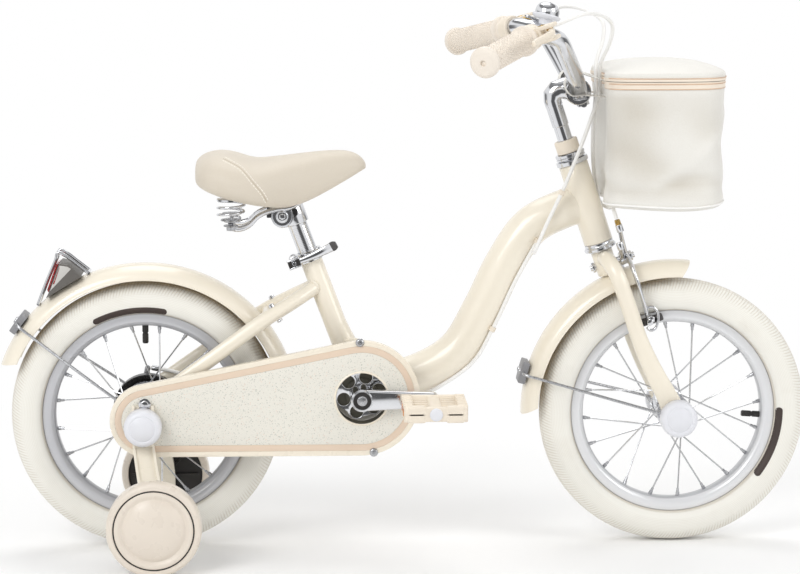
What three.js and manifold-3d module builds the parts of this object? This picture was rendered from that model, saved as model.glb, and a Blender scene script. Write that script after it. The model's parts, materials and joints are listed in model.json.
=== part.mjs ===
// A kids bike with training wheels, in millimetres.
// +X is forward, +Y is the rider's left and +Z is up; the origin is where the rear tyre stands.
import * as THREE from 'three';
import { mergeVertices } from 'three/addons/utils/BufferGeometryUtils.js';
import Module from 'manifold-3d';

const wasm = await Module();
wasm.setup();

// Driving dimensions: layout
const wheelbase = 689;
const wheelRadius = 175;
const bracketAhead = 279;
const bracketRise = 32;
const headLean = THREE.MathUtils.degToRad(18.5);
const seatLean = THREE.MathUtils.degToRad(20.5);
const forkRake = 23;

// Clearances between pieces
const gap = 0.3;
const overrun = 5;
const weldDepth = 2;

// Tyre and rim
const tyreWidth = 48;
const treadWidth = 14;
const rimRadius = 134;
const rimDepth = 16.5;
const rimWidth = 27;
const rimWall = 2.3;
const rimWellDepth = 8.6;
const valveRadius = 3.4;
const valveLength = 23;
const wheelSides = 32;

// Hubs and spokes
const flangeRadius = 23;
const flangeThickness = 3;
const spokeCircleRadius = 19.5;
const spokeRadius = 1.05;
const spokesPerFlange = 10;
const spokeLacing = THREE.MathUtils.degToRad(72);
const spokeElbow = 1.7;
const hubBarrelRadius = 12;
const hubSides = 10;
const flangeSpacing = 50;
const axleRadius = 5;
const coneRadius = 8;
const coneLength = 4;

// Rear brake drum and its fixed cover
const drumRadius = 37;
const drumWidth = 9;
const coverRadius = 43;
const coverWall = 1.6;
const coverDepth = 17;
const coverStep = 6;
const coverBossRadius = 12;
const drumClearance = 4;
const brakeArmLength = 25;
const brakeArmWidth = 9;
const brakeArmThickness = 3;

// Frame tubes
const headTubeStart = 243;
const headTubeLength = 108;
const headTubeRadius = 19;
const headTubeWall = 3;
const mainTubeHeadRadius = 25;
const mainTubeFootRadius = 27;
const seatTubeLength = 186;
const seatTubeRadius = 14.3;
const seatTubeFloor = 30;
const bracketShellRadius = 20;
const bracketShellLength = 68;
const bracketBearingRadius = 17;
const chainStayRadius = 9;
const seatStayRadius = 9.5;
const dropoutSpread = 57;
const dropoutThickness = 5;
const dropoutRadius = 16;
const bridgeRadius = 6;
const guardPegRadius = 4;
const tubeSides = 12;

// Headset and stem
const headsetRadius = 21;
const headsetLowerHeight = 9.4;
const headsetUpperHeight = 15;
const headsetCoverRadius = 15.3;
const headsetCoverHeight = 17;
const steererRadius = 12.7;
const quillRadius = 10.8;
const quillInsertion = 70;
const stemTop = 448;
const stemReach = 34;
const stemDrop = 10;
const stemNeckRadius = 12.5;
const stemClampRadius = 17;
const stemClampWidth = 27;

// Handlebar, grips and levers
const barRadius = 11.1;
const barHalfWidth = 252;
const barRise = 95;
const gripSweepBack = 67;
const gripLength = 130;
const gripRadius = 15.8;
const gripFlangeRadius = 19;
const gripFlangeWidth = 6;
const gripEndWall = 3.5;
const leverClampWidth = 15;
const leverClampRadius = 15;
const leverReach = 44;
const leverLength = 92;
const leverWidth = 11;
const leverThickness = 6;
const leverPivotRadius = 6.5;
const leverEarThickness = 3;
const leverTravel = THREE.MathUtils.degToRad(13);
const adjusterRadius = 4;
const adjusterLength = 16;
const cableRadius = 2.5;

// Bell
const bellRadius = 17;
const bellHeight = 14;
const bellBaseHeight = 7;
const strikerLength = 24;
const strikerRadius = 2.2;

// Fork
const bladeTopRadius = 10.5;
const bladeTipHalfWidth = 15;
const bladeTipHalfThickness = 4.5;
const forkDropoutSpread = 50;
const crownRadius = 14;

// Fenders and their stays
const fenderRadius = 198.8;
const fenderHalfWidth = 28.5;
const fenderDepth = 20;
const fenderThickness = 1.4;
const rearFenderFrom = THREE.MathUtils.degToRad(3);
const rearFenderTo = THREE.MathUtils.degToRad(160);
const frontFenderFrom = THREE.MathUtils.degToRad(84);
const frontFenderTo = THREE.MathUtils.degToRad(181);
const fenderSteps = 16;
const stayWireRadius = 1.9;
const stayClipLength = 28;
const stayClipHeight = 9;
const stayClipWidth = 40;
const stayEyeRadius = 11;
const stayEyeThickness = 2.4;
const rearClipAngle = THREE.MathUtils.degToRad(143);
const frontClipAngle = THREE.MathUtils.degToRad(165);

// Tail reflector on the rear fender
const reflectorAngle = THREE.MathUtils.degToRad(121);
const reflectorLength = 54;
const reflectorHeight = 28;
const reflectorWidth = 58;
const lensThickness = 3;
const lensMargin = 4;
const reflectorGuardRadius = 2.2;
const reflectorGuardReach = 14;
const reflectorGuardRise = 13;

// Chain drive
const chainPitch = 12.7;
const chainringTeeth = 28;
const freewheelTeeth = 16;
const chainLine = 45.5;
const chainInnerGap = 3.8;
const chainPlate = 1.3;
const chainPlateHalfHeight = 4.2;
const rollerRadius = 3.4;
const rollerSides = 3;
const sprocketThickness = 2.4;
const toothHeight = 6.2;
const chainringWindows = 7;
const chainringWindowRadius = 6.6;
const chainringWindowCircle = 22.5;
const freewheelBodyRadius = 22;
const freewheelBodyWidth = 11;

// Cranks and pedals
const crankLength = 89;
const crankBossRadius = 14;
const crankEyeRadius = 10;
const crankThickness = 12;
const rightCrankPlane = 80;
const leftCrankPlane = 62;
const spindleRadius = 8;
const pedalAxleRadius = 4;
const pedalLength = 80;
const pedalWidth = 88;
const pedalThickness = 25;
const pedalBar = 12;
const pedalBarrelRadius = 9;
const pedalOffset = 6;

// Chain guard
const guardPlane = 76;
const guardWall = 1.5;
const guardFlange = 11;
const guardFrontRadius = 74.5;
const guardRearRadius = 47;
const guardRearShift = 4;
const guardRearRise = 5;
const guardWindowRadius = 34;
const guardAxleHoleRadius = 14;

// Rear axle stack and training wheels
const capRadius = 24;
const capDepth = 22;
const frontCapDepth = 18;
const nutRadius = 9;
const nutHeight = 8;
const bracketThickness = 3.5;
const bracketWidth = 28;
const bracketFlange = 7;
const bracketTopRise = 26;
const spacerRadius = 9.5;
const trainerRadius = 60;
const trainerAhead = 16;
const trainerSpread = 160;
const trainerWidth = 34;
const trainerBoltRadius = 5;
const trainerSides = 18;

// Saddle
const postRadius = 12.7;
const postInsertion = 90;
const saddleLength = 220;
const saddleHalfWidth = 78;
const saddleRear = 67;
const saddleDepth = 72;
const springRadius = 16;
const springWireRadius = 1.9;
const springHeight = 25.3;
const springCurls = 3;
const springAhead = 46;
const springSpread = 36;
const springSeatHeight = 434;
const postAboveSpringSeat = 13.725;
const postTop = (springSeatHeight + postAboveSpringSeat - wheelRadius - bracketRise) / Math.cos(seatLean);
const saddleCrownRise = 60.7;
const saddleTop = springSeatHeight + springHeight + saddleCrownRise;
const railRadius = 3.4;
const saddleClampRadius = 14;
const saddleClampWidth = 46;
const seatCollarWall = 3.4;
const seatCollarHeight = 14;
const seatCollarTop = 8;
const seatLeverLength = 62;
const seatLeverThickness = 5;
const seatLeverWidth = 12;

// Bag on the handlebar
const bagAhead = 37.55;
const bagDepth = 154;
const bagHalfWidth = 105;
const bagBelow = 141.86;
const bagHeight = 160;
const bagWall = 3;
const bagEdgeRound = 12;
const bagWingReach = 25;
const lidRim = 10;
const lidCrown = 13;
const strapWidth = 22;
const strapThickness = 4;
const strapSpread = 35;

// Front brake caliper
const caliperRise = 212;
const caliperBoltRadius = 4;
const caliperArmWidth = 11;
const caliperArmThickness = 6;
const caliperAhead = 19.5;
const caliperLongRise = 44;
const caliperShortRise = 22;
const padLength = 38;
const padHeight = 9;
const padThickness = 10;
const padGap = 2.5;

const half = (value) => value / 2;
const v3 = (x, y, z) => new THREE.Vector3(x, y, z);
const AXIS_Y = v3(0, 1, 0);
const AXIS_Z = v3(0, 0, 1);
const RIGHT = -1;
const LEFT = 1;

// Finishes
const finish = (color, roughness, metalness = 0) =>
  new THREE.MeshStandardMaterial({ color, roughness, metalness });
const cream = finish(0xf0e4c4, 0.3);
const creamPlastic = finish(0xefe2c6, 0.45);
const tyreRubber = finish(0xece5d6, 0.85);
const rimMetal = finish(0xb9bbbc, 0.35, 0.8);
const chrome = finish(0xd8d8da, 0.12, 1);
const steel = finish(0x8d8f92, 0.35, 0.9);
const blackSteel = finish(0x1c1c1e, 0.4, 0.6);
const beigeRubber = finish(0xe6d3bb, 0.6);
const beigePlastic = finish(0xecdcc4, 0.5);
const whitePlastic = finish(0xf4f4f4, 0.35);
const saddleLeather = finish(0xd2bfa8, 0.6);
const bagLeather = finish(0xe9e5dc, 0.55);
const greyPlastic = finish(0x8a8f94, 0.5);
const darkPlastic = finish(0x2a2020, 0.4);
const redLens = finish(0xb81420, 0.2);

// Solids and booleans

// A closed three.js geometry as a solid, with its faces pointing out.
function toSolid(geometry) {
  const bare = geometry.clone();
  bare.deleteAttribute('normal');
  bare.deleteAttribute('uv');
  const merged = mergeVertices(bare);
  const corners = merged.index.array;
  const faces = [];
  for (let i = 0; i < corners.length; i += 3) {
    const [a, b, c] = corners.slice(i, i + 3);
    if (a !== b && b !== c && c !== a) faces.push(a, b, c);
  }
  const make = (triVerts) => new wasm.Manifold(new wasm.Mesh({
    numProp: 3,
    vertProperties: new Float32Array(merged.attributes.position.array),
    triVerts: new Uint32Array(triVerts),
  }));
  const solid = make(faces);
  return solid.volume() < 0 ? make(faces.reverse()) : solid;
}

function toGeometry(solid) {
  const mesh = solid.getMesh();
  return new THREE.BufferGeometry()
    .setAttribute('position', new THREE.BufferAttribute(mesh.vertProperties, 3))
    .setIndex(new THREE.BufferAttribute(mesh.triVerts, 1));
}

const join = (...parts) => toGeometry(parts.map(toSolid).reduce((whole, part) => whole.add(part)));
const cut = (body, ...tools) =>
  toGeometry(tools.map(toSolid).reduce((rest, tool) => rest.subtract(tool), toSolid(body)));

// A round body about +Y from [radius, along] pairs, with the middle of a facet facing straight down.
function turned(profile, sides) {
  const stretch = 1 / Math.cos(Math.PI / sides);
  const points = profile.map(([radius, along]) => new THREE.Vector2(radius * stretch, along));
  return new THREE.LatheGeometry(points, sides, Math.PI / sides);
}
const turnedRing = (profile, sides) => turned([...profile, profile[0]], sides);

// A sleeve about +Y between two places along the axis.
const sleeve = (outer, inner, from, to, sides) =>
  turnedRing([[inner, from], [outer, from], [outer, to], [inner, to]], sides);

// Turns a body made about +Y so that it stands about +Z.
const upright = (geometry) => geometry.rotateX(Math.PI / 2);

// A body made about +Y from zero, laid so that its zero is at one point and +Y aims at another.
function aimed(geometry, from, to) {
  const along = to.clone().sub(from).normalize();
  geometry.applyQuaternion(new THREE.Quaternion().setFromUnitVectors(AXIS_Y, along));
  return geometry.translate(from.x, from.y, from.z);
}

function rod(from, to, radius, sides, endRadius = radius) {
  const length = from.distanceTo(to);
  const cylinder = new THREE.CylinderGeometry(endRadius, radius, length, sides);
  return aimed(cylinder.translate(0, half(length), 0), from, to);
}

// A round tool for a hole: its flats, not its corners, lie at the radius.
const drill = (from, to, radius, sides) => rod(from, to, radius / Math.cos(Math.PI / sides), sides);

// A box between two corners.
function block(low, high) {
  const size = high.clone().sub(low);
  const centre = low.clone().add(high).divideScalar(2);
  return new THREE.BoxGeometry(size.x, size.y, size.z).translate(centre.x, centre.y, centre.z);
}

const roundSection = (radius, sides, radiusUp = radius) =>
  Array.from({ length: sides }, (_, i) => {
    const angle = ((i + half(1)) * 2 * Math.PI) / sides;
    return [radius * Math.cos(angle), radiusUp * Math.sin(angle)];
  });

const flatSection = (width, thickness) => [
  [-half(width), -half(thickness)],
  [half(width), -half(thickness)],
  [half(width), half(thickness)],
  [-half(width), half(thickness)],
];

// Carries a section of [across, up] pairs along a path: side is the way that across points.
function sweep(path, sectionAt, side) {
  const last = path.length - 1;
  const rings = path.map((point, i) => {
    const ahead = path[Math.min(i + 1, last)].clone().sub(path[Math.max(i - 1, 0)]).normalize();
    const up = v3(0, 0, 0).crossVectors(ahead, side).normalize();
    const across = v3(0, 0, 0).crossVectors(up, ahead);
    return sectionAt(i / last).map(([a, b]) =>
      point.clone().addScaledVector(across, a).addScaledVector(up, b));
  });
  return skin(rings);
}

// Joins rings of equally many points into a closed body with a flat cap at each end.
function skin(rings) {
  const count = rings[0].length;
  const faces = [];
  for (let ring = 0; ring < rings.length - 1; ring++) {
    for (let i = 0; i < count; i++) {
      const a = ring * count + i;
      const b = ring * count + ((i + 1) % count);
      faces.push(a, b, a + count, b, b + count, a + count);
    }
  }
  const flat = capOutline(rings[0]);
  const lastStart = (rings.length - 1) * count;
  for (const [a, b, c] of THREE.ShapeUtils.triangulateShape(flat, [])) {
    const turn = THREE.ShapeUtils.isClockWise(flat) ? [a, b, c] : [a, c, b];
    faces.push(...turn);
    faces.push(...turn.reverse().map((corner) => corner + lastStart));
  }
  const position = new Float32Array(rings.flat().flatMap((point) => point.toArray()));
  return new THREE.BufferGeometry()
    .setAttribute('position', new THREE.BufferAttribute(position, 3))
    .setIndex(faces);
}

// The points of a flat ring in the ring's own plane.
function capOutline(ring) {
  const centre = ring.reduce((sum, point) => sum.add(point), v3(0, 0, 0)).divideScalar(ring.length);
  const normal = v3(0, 0, 0);
  ring.forEach((point, i) => {
    const next = ring[(i + 1) % ring.length].clone().sub(centre);
    normal.add(point.clone().sub(centre).cross(next));
  });
  const right = ring[0].clone().sub(centre).projectOnPlane(normal.normalize()).normalize();
  const up = normal.clone().cross(right);
  return ring.map((point) => {
    const arm = point.clone().sub(centre);
    return new THREE.Vector2(arm.dot(right), arm.dot(up));
  });
}

// A round tube through points, as one smooth curve.
function tube(points, radius, sides, steps) {
  const shape = new THREE.Shape(roundSection(radius, sides).map(([a, b]) => new THREE.Vector2(a, b)));
  const extrudePath = new THREE.CatmullRomCurve3(points, false, 'centripetal');
  return new THREE.ExtrudeGeometry(shape, { steps, extrudePath, bevelEnabled: false });
}

const smoothPath = (points, steps) =>
  new THREE.CatmullRomCurve3(points, false, 'centripetal').getSpacedPoints(steps);

// A plate parallel to the XZ plane: the shape's y is height, and it fills from one y to another.
const sidePlate = (shape, fromY, toY, curveSegments) =>
  new THREE.ExtrudeGeometry(shape, { depth: toY - fromY, bevelEnabled: false, curveSegments })
    .rotateX(Math.PI / 2)
    .translate(0, toY, 0);

// The outline around two circles: a long plate with a round end on each.
function strapShape(fromX, fromZ, fromRadius, toX, toZ, toRadius) {
  const reach = Math.hypot(toX - fromX, toZ - fromZ);
  const heading = Math.atan2(toZ - fromZ, toX - fromX);
  const flare = Math.acos((fromRadius - toRadius) / reach);
  const shape = new THREE.Shape();
  shape.absarc(fromX, fromZ, fromRadius, heading + flare, heading - flare + 2 * Math.PI, false);
  shape.absarc(toX, toZ, toRadius, heading - flare, heading + flare, false);
  shape.closePath();
  return shape;
}

// A hole in a shape whose flats lie at the radius.
function addHole(shape, x, z, radius, sides) {
  const corner = radius / Math.cos(Math.PI / sides);
  const step = (2 * Math.PI) / sides;
  shape.holes.push(new THREE.Path(Array.from({ length: sides }, (_, i) =>
    new THREE.Vector2(x + corner * Math.cos(i * step), z + corner * Math.sin(i * step)))));
  return shape;
}

// Places that pieces share
const rearAxle = v3(0, 0, wheelRadius);
const frontAxle = v3(wheelbase, 0, wheelRadius);
const bracket = v3(bracketAhead, 0, wheelRadius + bracketRise);

const bike = new THREE.Group();

// The steering frame: local +Z runs up the steering axis and the front axle is ahead on local +X.
const steering = new THREE.Group();
steering.position.set(
  wheelbase - forkRake * Math.cos(headLean), 0, wheelRadius - forkRake * Math.sin(headLean));
steering.rotation.y = -headLean;
steering.updateMatrix();
bike.add(steering);

// The seat frame: local +Z runs up the seat tube from the bottom bracket.
const seat = new THREE.Group();
seat.position.copy(bracket);
seat.rotation.y = -seatLean;
seat.updateMatrix();
bike.add(seat);

const onSteering = (point) => point.clone().applyMatrix4(steering.matrix);
const onSeat = (point) => point.clone().applyMatrix4(seat.matrix);
const aroundRear = (radius, angle, y = 0) =>
  v3(radius * Math.cos(angle), y, wheelRadius + radius * Math.sin(angle));
const aroundFront = (radius, angle, y = 0) => aroundRear(radius, angle, y).setX(
  wheelbase + radius * Math.cos(angle));

function add(name, geometry, material, group = bike) {
  const mesh = new THREE.Mesh(toGeometry(toSolid(geometry)), material);
  mesh.name = name;
  group.add(mesh);
}

const sideName = (side) => (side === RIGHT ? 'right' : 'left');

// Wheels

function tyre() {
  const section = half(tyreWidth);
  const centre = wheelRadius - section;
  const bead = rimRadius - rimWellDepth + gap;
  const beadHalf = half(rimWidth) - rimWall - gap;
  const at = (angle) => [centre + section * Math.cos(angle), section * Math.sin(angle)];
  const side = [
    [wheelRadius, half(treadWidth)],
    at(THREE.MathUtils.degToRad(50)),
    at(THREE.MathUtils.degToRad(95)),
    [rimRadius + gap, section * Math.cos(Math.PI / 4)],
    [rimRadius + gap, beadHalf],
    [bead, beadHalf],
  ];
  return turnedRing([...side.map(([r, y]) => [r, -y]), ...side.reverse()], wheelSides);
}

const rimInside = rimRadius - rimDepth;

function rim(valveAngle) {
  const wide = half(rimWidth);
  const well = rimRadius - rimWellDepth;
  const side = [
    [well, wide - rimWall],
    [rimRadius, wide - half(rimWall)],
    [rimRadius, wide],
    [half(rimRadius + rimInside) - rimWall, wide],
    [rimInside, half(wide)],
  ];
  const ring = turnedRing([...side.map(([r, y]) => [r, -y]), ...side.reverse()], wheelSides);
  const valveFoot = v3(Math.cos(valveAngle), 0, Math.sin(valveAngle));
  const stem = rod(
    valveFoot.clone().multiplyScalar(rimInside + weldDepth),
    valveFoot.clone().multiplyScalar(rimInside - valveLength),
    valveRadius, tubeSides);
  return join(ring, stem);
}

// A hub with ten spokes laced from each flange, every one leaving its flange almost at a tangent.
function spokedHub(rightEnd, leftEnd, spokePhase, drumPlane) {
  const bore = axleRadius + gap;
  const flangeOut = half(flangeSpacing) + flangeThickness;
  const profile = (end) => [
    [hubBarrelRadius, half(flangeSpacing) - flangeThickness],
    [flangeRadius, half(flangeSpacing)],
    [flangeRadius, flangeOut],
    [hubBarrelRadius, flangeOut],
    [hubBarrelRadius, end - coneLength],
    [coneRadius, end],
    [bore, end],
  ];
  const body = turnedRing(
    [...profile(rightEnd).map(([r, y]) => [r, -y]).reverse(), ...profile(leftEnd)], hubSides);
  const pieces = [body];
  const rimEnd = rimInside - 2 * gap;
  const step = (2 * Math.PI) / spokesPerFlange;
  for (const flange of [RIGHT, LEFT]) {
    for (let i = 0; i < spokesPerFlange; i++) {
      const leading = i % 2 === 0 ? 1 : -1;
      const hubAngle = (i + (flange === LEFT ? half(1) : 0)) * step + spokePhase;
      const rimAngle = hubAngle + leading * spokeLacing;
      const y = flange * (flangeOut - half(flangeThickness) + leading * spokeElbow);
      const hole = v3(spokeCircleRadius * Math.cos(hubAngle), y, spokeCircleRadius * Math.sin(hubAngle));
      const nipple = v3(rimEnd * Math.cos(rimAngle), 0, rimEnd * Math.sin(rimAngle));
      pieces.push(sweep([hole, nipple], () => roundSection(spokeRadius, 4), AXIS_Y));
    }
  }
  if (drumPlane) pieces.push(sleeve(drumRadius, bore, drumPlane - drumWidth, drumPlane, 20));
  return join(...pieces);
}

// The hubs fill the room between the dropouts; the brake cover takes its share on the left rear side.
const frontHubEnd = forkDropoutSpread - bladeTipHalfThickness - gap;
const rearHubEnd = dropoutSpread - half(dropoutThickness) - gap;
const coverFace = rearHubEnd - coverStep;
const drumOuterPlane = coverFace - coverWall - drumClearance;
const rearSpokePhase = THREE.MathUtils.degToRad(9);
const frontSpokePhase = THREE.MathUtils.degToRad(5);
const spokeStep = Math.PI / spokesPerFlange;

const rearWheel = new THREE.Group();
rearWheel.position.copy(rearAxle);
bike.add(rearWheel);
const frontWheel = new THREE.Group();
frontWheel.position.copy(frontAxle);
bike.add(frontWheel);

add('rear_tyre', tyre(), tyreRubber, rearWheel);
add('rear_rim', rim(rearSpokePhase + 4.5 * spokeStep), rimMetal, rearWheel);
add('rear_hub_and_spokes', spokedHub(
  rearHubEnd, coverFace - coverWall - gap, rearSpokePhase, drumOuterPlane), steel, rearWheel);
add('front_tyre', tyre(), tyreRubber, frontWheel);
add('front_rim', rim(frontSpokePhase - half(spokeStep)), rimMetal, frontWheel);
add('front_hub_and_spokes', spokedHub(frontHubEnd, frontHubEnd, frontSpokePhase), steel, frontWheel);

// Frame

const headJoint = onSteering(v3(0, 0, headTubeStart + half(headTubeLength)));
const headSpan = headJoint.clone().sub(bracket);
const mainTubeShares = [
  [0, 0], [0.26, 0.075], [0.43, 0.2], [0.545, 0.43], [0.64, 0.67], [0.755, 0.872], [0.895, 0.963], [1, 1],
];
const mainTubeSteps = 16;
const mainTubePath = smoothPath(
  mainTubeShares.map(([x, z]) => bracket.clone().add(v3(headSpan.x * x, 0, headSpan.z * z))),
  mainTubeSteps);

const mainTubeRadius = (share) => mainTubeFootRadius + (mainTubeHeadRadius - mainTubeFootRadius) * share;

// The curved fairing that runs out of the front of the seat tube into the main tube.
function seatTubeFairing() {
  const riseShare = 0.5;
  const reachShare = 0.22;
  const path = smoothPath([
    onSeat(v3(0, 0, seatTubeLength * riseShare)),
    onSeat(v3(half(seatTubeRadius), 0, seatTubeLength * riseShare * riseShare)),
    bracket.clone().add(v3(headSpan.x * reachShare, 0, headSpan.z * half(reachShare))),
  ], 5);
  return sweep(path, () => roundSection(seatTubeRadius, 10), AXIS_Y);
}

const seatStayHigh = seatTubeLength * 0.788;
const stayBridgeAngle = THREE.MathUtils.degToRad(39.7);
const bridgeDistance = fenderRadius + gap + bridgeRadius;
const upperBridge = aroundRear(bridgeDistance, stayBridgeAngle);
const lowerBridge = aroundRear(bridgeDistance, rearFenderFrom + THREE.MathUtils.degToRad(3));
const stayClearance = fenderHalfWidth + seatStayRadius;

function rearStays(side) {
  const seatEnd = onSeat(v3(-half(seatTubeRadius), side * half(seatTubeRadius), seatStayHigh));
  const dropout = v3(dropoutRadius / 2, side * (dropoutSpread - half(weldDepth)), wheelRadius + 1.6 * dropoutRadius);
  const seatStay = smoothPath([
    seatEnd,
    upperBridge.clone().lerp(seatEnd, half(1)).setY(side * stayClearance * 0.75),
    upperBridge.clone().setY(side * (stayClearance + gap * 9)),
    upperBridge.clone().lerp(dropout, half(1)).setY(side * (dropoutSpread - seatStayRadius * 0.35)),
    dropout,
  ], 8);
  const chainStay = smoothPath([
    bracket.clone().add(v3(-half(bracketShellRadius), side * bracketShellRadius, -gap)),
    lowerBridge.clone().add(v3(overrun, side * (chainStayRadius * 3.85), 0)),
    lowerBridge.clone().lerp(rearAxle, 0.22).setY(side * chainStayRadius * 4.5),
    lowerBridge.clone().lerp(rearAxle, 0.6).setY(side * (dropoutSpread - half(chainStayRadius))),
    rearAxle.clone().add(v3(dropoutRadius * 1.5, side * (dropoutSpread - half(weldDepth)), 1)),
  ], 7);
  // Each stay is round at the bracket and pressed flat where it meets its dropout.
  const flatFrom = 0.4;
  const stay = (path, radius) => sweep(path, (share) => {
    const pressed = Math.max(0, (share - flatFrom) / (1 - flatFrom));
    return roundSection(radius * (1 - half(pressed)), 8, radius);
  }, AXIS_Y);
  const plate = new THREE.Shape();
  plate.absarc(0, wheelRadius, dropoutRadius, half(Math.PI) * 1.3, half(Math.PI) * 3.1, false);
  plate.lineTo(dropoutRadius * 2.1, wheelRadius - dropoutRadius / 2);
  plate.lineTo(dropoutRadius * 2.1, wheelRadius + dropoutRadius / 2);
  plate.lineTo(dropoutRadius, wheelRadius + dropoutRadius * 1.95);
  plate.lineTo(0, wheelRadius + dropoutRadius * 1.95);
  plate.lineTo(-dropoutRadius * 1.35, wheelRadius + dropoutRadius * 1.25);
  plate.closePath();
  const inner = side * dropoutSpread - half(dropoutThickness);
  return [
    stay(seatStay, seatStayRadius),
    stay(chainStay, chainStayRadius),
    sidePlate(plate, inner, inner + dropoutThickness, 6),
  ];
}

// The pegs that carry the chain guard, above and below the chainring.
const guardInside = guardPlane - guardWall - gap;
const chainringPitchRadius = chainPitch / (2 * Math.sin(Math.PI / chainringTeeth));
const pegDistance = half(guardFrontRadius - guardWall + chainringPitchRadius + chainPlateHalfHeight);

function guardPegs() {
  const top = bracket.clone().add(v3(-guardPegRadius, 0, pegDistance));
  const bottom = bracket.clone().add(v3(-guardPegRadius * 4, -bracketShellRadius, -pegDistance));
  return [
    tube([onSeat(v3(0, -half(seatTubeRadius), pegDistance)), top.clone().setY(-bracketShellRadius * 1.5),
      top.clone().setY(-chainLine), top.clone().setY(-guardInside)], guardPegRadius, 6, 5),
    rod(bottom.clone().setZ(bracket.z - half(bracketShellRadius)), bottom, guardPegRadius, 6),
    rod(bottom.clone().setY(half(guardPegRadius) - bracketShellRadius), bottom.clone().setY(-guardInside),
      guardPegRadius, 6),
  ];
}

function frame() {
  const mainTube = sweep(
    mainTubePath, (share) => roundSection(mainTubeRadius(share), tubeSides), AXIS_Y);
  const headTube = upright(turned([
    [0, 0], [headTubeRadius, 0], [headTubeRadius, headTubeLength], [0, headTubeLength],
  ], tubeSides + 4)).translate(0, 0, headTubeStart).applyMatrix4(steering.matrix);
  const headBore = upright(sleeve(headTubeRadius - headTubeWall, 0, -overrun, headTubeLength + overrun,
    tubeSides + 4)).translate(0, 0, headTubeStart).applyMatrix4(steering.matrix);
  const seatTube = rod(bracket, onSeat(v3(0, 0, seatTubeLength)), seatTubeRadius, tubeSides + 4);
  const postBore = drill(onSeat(v3(0, 0, seatTubeFloor + bracketShellRadius)),
    onSeat(v3(0, 0, seatTubeLength + overrun)), postRadius + gap, tubeSides + 4);
  const shell = rod(bracket.clone().setY(-half(bracketShellLength)),
    bracket.clone().setY(half(bracketShellLength)), bracketShellRadius, tubeSides + 4);
  const shellBore = drill(bracket.clone().setY(-half(bracketShellLength) - overrun),
    bracket.clone().setY(half(bracketShellLength) + overrun), bracketBearingRadius, tubeSides + 4);
  const bridge = (at, reach) => rod(at.clone().setY(-reach), at.clone().setY(reach), bridgeRadius, 6);
  const axleHole = drill(rearAxle.clone().setY(-dropoutSpread - overrun),
    rearAxle.clone().setY(dropoutSpread + overrun), axleRadius + gap, tubeSides);
  return cut(
    join(mainTube, headTube, seatTube, shell, seatTubeFairing(), bridge(upperBridge, stayClearance),
      bridge(lowerBridge, chainStayRadius * 3.5), ...rearStays(RIGHT), ...rearStays(LEFT), ...guardPegs()),
    headBore, postBore, shellBore, axleHole);
}
add('frame', frame(), cream);

// The sealed bearing unit in the bottom bracket shell, with its two lips.
function bottomBracket() {
  const lip = half(bracketShellLength) + gap;
  const inside = bracketBearingRadius - 2 * gap;
  const bore = spindleRadius + gap;
  const lipOut = lip + gap * 10;
  return turnedRing([
    [bore, -lipOut], [bracketShellRadius, -lipOut], [bracketShellRadius, -lip], [inside, -lip],
    [inside, lip], [inside, lipOut], [bore, lipOut],
  ], tubeSides + 4).translate(bracket.x, 0, bracket.z);
}
add('bottom_bracket', bottomBracket(), steel);

// Headset, its cover and the steering column
const crownTop = headTubeStart - headsetLowerHeight - 2 * gap;
const headsetUpperStart = headTubeStart + headTubeLength + gap;
const steererTop = headsetUpperStart + headsetUpperHeight;
const headsetBore = steererRadius + 2 * gap;

function headsetCup(height, waistRadius) {
  return upright(turnedRing([
    [headsetBore, 0], [headsetRadius, 0], [headsetRadius, height * 0.4], [waistRadius, height * 0.55],
    [waistRadius, height], [headsetBore, height],
  ], tubeSides + 4));
}
add('headset_lower', headsetCup(headsetLowerHeight, headTubeRadius)
  .translate(0, 0, crownTop + gap), chrome, steering);
add('headset_upper', headsetCup(headsetUpperHeight, headTubeRadius - headTubeWall)
  .translate(0, 0, headsetUpperStart), chrome, steering);
add('headset_cover', upright(turnedRing([
  [quillRadius + gap, 0], [headsetCoverRadius, 0], [headsetCoverRadius, headsetCoverHeight * 0.85],
  [headsetCoverRadius - headTubeWall * 0.6, headsetCoverHeight], [quillRadius + gap, headsetCoverHeight],
], tubeSides + 4)).translate(0, 0, steererTop + gap), cream, steering);

// Fork: a steering column, a crown stub and two blades that flatten towards the axle
const fenderTop = Math.sqrt(fenderRadius ** 2 - (forkRake - crownRadius) ** 2) + gap;

function forkBlade(side) {
  const spread = forkDropoutSpread;
  const path = smoothPath([
    v3(0, side * crownRadius * 0.4, crownTop - bladeTopRadius * 1.1),
    v3(forkRake * 0.1, side * spread * 0.5, crownTop - bladeTopRadius * 1.3),
    v3(forkRake * 0.28, side * spread * 0.84, crownTop - bladeTopRadius * 3),
    v3(forkRake * 0.34, side * spread * 0.91, crownTop * 0.68),
    v3(forkRake * 0.36, side * spread * 0.94, crownTop * 0.46),
    v3(forkRake * 0.56, side * spread * 0.98, crownTop * 0.27),
    v3(forkRake * 0.86, side * spread, crownTop * 0.1),
    v3(forkRake, side * spread, -bladeTipHalfWidth),
  ], 9);
  const mix = (from, to, share) => from + (to - from) * Math.min(1, Math.max(0, share));
  return sweep(path, (share) => roundSection(
    mix(bladeTopRadius, bladeTipHalfThickness, (share - 0.4) * 2.2), 8,
    mix(bladeTopRadius, bladeTipHalfWidth, (share - 0.55) * 2.4)), AXIS_Y);
}

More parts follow.
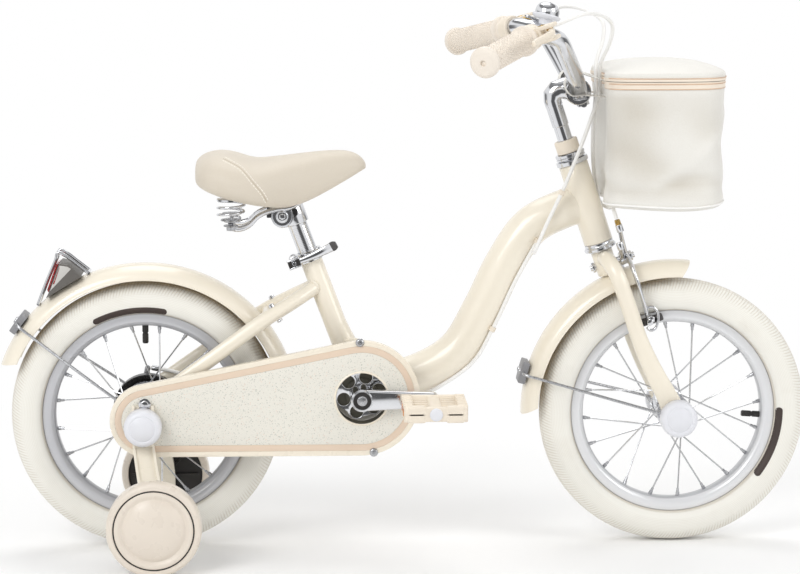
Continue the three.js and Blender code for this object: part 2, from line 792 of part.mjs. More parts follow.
function fork() {
  const column = upright(turned([
    [0, fenderTop + gap], [crownRadius, fenderTop + gap], [crownRadius, crownTop],
    [steererRadius, crownTop], [steererRadius, steererTop], [0, steererTop],
  ], tubeSides));
  const bore = drill(v3(0, 0, crownTop + bladeTopRadius), v3(0, 0, steererTop + overrun),
    quillRadius + gap, tubeSides);
  const axleHole = drill(v3(forkRake, -forkDropoutSpread - overrun * 2, 0),
    v3(forkRake, forkDropoutSpread + overrun * 2, 0), axleRadius + gap, tubeSides);
  const brakeHole = drill(v3(-crownRadius - overrun, 0, caliperRise), v3(crownRadius + overrun, 0, caliperRise),
    caliperBoltRadius + gap, 10);
  return cut(join(column, forkBlade(RIGHT), forkBlade(LEFT)), bore, axleHole, brakeHole);
}
add('fork', fork(), cream, steering);

// Stem: a quill, a forward neck and the clamp that holds the handlebar
const barSeat = v3(stemReach, 0, stemTop - stemDrop);

function stem() {
  const quill = rod(v3(0, 0, steererTop - quillInsertion), v3(0, 0, stemTop), quillRadius, tubeSides);
  const neck = rod(v3(-half(quillRadius), 0, stemTop), barSeat, stemNeckRadius, tubeSides);
  const clamp = rod(barSeat.clone().setY(-half(stemClampWidth)), barSeat.clone().setY(half(stemClampWidth)),
    stemClampRadius, tubeSides + 4);
  const bore = drill(barSeat.clone().setY(-stemClampWidth), barSeat.clone().setY(stemClampWidth),
    barRadius + gap, tubeSides + 4);
  const boltHead = rod(v3(0, 0, stemTop - weldDepth), v3(0, 0, stemTop + stemNeckRadius + weldDepth),
    half(quillRadius), 6);
  return cut(join(quill, neck, clamp, boltHead), bore);
}
add('stem', stem(), chrome, steering);

// Handlebar: up and out from the clamp, then back along the grips
const gripPlane = barSeat.z + barRise;
const gripEnd = (side) => v3(-forkRake - gripSweepBack + half(stemClampWidth) * 0.4, side * barHalfWidth,
  gripPlane - gap * 5);
const gripSpan = (side) => v3(gripSweepBack, -side * Math.sqrt(gripLength ** 2 - gripSweepBack ** 2), gap * 5);
const gripStart = (side) => gripEnd(side).add(gripSpan(side));
const gripAlong = (side) => gripSpan(side).normalize().negate();
const barBend = (side) => gripStart(side).addScaledVector(gripAlong(side), -leverClampWidth * 1.8);

function handlebar() {
  const arm = (side) => {
    const bend = barBend(side);
    return [
      v3(barSeat.x, side * stemClampWidth * 0.3, barSeat.z),
      v3(barSeat.x, side * stemClampWidth * 0.7, barSeat.z),
      v3(barSeat.x * 0.98, bend.y * 0.3448, barSeat.z + barRise * 0.17),
      v3(barSeat.x * 0.85, bend.y * 0.6206, barSeat.z + barRise * 0.55),
      v3(barSeat.x * 0.66, bend.y * 0.816, barSeat.z + barRise * 0.83),
      bend.clone().add(v3(barRadius, -side * barRadius * 0.9, -barRadius * 0.45)),
      bend,
      gripStart(side),
      gripEnd(side).addScaledVector(gripAlong(side), -gripEndWall - gap),
    ];
  };
  const points = [...arm(RIGHT).reverse(), ...arm(LEFT)];
  return sweep(smoothPath(points, 32), () => roundSection(barRadius, 8), AXIS_Z);
}
add('handlebar', handlebar(), chrome, steering);

function grip(side) {
  const bore = barRadius + gap * 2;
  const neck = gripRadius * 0.9;
  return aimed(turned([
    [0, gripLength], [gripRadius, gripLength], [gripFlangeRadius, gripLength - gripEndWall],
    [gripFlangeRadius, gripLength - gripFlangeWidth - gripEndWall],
    [gripRadius, gripLength - 2 * gripFlangeWidth], [neck, gripFlangeWidth * 3],
    [gripFlangeRadius, gripFlangeWidth * 2], [gripFlangeRadius, gripFlangeWidth],
    [neck, 0], [bore, 0], [bore, gripLength - gripEndWall], [0, gripLength - gripEndWall],
  ], 10), gripStart(side), gripEnd(side));
}

// The brake lever on each side: a clamp on the bar with a horn, and a blade that pivots in it
const leverAhead = (side) => v3(0, 0, 0).crossVectors(gripAlong(side), AXIS_Z).multiplyScalar(side).normalize();
const clampCentre = (side) => gripStart(side).addScaledVector(gripAlong(side), -half(leverClampWidth) - gap * 4);
const leverPivot = (side) => clampCentre(side).addScaledVector(leverAhead(side), leverReach * 0.68);

const adjusterFoot = (side) => clampCentre(side).addScaledVector(leverAhead(side), leverClampRadius)
  .addScaledVector(gripAlong(side), weldDepth - half(leverClampWidth))
  .addScaledVector(AXIS_Z, half(leverWidth) + leverEarThickness - adjusterRadius);
const adjusterWay = (side) => leverAhead(side).multiplyScalar(0.6)
  .addScaledVector(gripAlong(side), -0.8).normalize();

function leverClamp(side) {
  const along = gripAlong(side);
  const centre = clampCentre(side);
  const shift = (distance) => centre.clone().addScaledVector(along, distance);
  const ring = rod(shift(-half(leverClampWidth)), shift(half(leverClampWidth)), leverClampRadius, tubeSides);
  const bore = drill(shift(-leverClampWidth), shift(leverClampWidth), barRadius + 2 * gap, tubeSides);
  const pivot = leverPivot(side);
  const ears = half(leverWidth) + leverEarThickness;
  const horn = sweep([centre.clone().addScaledVector(leverAhead(side), barRadius + leverEarThickness),
    pivot.clone().addScaledVector(leverAhead(side), leverPivotRadius)],
  () => flatSection(leverClampWidth, 2 * ears), along);
  const slot = sweep([pivot.clone().addScaledVector(leverAhead(side), -leverPivotRadius - gap * 2),
    pivot.clone().addScaledVector(leverAhead(side), leverPivotRadius * 2)],
  () => flatSection(leverClampWidth * 2, leverWidth + 2 * gap), along);
  const foot = adjusterFoot(side);
  const adjuster = rod(foot, foot.clone().addScaledVector(adjusterWay(side), adjusterLength), adjusterRadius, 8);
  return join(cut(join(ring, horn), bore, slot), adjuster);
}

function leverBlade(side) {
  const pivot = leverPivot(side);
  const along = gripAlong(side);
  const ahead = leverAhead(side);
  const at = (out, forward) => pivot.clone().addScaledVector(along, out).addScaledVector(ahead, forward);
  const path = smoothPath([
    at(-leverPivotRadius * 0.7, 0),
    at(leverPivotRadius, leverThickness * 0.5),
    at(leverLength * 0.3, leverReach * 0.34),
    at(leverLength * 0.65, leverReach * 0.3),
    at(leverLength * 0.9, leverReach * 0.34),
    at(leverLength, leverReach * 0.45),
  ], 8);
  return sweep(path, (share) => roundSection(half(leverThickness), 6, half(leverWidth) * (1 - share * 0.25)),
    ahead);
}

for (const side of [RIGHT, LEFT]) {
  add(`grip_${sideName(side)}`, grip(side), beigeRubber, steering);
  add(`lever_clamp_${sideName(side)}`, leverClamp(side), beigePlastic, steering);
  add(`brake_lever_${sideName(side)}`, leverBlade(side), beigePlastic, steering);
}

// Bell on the left rise of the bar, and its thumb striker
const bellFoot = v3(barSeat.x * 0.66, barBend(LEFT).y * 0.816, barSeat.z + barRise * 0.83);
const bellWay = v3(0.62, 0.22, 0.75).normalize();
const bellStart = barRadius + gap * 5;
const bellSide = v3(0, 1, 0).projectOnPlane(bellWay).normalize();

function bell() {
  const top = bellStart + bellBaseHeight + bellHeight;
  const foot = bellStart;
  return aimed(turned([
    [0, foot], [half(bellRadius), foot], [half(bellRadius), foot + half(bellBaseHeight)],
    [bellRadius * 0.85, foot + bellBaseHeight], [bellRadius, foot + bellBaseHeight],
    [bellRadius * 0.96, top - bellHeight * 0.55], [bellRadius * 0.6, top - bellHeight * 0.12], [0, top],
  ], tubeSides + 2), bellFoot, bellFoot.clone().add(bellWay));
}

const strikerPivot = bellFoot.clone().addScaledVector(bellWay, bellStart + strikerRadius * 0.9)
  .addScaledVector(bellSide, half(bellRadius) + strikerRadius * 1.8);

function bellStriker() {
  const backwards = bellWay.clone().cross(bellSide);
  const tip = strikerPivot.clone().addScaledVector(backwards, strikerLength)
    .addScaledVector(bellWay, strikerRadius * 2);
  const lever = rod(strikerPivot, tip, strikerRadius, 6);
  const thumbPad = new THREE.SphereGeometry(strikerRadius * 2.2, 6, 5).translate(tip.x, tip.y, tip.z);
  return join(lever, thumbPad);
}
add('bell', bell(), chrome, steering);
add('bell_striker', bellStriker(), chrome, steering);

// Fenders

function fender(around, fromAngle, toAngle) {
  const bows = 5;
  const crown = Math.cos(half(Math.PI) / bows);
  const bow = (width, depth, lift) => Array.from({ length: bows + 1 }, (_, i) => {
    const angle = (i / bows - half(1)) * Math.PI;
    return [width * Math.sin(angle), depth * (Math.cos(angle) - crown) + lift];
  });
  const inner = bow(fenderHalfWidth - fenderThickness, fenderDepth - half(fenderThickness), -fenderThickness);
  const section = [...bow(fenderHalfWidth, fenderDepth, 0), ...inner.reverse()];
  const path = Array.from({ length: fenderSteps + 1 }, (_, i) =>
    around(fenderRadius, toAngle + ((fromAngle - toAngle) * i) / fenderSteps));
  return sweep(path, () => section, AXIS_Y);
}
add('rear_fender', fender(aroundRear, rearFenderFrom, rearFenderTo), cream);
add('front_fender', fender(aroundFront, frontFenderFrom, frontFenderTo), cream);

// A clip across the crown of a fender with one wire that comes back to an eye on each side of the axle.
function fenderStay(around, clipAngle, eye, eyeSpread) {
  const reach = half(stayClipLength) / fenderRadius;
  const clipSection = [
    [-half(stayClipWidth), 0], [half(stayClipWidth), 0],
    [half(stayClipWidth) * 0.8, stayClipHeight], [-half(stayClipWidth) * 0.8, stayClipHeight],
  ];
  const clip = sweep([-1, 0, 1].map((i) => around(fenderRadius + gap, clipAngle - i * reach)),
    () => clipSection, AXIS_Y);
  const wireSpread = eyeSpread - half(stayEyeThickness) + stayWireRadius + gap;
  const toClip = around(fenderRadius, clipAngle).sub(eye).normalize();
  const wire = [RIGHT, LEFT].map((side) => tube([
    around(fenderRadius + half(stayClipHeight), clipAngle, side * half(half(stayClipWidth))),
    around(fenderRadius + half(stayClipHeight), clipAngle, side * (fenderHalfWidth + stayWireRadius)),
    around(fenderRadius - fenderDepth, clipAngle, side * (fenderHalfWidth + stayWireRadius * 3.4)),
    eye.clone().lerp(around(fenderRadius, clipAngle), 0.2).setY(side * wireSpread),
    eye.clone().addScaledVector(toClip, stayEyeRadius - half(stayWireRadius)).setY(side * wireSpread),
  ], stayWireRadius, 5, 11));
  const rings = [RIGHT, LEFT].map((side) => sleeve(stayEyeRadius, 0,
    side * eyeSpread - half(stayEyeThickness), side * eyeSpread + half(stayEyeThickness), 10)
    .translate(eye.x, 0, eye.z));
  return join(clip, ...wire, ...rings);
}
const rearEye = rearAxle.clone().add(v3(-dropoutRadius * 0.95, 0, dropoutRadius * 1.05));
add('rear_fender_stay', fenderStay(aroundRear, rearClipAngle, rearEye,
  dropoutSpread + half(dropoutThickness) + half(stayEyeThickness) + gap), greyPlastic);
const frontEyeSpread = forkDropoutSpread + bladeTipHalfThickness + gap + half(stayEyeThickness);
const frontAxleHole = drill(frontAxle.clone().setY(-forkDropoutSpread * 2),
  frontAxle.clone().setY(forkDropoutSpread * 2), axleRadius + gap, tubeSides);
add('front_fender_stay', cut(fenderStay(aroundFront, frontClipAngle, frontAxle, frontEyeSpread),
  frontAxleHole), greyPlastic);

// Tail reflector: a wedge housing, its lens and a wire hoop over it

const reflectorSeat = aroundRear(fenderRadius + gap, reflectorAngle);
const reflectorFrame = new THREE.Group();
reflectorFrame.position.copy(reflectorSeat);
reflectorFrame.rotation.y = half(Math.PI) - reflectorAngle;
bike.add(reflectorFrame);

const lensHead = new THREE.Vector2(half(reflectorLength) * 0.33, reflectorHeight);
const lensFoot = new THREE.Vector2(-half(reflectorLength) * 0.78, reflectorHeight * 0.12);

function reflectorHousing() {
  const outline = new THREE.Shape([
    new THREE.Vector2(half(reflectorLength), 0),
    new THREE.Vector2(half(reflectorLength) * 0.81, reflectorHeight * 0.71),
    lensHead,
    lensFoot,
    new THREE.Vector2(-half(reflectorLength), 0),
  ]);
  return sidePlate(outline, -half(reflectorWidth), half(reflectorWidth), 1);
}

function reflectorLens() {
  const along = lensHead.clone().sub(lensFoot).normalize();
  const out = new THREE.Vector2(-along.y, along.x);
  const at = (base, step, lift) => base.clone().addScaledVector(along, step).addScaledVector(out, lift);
  const outline = new THREE.Shape([
    at(lensFoot, lensMargin / 4, gap), at(lensHead, -lensMargin / 4, gap),
    at(lensHead, -lensMargin, lensThickness), at(lensFoot, lensMargin, lensThickness),
  ]);
  return sidePlate(outline, -half(reflectorWidth) + lensMargin, half(reflectorWidth) - lensMargin, 1);
}

function reflectorHoop() {
  const foot = half(reflectorLength) + reflectorGuardReach;
  const lift = reflectorHeight + reflectorGuardRise;
  const sag = (x) => Math.sqrt(fenderRadius ** 2 - x ** 2) - fenderRadius;
  const spread = half(reflectorWidth) * 0.45;
  const arch = (side) => tube([
    v3(foot * 0.86, side * spread, sag(foot * 0.86) + reflectorGuardRadius * 0.9),
    v3(foot * 0.7, side * spread, lift * 0.4), v3(foot * 0.5, side * spread, lift * 0.88),
    v3(foot * 0.4, side * spread, lift), v3(foot * 0.25, side * spread, lift * 0.88),
    v3(-foot * 0.4, side * spread, lift * 0.41),
    v3(-foot, side * spread, sag(foot) + reflectorGuardRadius * 0.9),
  ], reflectorGuardRadius, 5, 14);
  const crossBar = (x, z) => rod(v3(x, -spread, z), v3(x, spread, z), reflectorGuardRadius, 5);
  return join(arch(RIGHT), arch(LEFT), crossBar(-foot, sag(foot) + reflectorGuardRadius * 0.9),
    crossBar(foot * 0.86, sag(foot * 0.86) + reflectorGuardRadius * 0.9));
}
add('tail_reflector_housing', reflectorHousing(), darkPlastic, reflectorFrame);
add('tail_reflector_lens', reflectorLens(), redLens, reflectorFrame);
add('tail_reflector_guard', reflectorHoop(), chrome, reflectorFrame);

// Chain drive

// The outline of a sprocket whose gaps hold the chain's rollers, with a gap at the given angle.
function sprocketShape(teeth, gapAngle) {
  const pitchRadius = chainPitch / (2 * Math.sin(Math.PI / teeth));
  const root = pitchRadius - rollerRadius - 2 * gap;
  const tip = root + toothHeight;
  const step = (2 * Math.PI) / teeth;
  const corners = [[0.22, root], [0.5, tip], [0.78, root]];
  const points = [];
  for (let i = 0; i < teeth; i++) {
    for (const [share, radius] of corners) {
      const angle = gapAngle + (i + share) * step;
      points.push(new THREE.Vector2(radius * Math.cos(angle), radius * Math.sin(angle)));
    }
  }
  return new THREE.Shape(points);
}

const driveHeading = Math.atan2(bracketRise, bracketAhead);
const sprocketIn = -chainLine - half(sprocketThickness);
const sprocketOut = -chainLine + half(sprocketThickness);
const crankBossInner = chainLine - half(sprocketThickness);

function chainring() {
  const shape = addHole(
    sprocketShape(chainringTeeth, driveHeading), 0, 0, crankBossRadius + gap, tubeSides);
  for (let i = 0; i < chainringWindows; i++) {
    const angle = (i * 2 * Math.PI) / chainringWindows;
    addHole(shape, chainringWindowCircle * Math.cos(angle), chainringWindowCircle * Math.sin(angle),
      chainringWindowRadius, 8);
  }
  return sidePlate(shape, sprocketIn, sprocketOut, 5).translate(bracket.x, 0, bracket.z);
}

// The threaded end of the hub that carries the freewheel is the hub's own cone.
function freewheel() {
  const plate = sidePlate(sprocketShape(freewheelTeeth, driveHeading + Math.PI), sprocketIn, sprocketOut, 6);
  const bore = hubBarrelRadius / Math.cos(Math.PI / hubSides) + gap;
  const body = sleeve(
    freewheelBodyRadius, 0, sprocketIn + half(sprocketThickness), sprocketIn + freewheelBodyWidth, tubeSides);
  const seatHole = sleeve(bore, 0, -chainLine * 2, 0, tubeSides);
  return cut(join(plate, body), seatHole).translate(0, 0, wheelRadius);
}

// The chain's loop: where each roller sits, and which way is outwards there.
function chainLoop() {
  const front = chainringPitchRadius;
  const rear = chainPitch / (2 * Math.sin(Math.PI / freewheelTeeth));
  const distance = Math.hypot(bracketAhead, bracketRise);
  const taper = Math.asin((front - rear) / distance);
  const straight = distance * Math.cos(taper);
  const frontArc = front * (Math.PI + 2 * taper);
  const rearArc = rear * (Math.PI - 2 * taper);
  const total = 2 * straight + frontArc + rearArc;
  const links = 2 * Math.round(total / chainPitch / 2);
  const heading = driveHeading;
  const spot = (travel) => {
    const s = ((travel % total) + total) % total;
    const bend = half(Math.PI) + taper;
    if (s < half(frontArc)) return { centre: bracket, radius: front, angle: heading + s / front };
    if (s > total - half(frontArc)) {
      return { centre: bracket, radius: front, angle: heading - (total - s) / front };
    }
    const onTop = s - half(frontArc);
    if (onTop < straight) return { centre: bracket, radius: front, angle: heading + bend, slide: onTop };
    const onRear = onTop - straight;
    if (onRear < rearArc) return { centre: rearAxle, radius: rear, angle: heading + bend + onRear / rear };
    return { centre: rearAxle, radius: rear, angle: heading - bend, slide: onRear - rearArc };
  };
  return Array.from({ length: links }, (_, i) => {
    const { centre, radius, angle, slide = 0 } = spot((i * total) / links);
    const out = v3(Math.cos(angle), 0, Math.sin(angle));
    const onward = v3(-Math.sin(angle), 0, Math.cos(angle));
    return { point: centre.clone().addScaledVector(out, radius).addScaledVector(onward, slide), out, slide };
  });
}

// Side plates drawn as two bands that bend at every roller they wrap, joined by the rollers.
function chain() {
  const rollers = chainLoop();
  const onArc = rollers.filter(({ slide }, i) =>
    !slide || !rollers[(i + 1) % rollers.length].slide || !rollers.at(i - 1).slide);
  const bends = onArc.filter(({ slide }, i) => slide || i % 2 === 0);
  const edge = (offset) => bends.map(({ point, out }) =>
    new THREE.Vector2(point.x + out.x * offset, point.z + out.z * offset));
  const band = (inner) => {
    const shape = new THREE.Shape(edge(chainPlateHalfHeight));
    shape.holes.push(new THREE.Path(edge(-chainPlateHalfHeight)));
    return sidePlate(shape, inner, inner + chainPlate, 1);
  };
  const inside = half(chainInnerGap);
  const pins = rollers.map(({ point }) => rod(
    point.clone().setY(-chainLine - inside - half(chainPlate)),
    point.clone().setY(-chainLine + inside + half(chainPlate)), rollerRadius, rollerSides));
  return join(band(-chainLine - inside - chainPlate), band(-chainLine + inside), ...pins);
}

const leftCrankEnd = leftCrankPlane + crankThickness;

// A crank arm with its pedal axle; the right one also carries the spindle that the left one sits on.
function crankArm(side, plane, reach) {
  const shape = strapShape(0, 0, crankBossRadius, reach, 0, crankEyeRadius);
  const out = side * (plane + crankThickness);
  const arm = sidePlate(shape, Math.min(side * plane, out), Math.max(side * plane, out), 5);
  const boss = rod(v3(0, side * (side === RIGHT ? crankBossInner : plane), 0), v3(0, out, 0),
    crankBossRadius, tubeSides);
  const axle = rod(v3(reach, side * (plane + weldDepth), 0),
    v3(reach, side * (plane + crankThickness + pedalOffset + pedalWidth), 0), pedalAxleRadius, 8);
  if (side === RIGHT) {
    const spindle = rod(v3(0, -rightCrankPlane, 0), v3(0, leftCrankEnd - gap, 0), spindleRadius, tubeSides);
    return join(arm, boss, axle, spindle).translate(bracket.x, 0, bracket.z);
  }
  const bore = drill(v3(0, 0, 0), v3(0, leftCrankEnd + overrun, 0), spindleRadius + gap, tubeSides);
  return cut(join(arm, boss, axle), bore).translate(bracket.x, 0, bracket.z);
}

function pedal(side, reach) {
  const plane = side === RIGHT ? rightCrankPlane : leftCrankPlane;
  const inner = side * (plane + crankThickness + pedalOffset);
  const outer = side * (plane + crankThickness + pedalOffset + pedalWidth - gap);
  const low = Math.min(inner, outer);
  const high = Math.max(inner, outer);
  const corner = half(pedalBar);
  const endPlate = (from) => {
    const outline = new THREE.Shape([
      new THREE.Vector2(-half(pedalLength), -half(pedalThickness) + corner),
      new THREE.Vector2(-half(pedalLength) + corner, -half(pedalThickness)),
      new THREE.Vector2(half(pedalLength) - corner, -half(pedalThickness)),
      new THREE.Vector2(half(pedalLength), -half(pedalThickness) + corner),
      new THREE.Vector2(half(pedalLength), half(pedalThickness) - corner),
      new THREE.Vector2(half(pedalLength) - corner, half(pedalThickness)),
      new THREE.Vector2(-half(pedalLength) + corner, half(pedalThickness)),
      new THREE.Vector2(-half(pedalLength), half(pedalThickness) - corner),
    ]);
    return sidePlate(outline, from, from + pedalBar, 1);
  };
  const crossBar = (x) => block(v3(x, low, -half(pedalThickness)), v3(x + pedalBar, high, half(pedalThickness)));
  const barrel = rod(v3(0, low, 0), v3(0, high, 0), pedalBarrelRadius, 8);
  const bore = drill(v3(0, low - overrun, 0), v3(0, high + overrun, 0), pedalAxleRadius + gap, 8);
  return cut(join(endPlate(low), endPlate(high - pedalBar), crossBar(-half(pedalLength) + gap),
    crossBar(half(pedalLength) - pedalBar - gap), barrel), bore)
    .translate(bracket.x + reach, 0, bracket.z);
}

add('chainring', chainring(), blackSteel);
add('freewheel', freewheel(), steel);
add('chain', chain(), steel);
add('crank_right', crankArm(RIGHT, rightCrankPlane, crankLength), chrome);
add('crank_left', crankArm(LEFT, leftCrankPlane, -crankLength), chrome);
add('pedal_right', pedal(RIGHT, crankLength), beigePlastic);
add('pedal_left', pedal(LEFT, -crankLength), beigePlastic);

// Chain guard: a thin shell that is open towards the wheel, with a round window at the crank
function chainGuard() {
  const outline = (inset) => strapShape(guardRearShift, wheelRadius + guardRearRise, guardRearRadius - inset,
    bracket.x, bracket.z, guardFrontRadius - inset);
  const shell = sidePlate(outline(0), -guardPlane, -guardPlane + guardFlange, 10);
  const hollow = sidePlate(outline(guardWall), -guardPlane + guardWall, -guardPlane + guardFlange + overrun, 10);
  const window = rod(bracket.clone().setY(-guardPlane - overrun), bracket.clone().setY(-guardPlane + overrun),
    guardWindowRadius, 24);
  const axleHole = rod(rearAxle.clone().setY(-guardPlane - overrun), rearAxle.clone().setY(-guardPlane + overrun),
    guardAxleHoleRadius, tubeSides);
  return cut(shell, hollow, window, axleHole);
}
add('chain_guard', chainGuard(), creamPlastic);

// Axles, training wheel brackets and caps
const bracketPlane = guardPlane + gap;
const bracketOuter = bracketPlane + bracketThickness;
const trainerInner = trainerSpread - half(trainerWidth);

function axle(at, reach, nutPlane) {
  const bar = rod(v3(0, -reach, 0), v3(0, reach, 0), axleRadius, tubeSides);
  const nut = (side) => rod(v3(0, side * nutPlane, 0), v3(0, side * (nutPlane + nutHeight), 0), nutRadius, 6);
  return join(bar, nut(RIGHT), nut(LEFT)).translate(at.x, 0, at.z);
}
add('rear_axle', axle(rearAxle, bracketOuter + nutHeight + weldDepth, bracketOuter + gap), steel);

// A pressed channel that hangs from the axle, steps out and carries the training wheel's bolt.
function trainerBracket(side) {
  const section = [
    [-half(bracketWidth), 0], [half(bracketWidth), 0], [half(bracketWidth), bracketFlange],
    [half(bracketWidth) - bracketThickness, bracketFlange], [half(bracketWidth) - bracketThickness,
      bracketThickness], [-half(bracketWidth) + bracketThickness, bracketThickness],
    [-half(bracketWidth) + bracketThickness, bracketFlange], [-half(bracketWidth), bracketFlange],
  ];
  const drop = wheelRadius - trainerRadius;
  const out = trainerInner - gap - bracketFlange - bracketPlane;
  const path = [v3(0, 0, bracketTopRise), ...smoothPath([
    v3(0, 0, -drop * 0.25), v3(trainerAhead * 0.3, out * 0.32, -drop * 0.5),
    v3(trainerAhead * 0.8, out * 0.9, -drop * 0.78), v3(trainerAhead, out, -drop),
    v3(trainerAhead, out, -drop - half(bracketWidth)),
  ], 8)].map((point) => v3(point.x, side * (bracketPlane + point.y), wheelRadius + point.z));
  const channel = sweep(path, () => section.map(([a, b]) => [a, -side * b]), v3(1, 0, 0));
  const spacer = rod(v3(0, side * (dropoutSpread + half(dropoutThickness) + gap), wheelRadius),
    v3(0, side * (bracketPlane + half(bracketThickness)), wheelRadius), spacerRadius, tubeSides);
  const hole = drill(v3(0, side * dropoutSpread, wheelRadius),
    v3(0, side * (bracketOuter + overrun), wheelRadius), axleRadius + gap, tubeSides);
  const bolt = rod(v3(trainerAhead, side * (bracketPlane + out + half(bracketThickness)), trainerRadius),
    v3(trainerAhead, side * trainerSpread, trainerRadius), trainerBoltRadius, tubeSides);
  const washer = rod(v3(trainerAhead, side * (bracketPlane + out + half(bracketThickness)), trainerRadius),
    v3(trainerAhead, side * (trainerInner - gap), trainerRadius), trainerBoltRadius * 1.8, tubeSides);
  return join(cut(join(channel, spacer), hole), bolt, washer);
}

function trainingWheel(side) {
  const wide = half(trainerWidth);
  const bore = trainerBoltRadius + gap;
  const profile = [
    [0, wide + overrun], [trainerRadius * 0.42, wide + overrun * 0.8], [trainerRadius * 0.66, wide * 0.9],
    [trainerRadius * 0.83, wide * 0.75], [trainerRadius * 0.92, wide * 0.9], [trainerRadius, wide * 0.6],
    [trainerRadius, -wide * 0.6], [trainerRadius * 0.92, -wide * 0.9], [trainerRadius * 0.76, -wide * 0.5],
    [trainerRadius * 0.26, -wide * 0.5], [trainerRadius * 0.24, -wide], [bore, -wide], [bore, gap], [0, gap],
  ].map(([radius, along]) => [radius, side * along]);
  return turned(profile, trainerSides).translate(trainerAhead, side * trainerSpread, trainerRadius);
}

// A round cap over an axle nut, open towards the wheel.
function axleCap(side, at, plane, depth) {
  const wall = guardWall;
  const back = plane + gap;
  const profile = [
    [0, back + depth], [capRadius * 0.7, back + depth * 0.94], [capRadius * 0.95, back + depth * 0.66],
    [capRadius, back], [nutRadius + 2 * wall, back], [nutRadius + 2 * wall, back + nutHeight + 3 * wall],
    [0, back + nutHeight + 3 * wall],
  ].map(([radius, along]) => [radius, side * along]);
  return turned(profile, 14).translate(at.x, 0, at.z);
}

for (const side of [RIGHT, LEFT]) {
  add(`training_wheel_bracket_${sideName(side)}`, trainerBracket(side), cream);
  add(`training_wheel_${sideName(side)}`, trainingWheel(side), creamPlastic);
  add(`rear_axle_cap_${sideName(side)}`, axleCap(side, rearAxle, bracketOuter + bracketFlange
    - bracketThickness, capDepth), whitePlastic);
}
const frontNutPlane = frontEyeSpread + half(stayEyeThickness) + gap;
const frontCapPlane = frontEyeSpread - half(stayEyeThickness) + 2 * (stayWireRadius + gap);

// The front caps are pressed onto the axle's own nuts, so axle and caps are one body.
add('front_axle_and_caps', join(
  rod(frontAxle.clone().setY(-frontCapPlane - frontCapDepth * 0.85),
    frontAxle.clone().setY(frontCapPlane + frontCapDepth * 0.85), axleRadius, tubeSides),
  ...[RIGHT, LEFT].flatMap((side) => [
    rod(frontAxle.clone().setY(side * frontNutPlane),
      frontAxle.clone().setY(side * (frontNutPlane + nutHeight)), nutRadius, 6),
    axleCap(side, frontAxle, frontCapPlane, frontCapDepth),
  ])), whitePlastic);

// Rear brake: the fixed cover round the drum, and the arm that the cable pulls
function brakeCover() {
  const face = coverFace;
  const bore = axleRadius + 2 * gap;
  return turnedRing([
    [bore, rearHubEnd], [coverBossRadius, rearHubEnd], [coverBossRadius, face],
    [coverRadius, face], [coverRadius, face - coverDepth],
    [coverRadius - coverWall, face - coverDepth], [coverRadius - coverWall, face - coverWall],
    [bore, face - coverWall],
  ], 20).translate(0, 0, wheelRadius);
}
const brakeArmPivot = v3(-coverRadius * 0.12, coverFace + gap, wheelRadius + coverRadius * 0.62);

const brakeArmTip = brakeArmPivot.clone().add(v3(half(brakeArmWidth), 0, brakeArmLength));

function brakeArm() {
  const shape = strapShape(brakeArmPivot.x, brakeArmPivot.z, half(brakeArmWidth), brakeArmTip.x,
    brakeArmTip.z, half(brakeArmWidth) * 0.8);
  return sidePlate(shape, brakeArmPivot.y, brakeArmPivot.y + brakeArmThickness, 5);
}
add('band_brake_cover', brakeCover(), blackSteel);
add('band_brake_arm', brakeArm(), steel);

// Saddle, its springs and rails, the post and the quick-release collar

function saddleCushion() {
  const stations = [
    [0, 0.46, 0.2, 0.52], [0.035, 0.72, 0.1, 0.64], [0.1, 0.9, 0.02, 0.72], [0.19, 0.99, 0, 0.8],
    [0.3, 1, 0.1, 0.87], [0.42, 0.9, 0.12, 0.94], [0.54, 0.68, 0.09, 1], [0.66, 0.5, 0.05, 0.9],
    [0.78, 0.38, 0.01, 0.72], [0.88, 0.31, 0, 0.56], [0.95, 0.25, 0.05, 0.46], [1, 0.13, 0.18, 0.38],
  ];
  const outline = [
    [0, 0], [0.34, 0.03], [0.66, 0.13], [0.88, 0.32], [1, 0.58], [0.95, 0.85], [0.8, 1], [0.66, 0.97],
    [0.6, 0.78], [0.3, 0.72],
  ];
  const ring = outline.concat(outline.slice(1).reverse().map(([y, z]) => [-y, z]));
  const rings = stations.map(([along, width, crown, skirt]) => ring.map(([y, z]) => v3(
    saddleRear + along * saddleLength, y * width * saddleHalfWidth,
    saddleTop - saddleDepth * (crown + z * (skirt - crown)))));
  return skin(rings);
}
add('saddle_cushion', saddleCushion(), saddleLeather);

const saddleClamp = onSeat(v3(-saddleClampRadius, 0, postTop - overrun * 1.6));

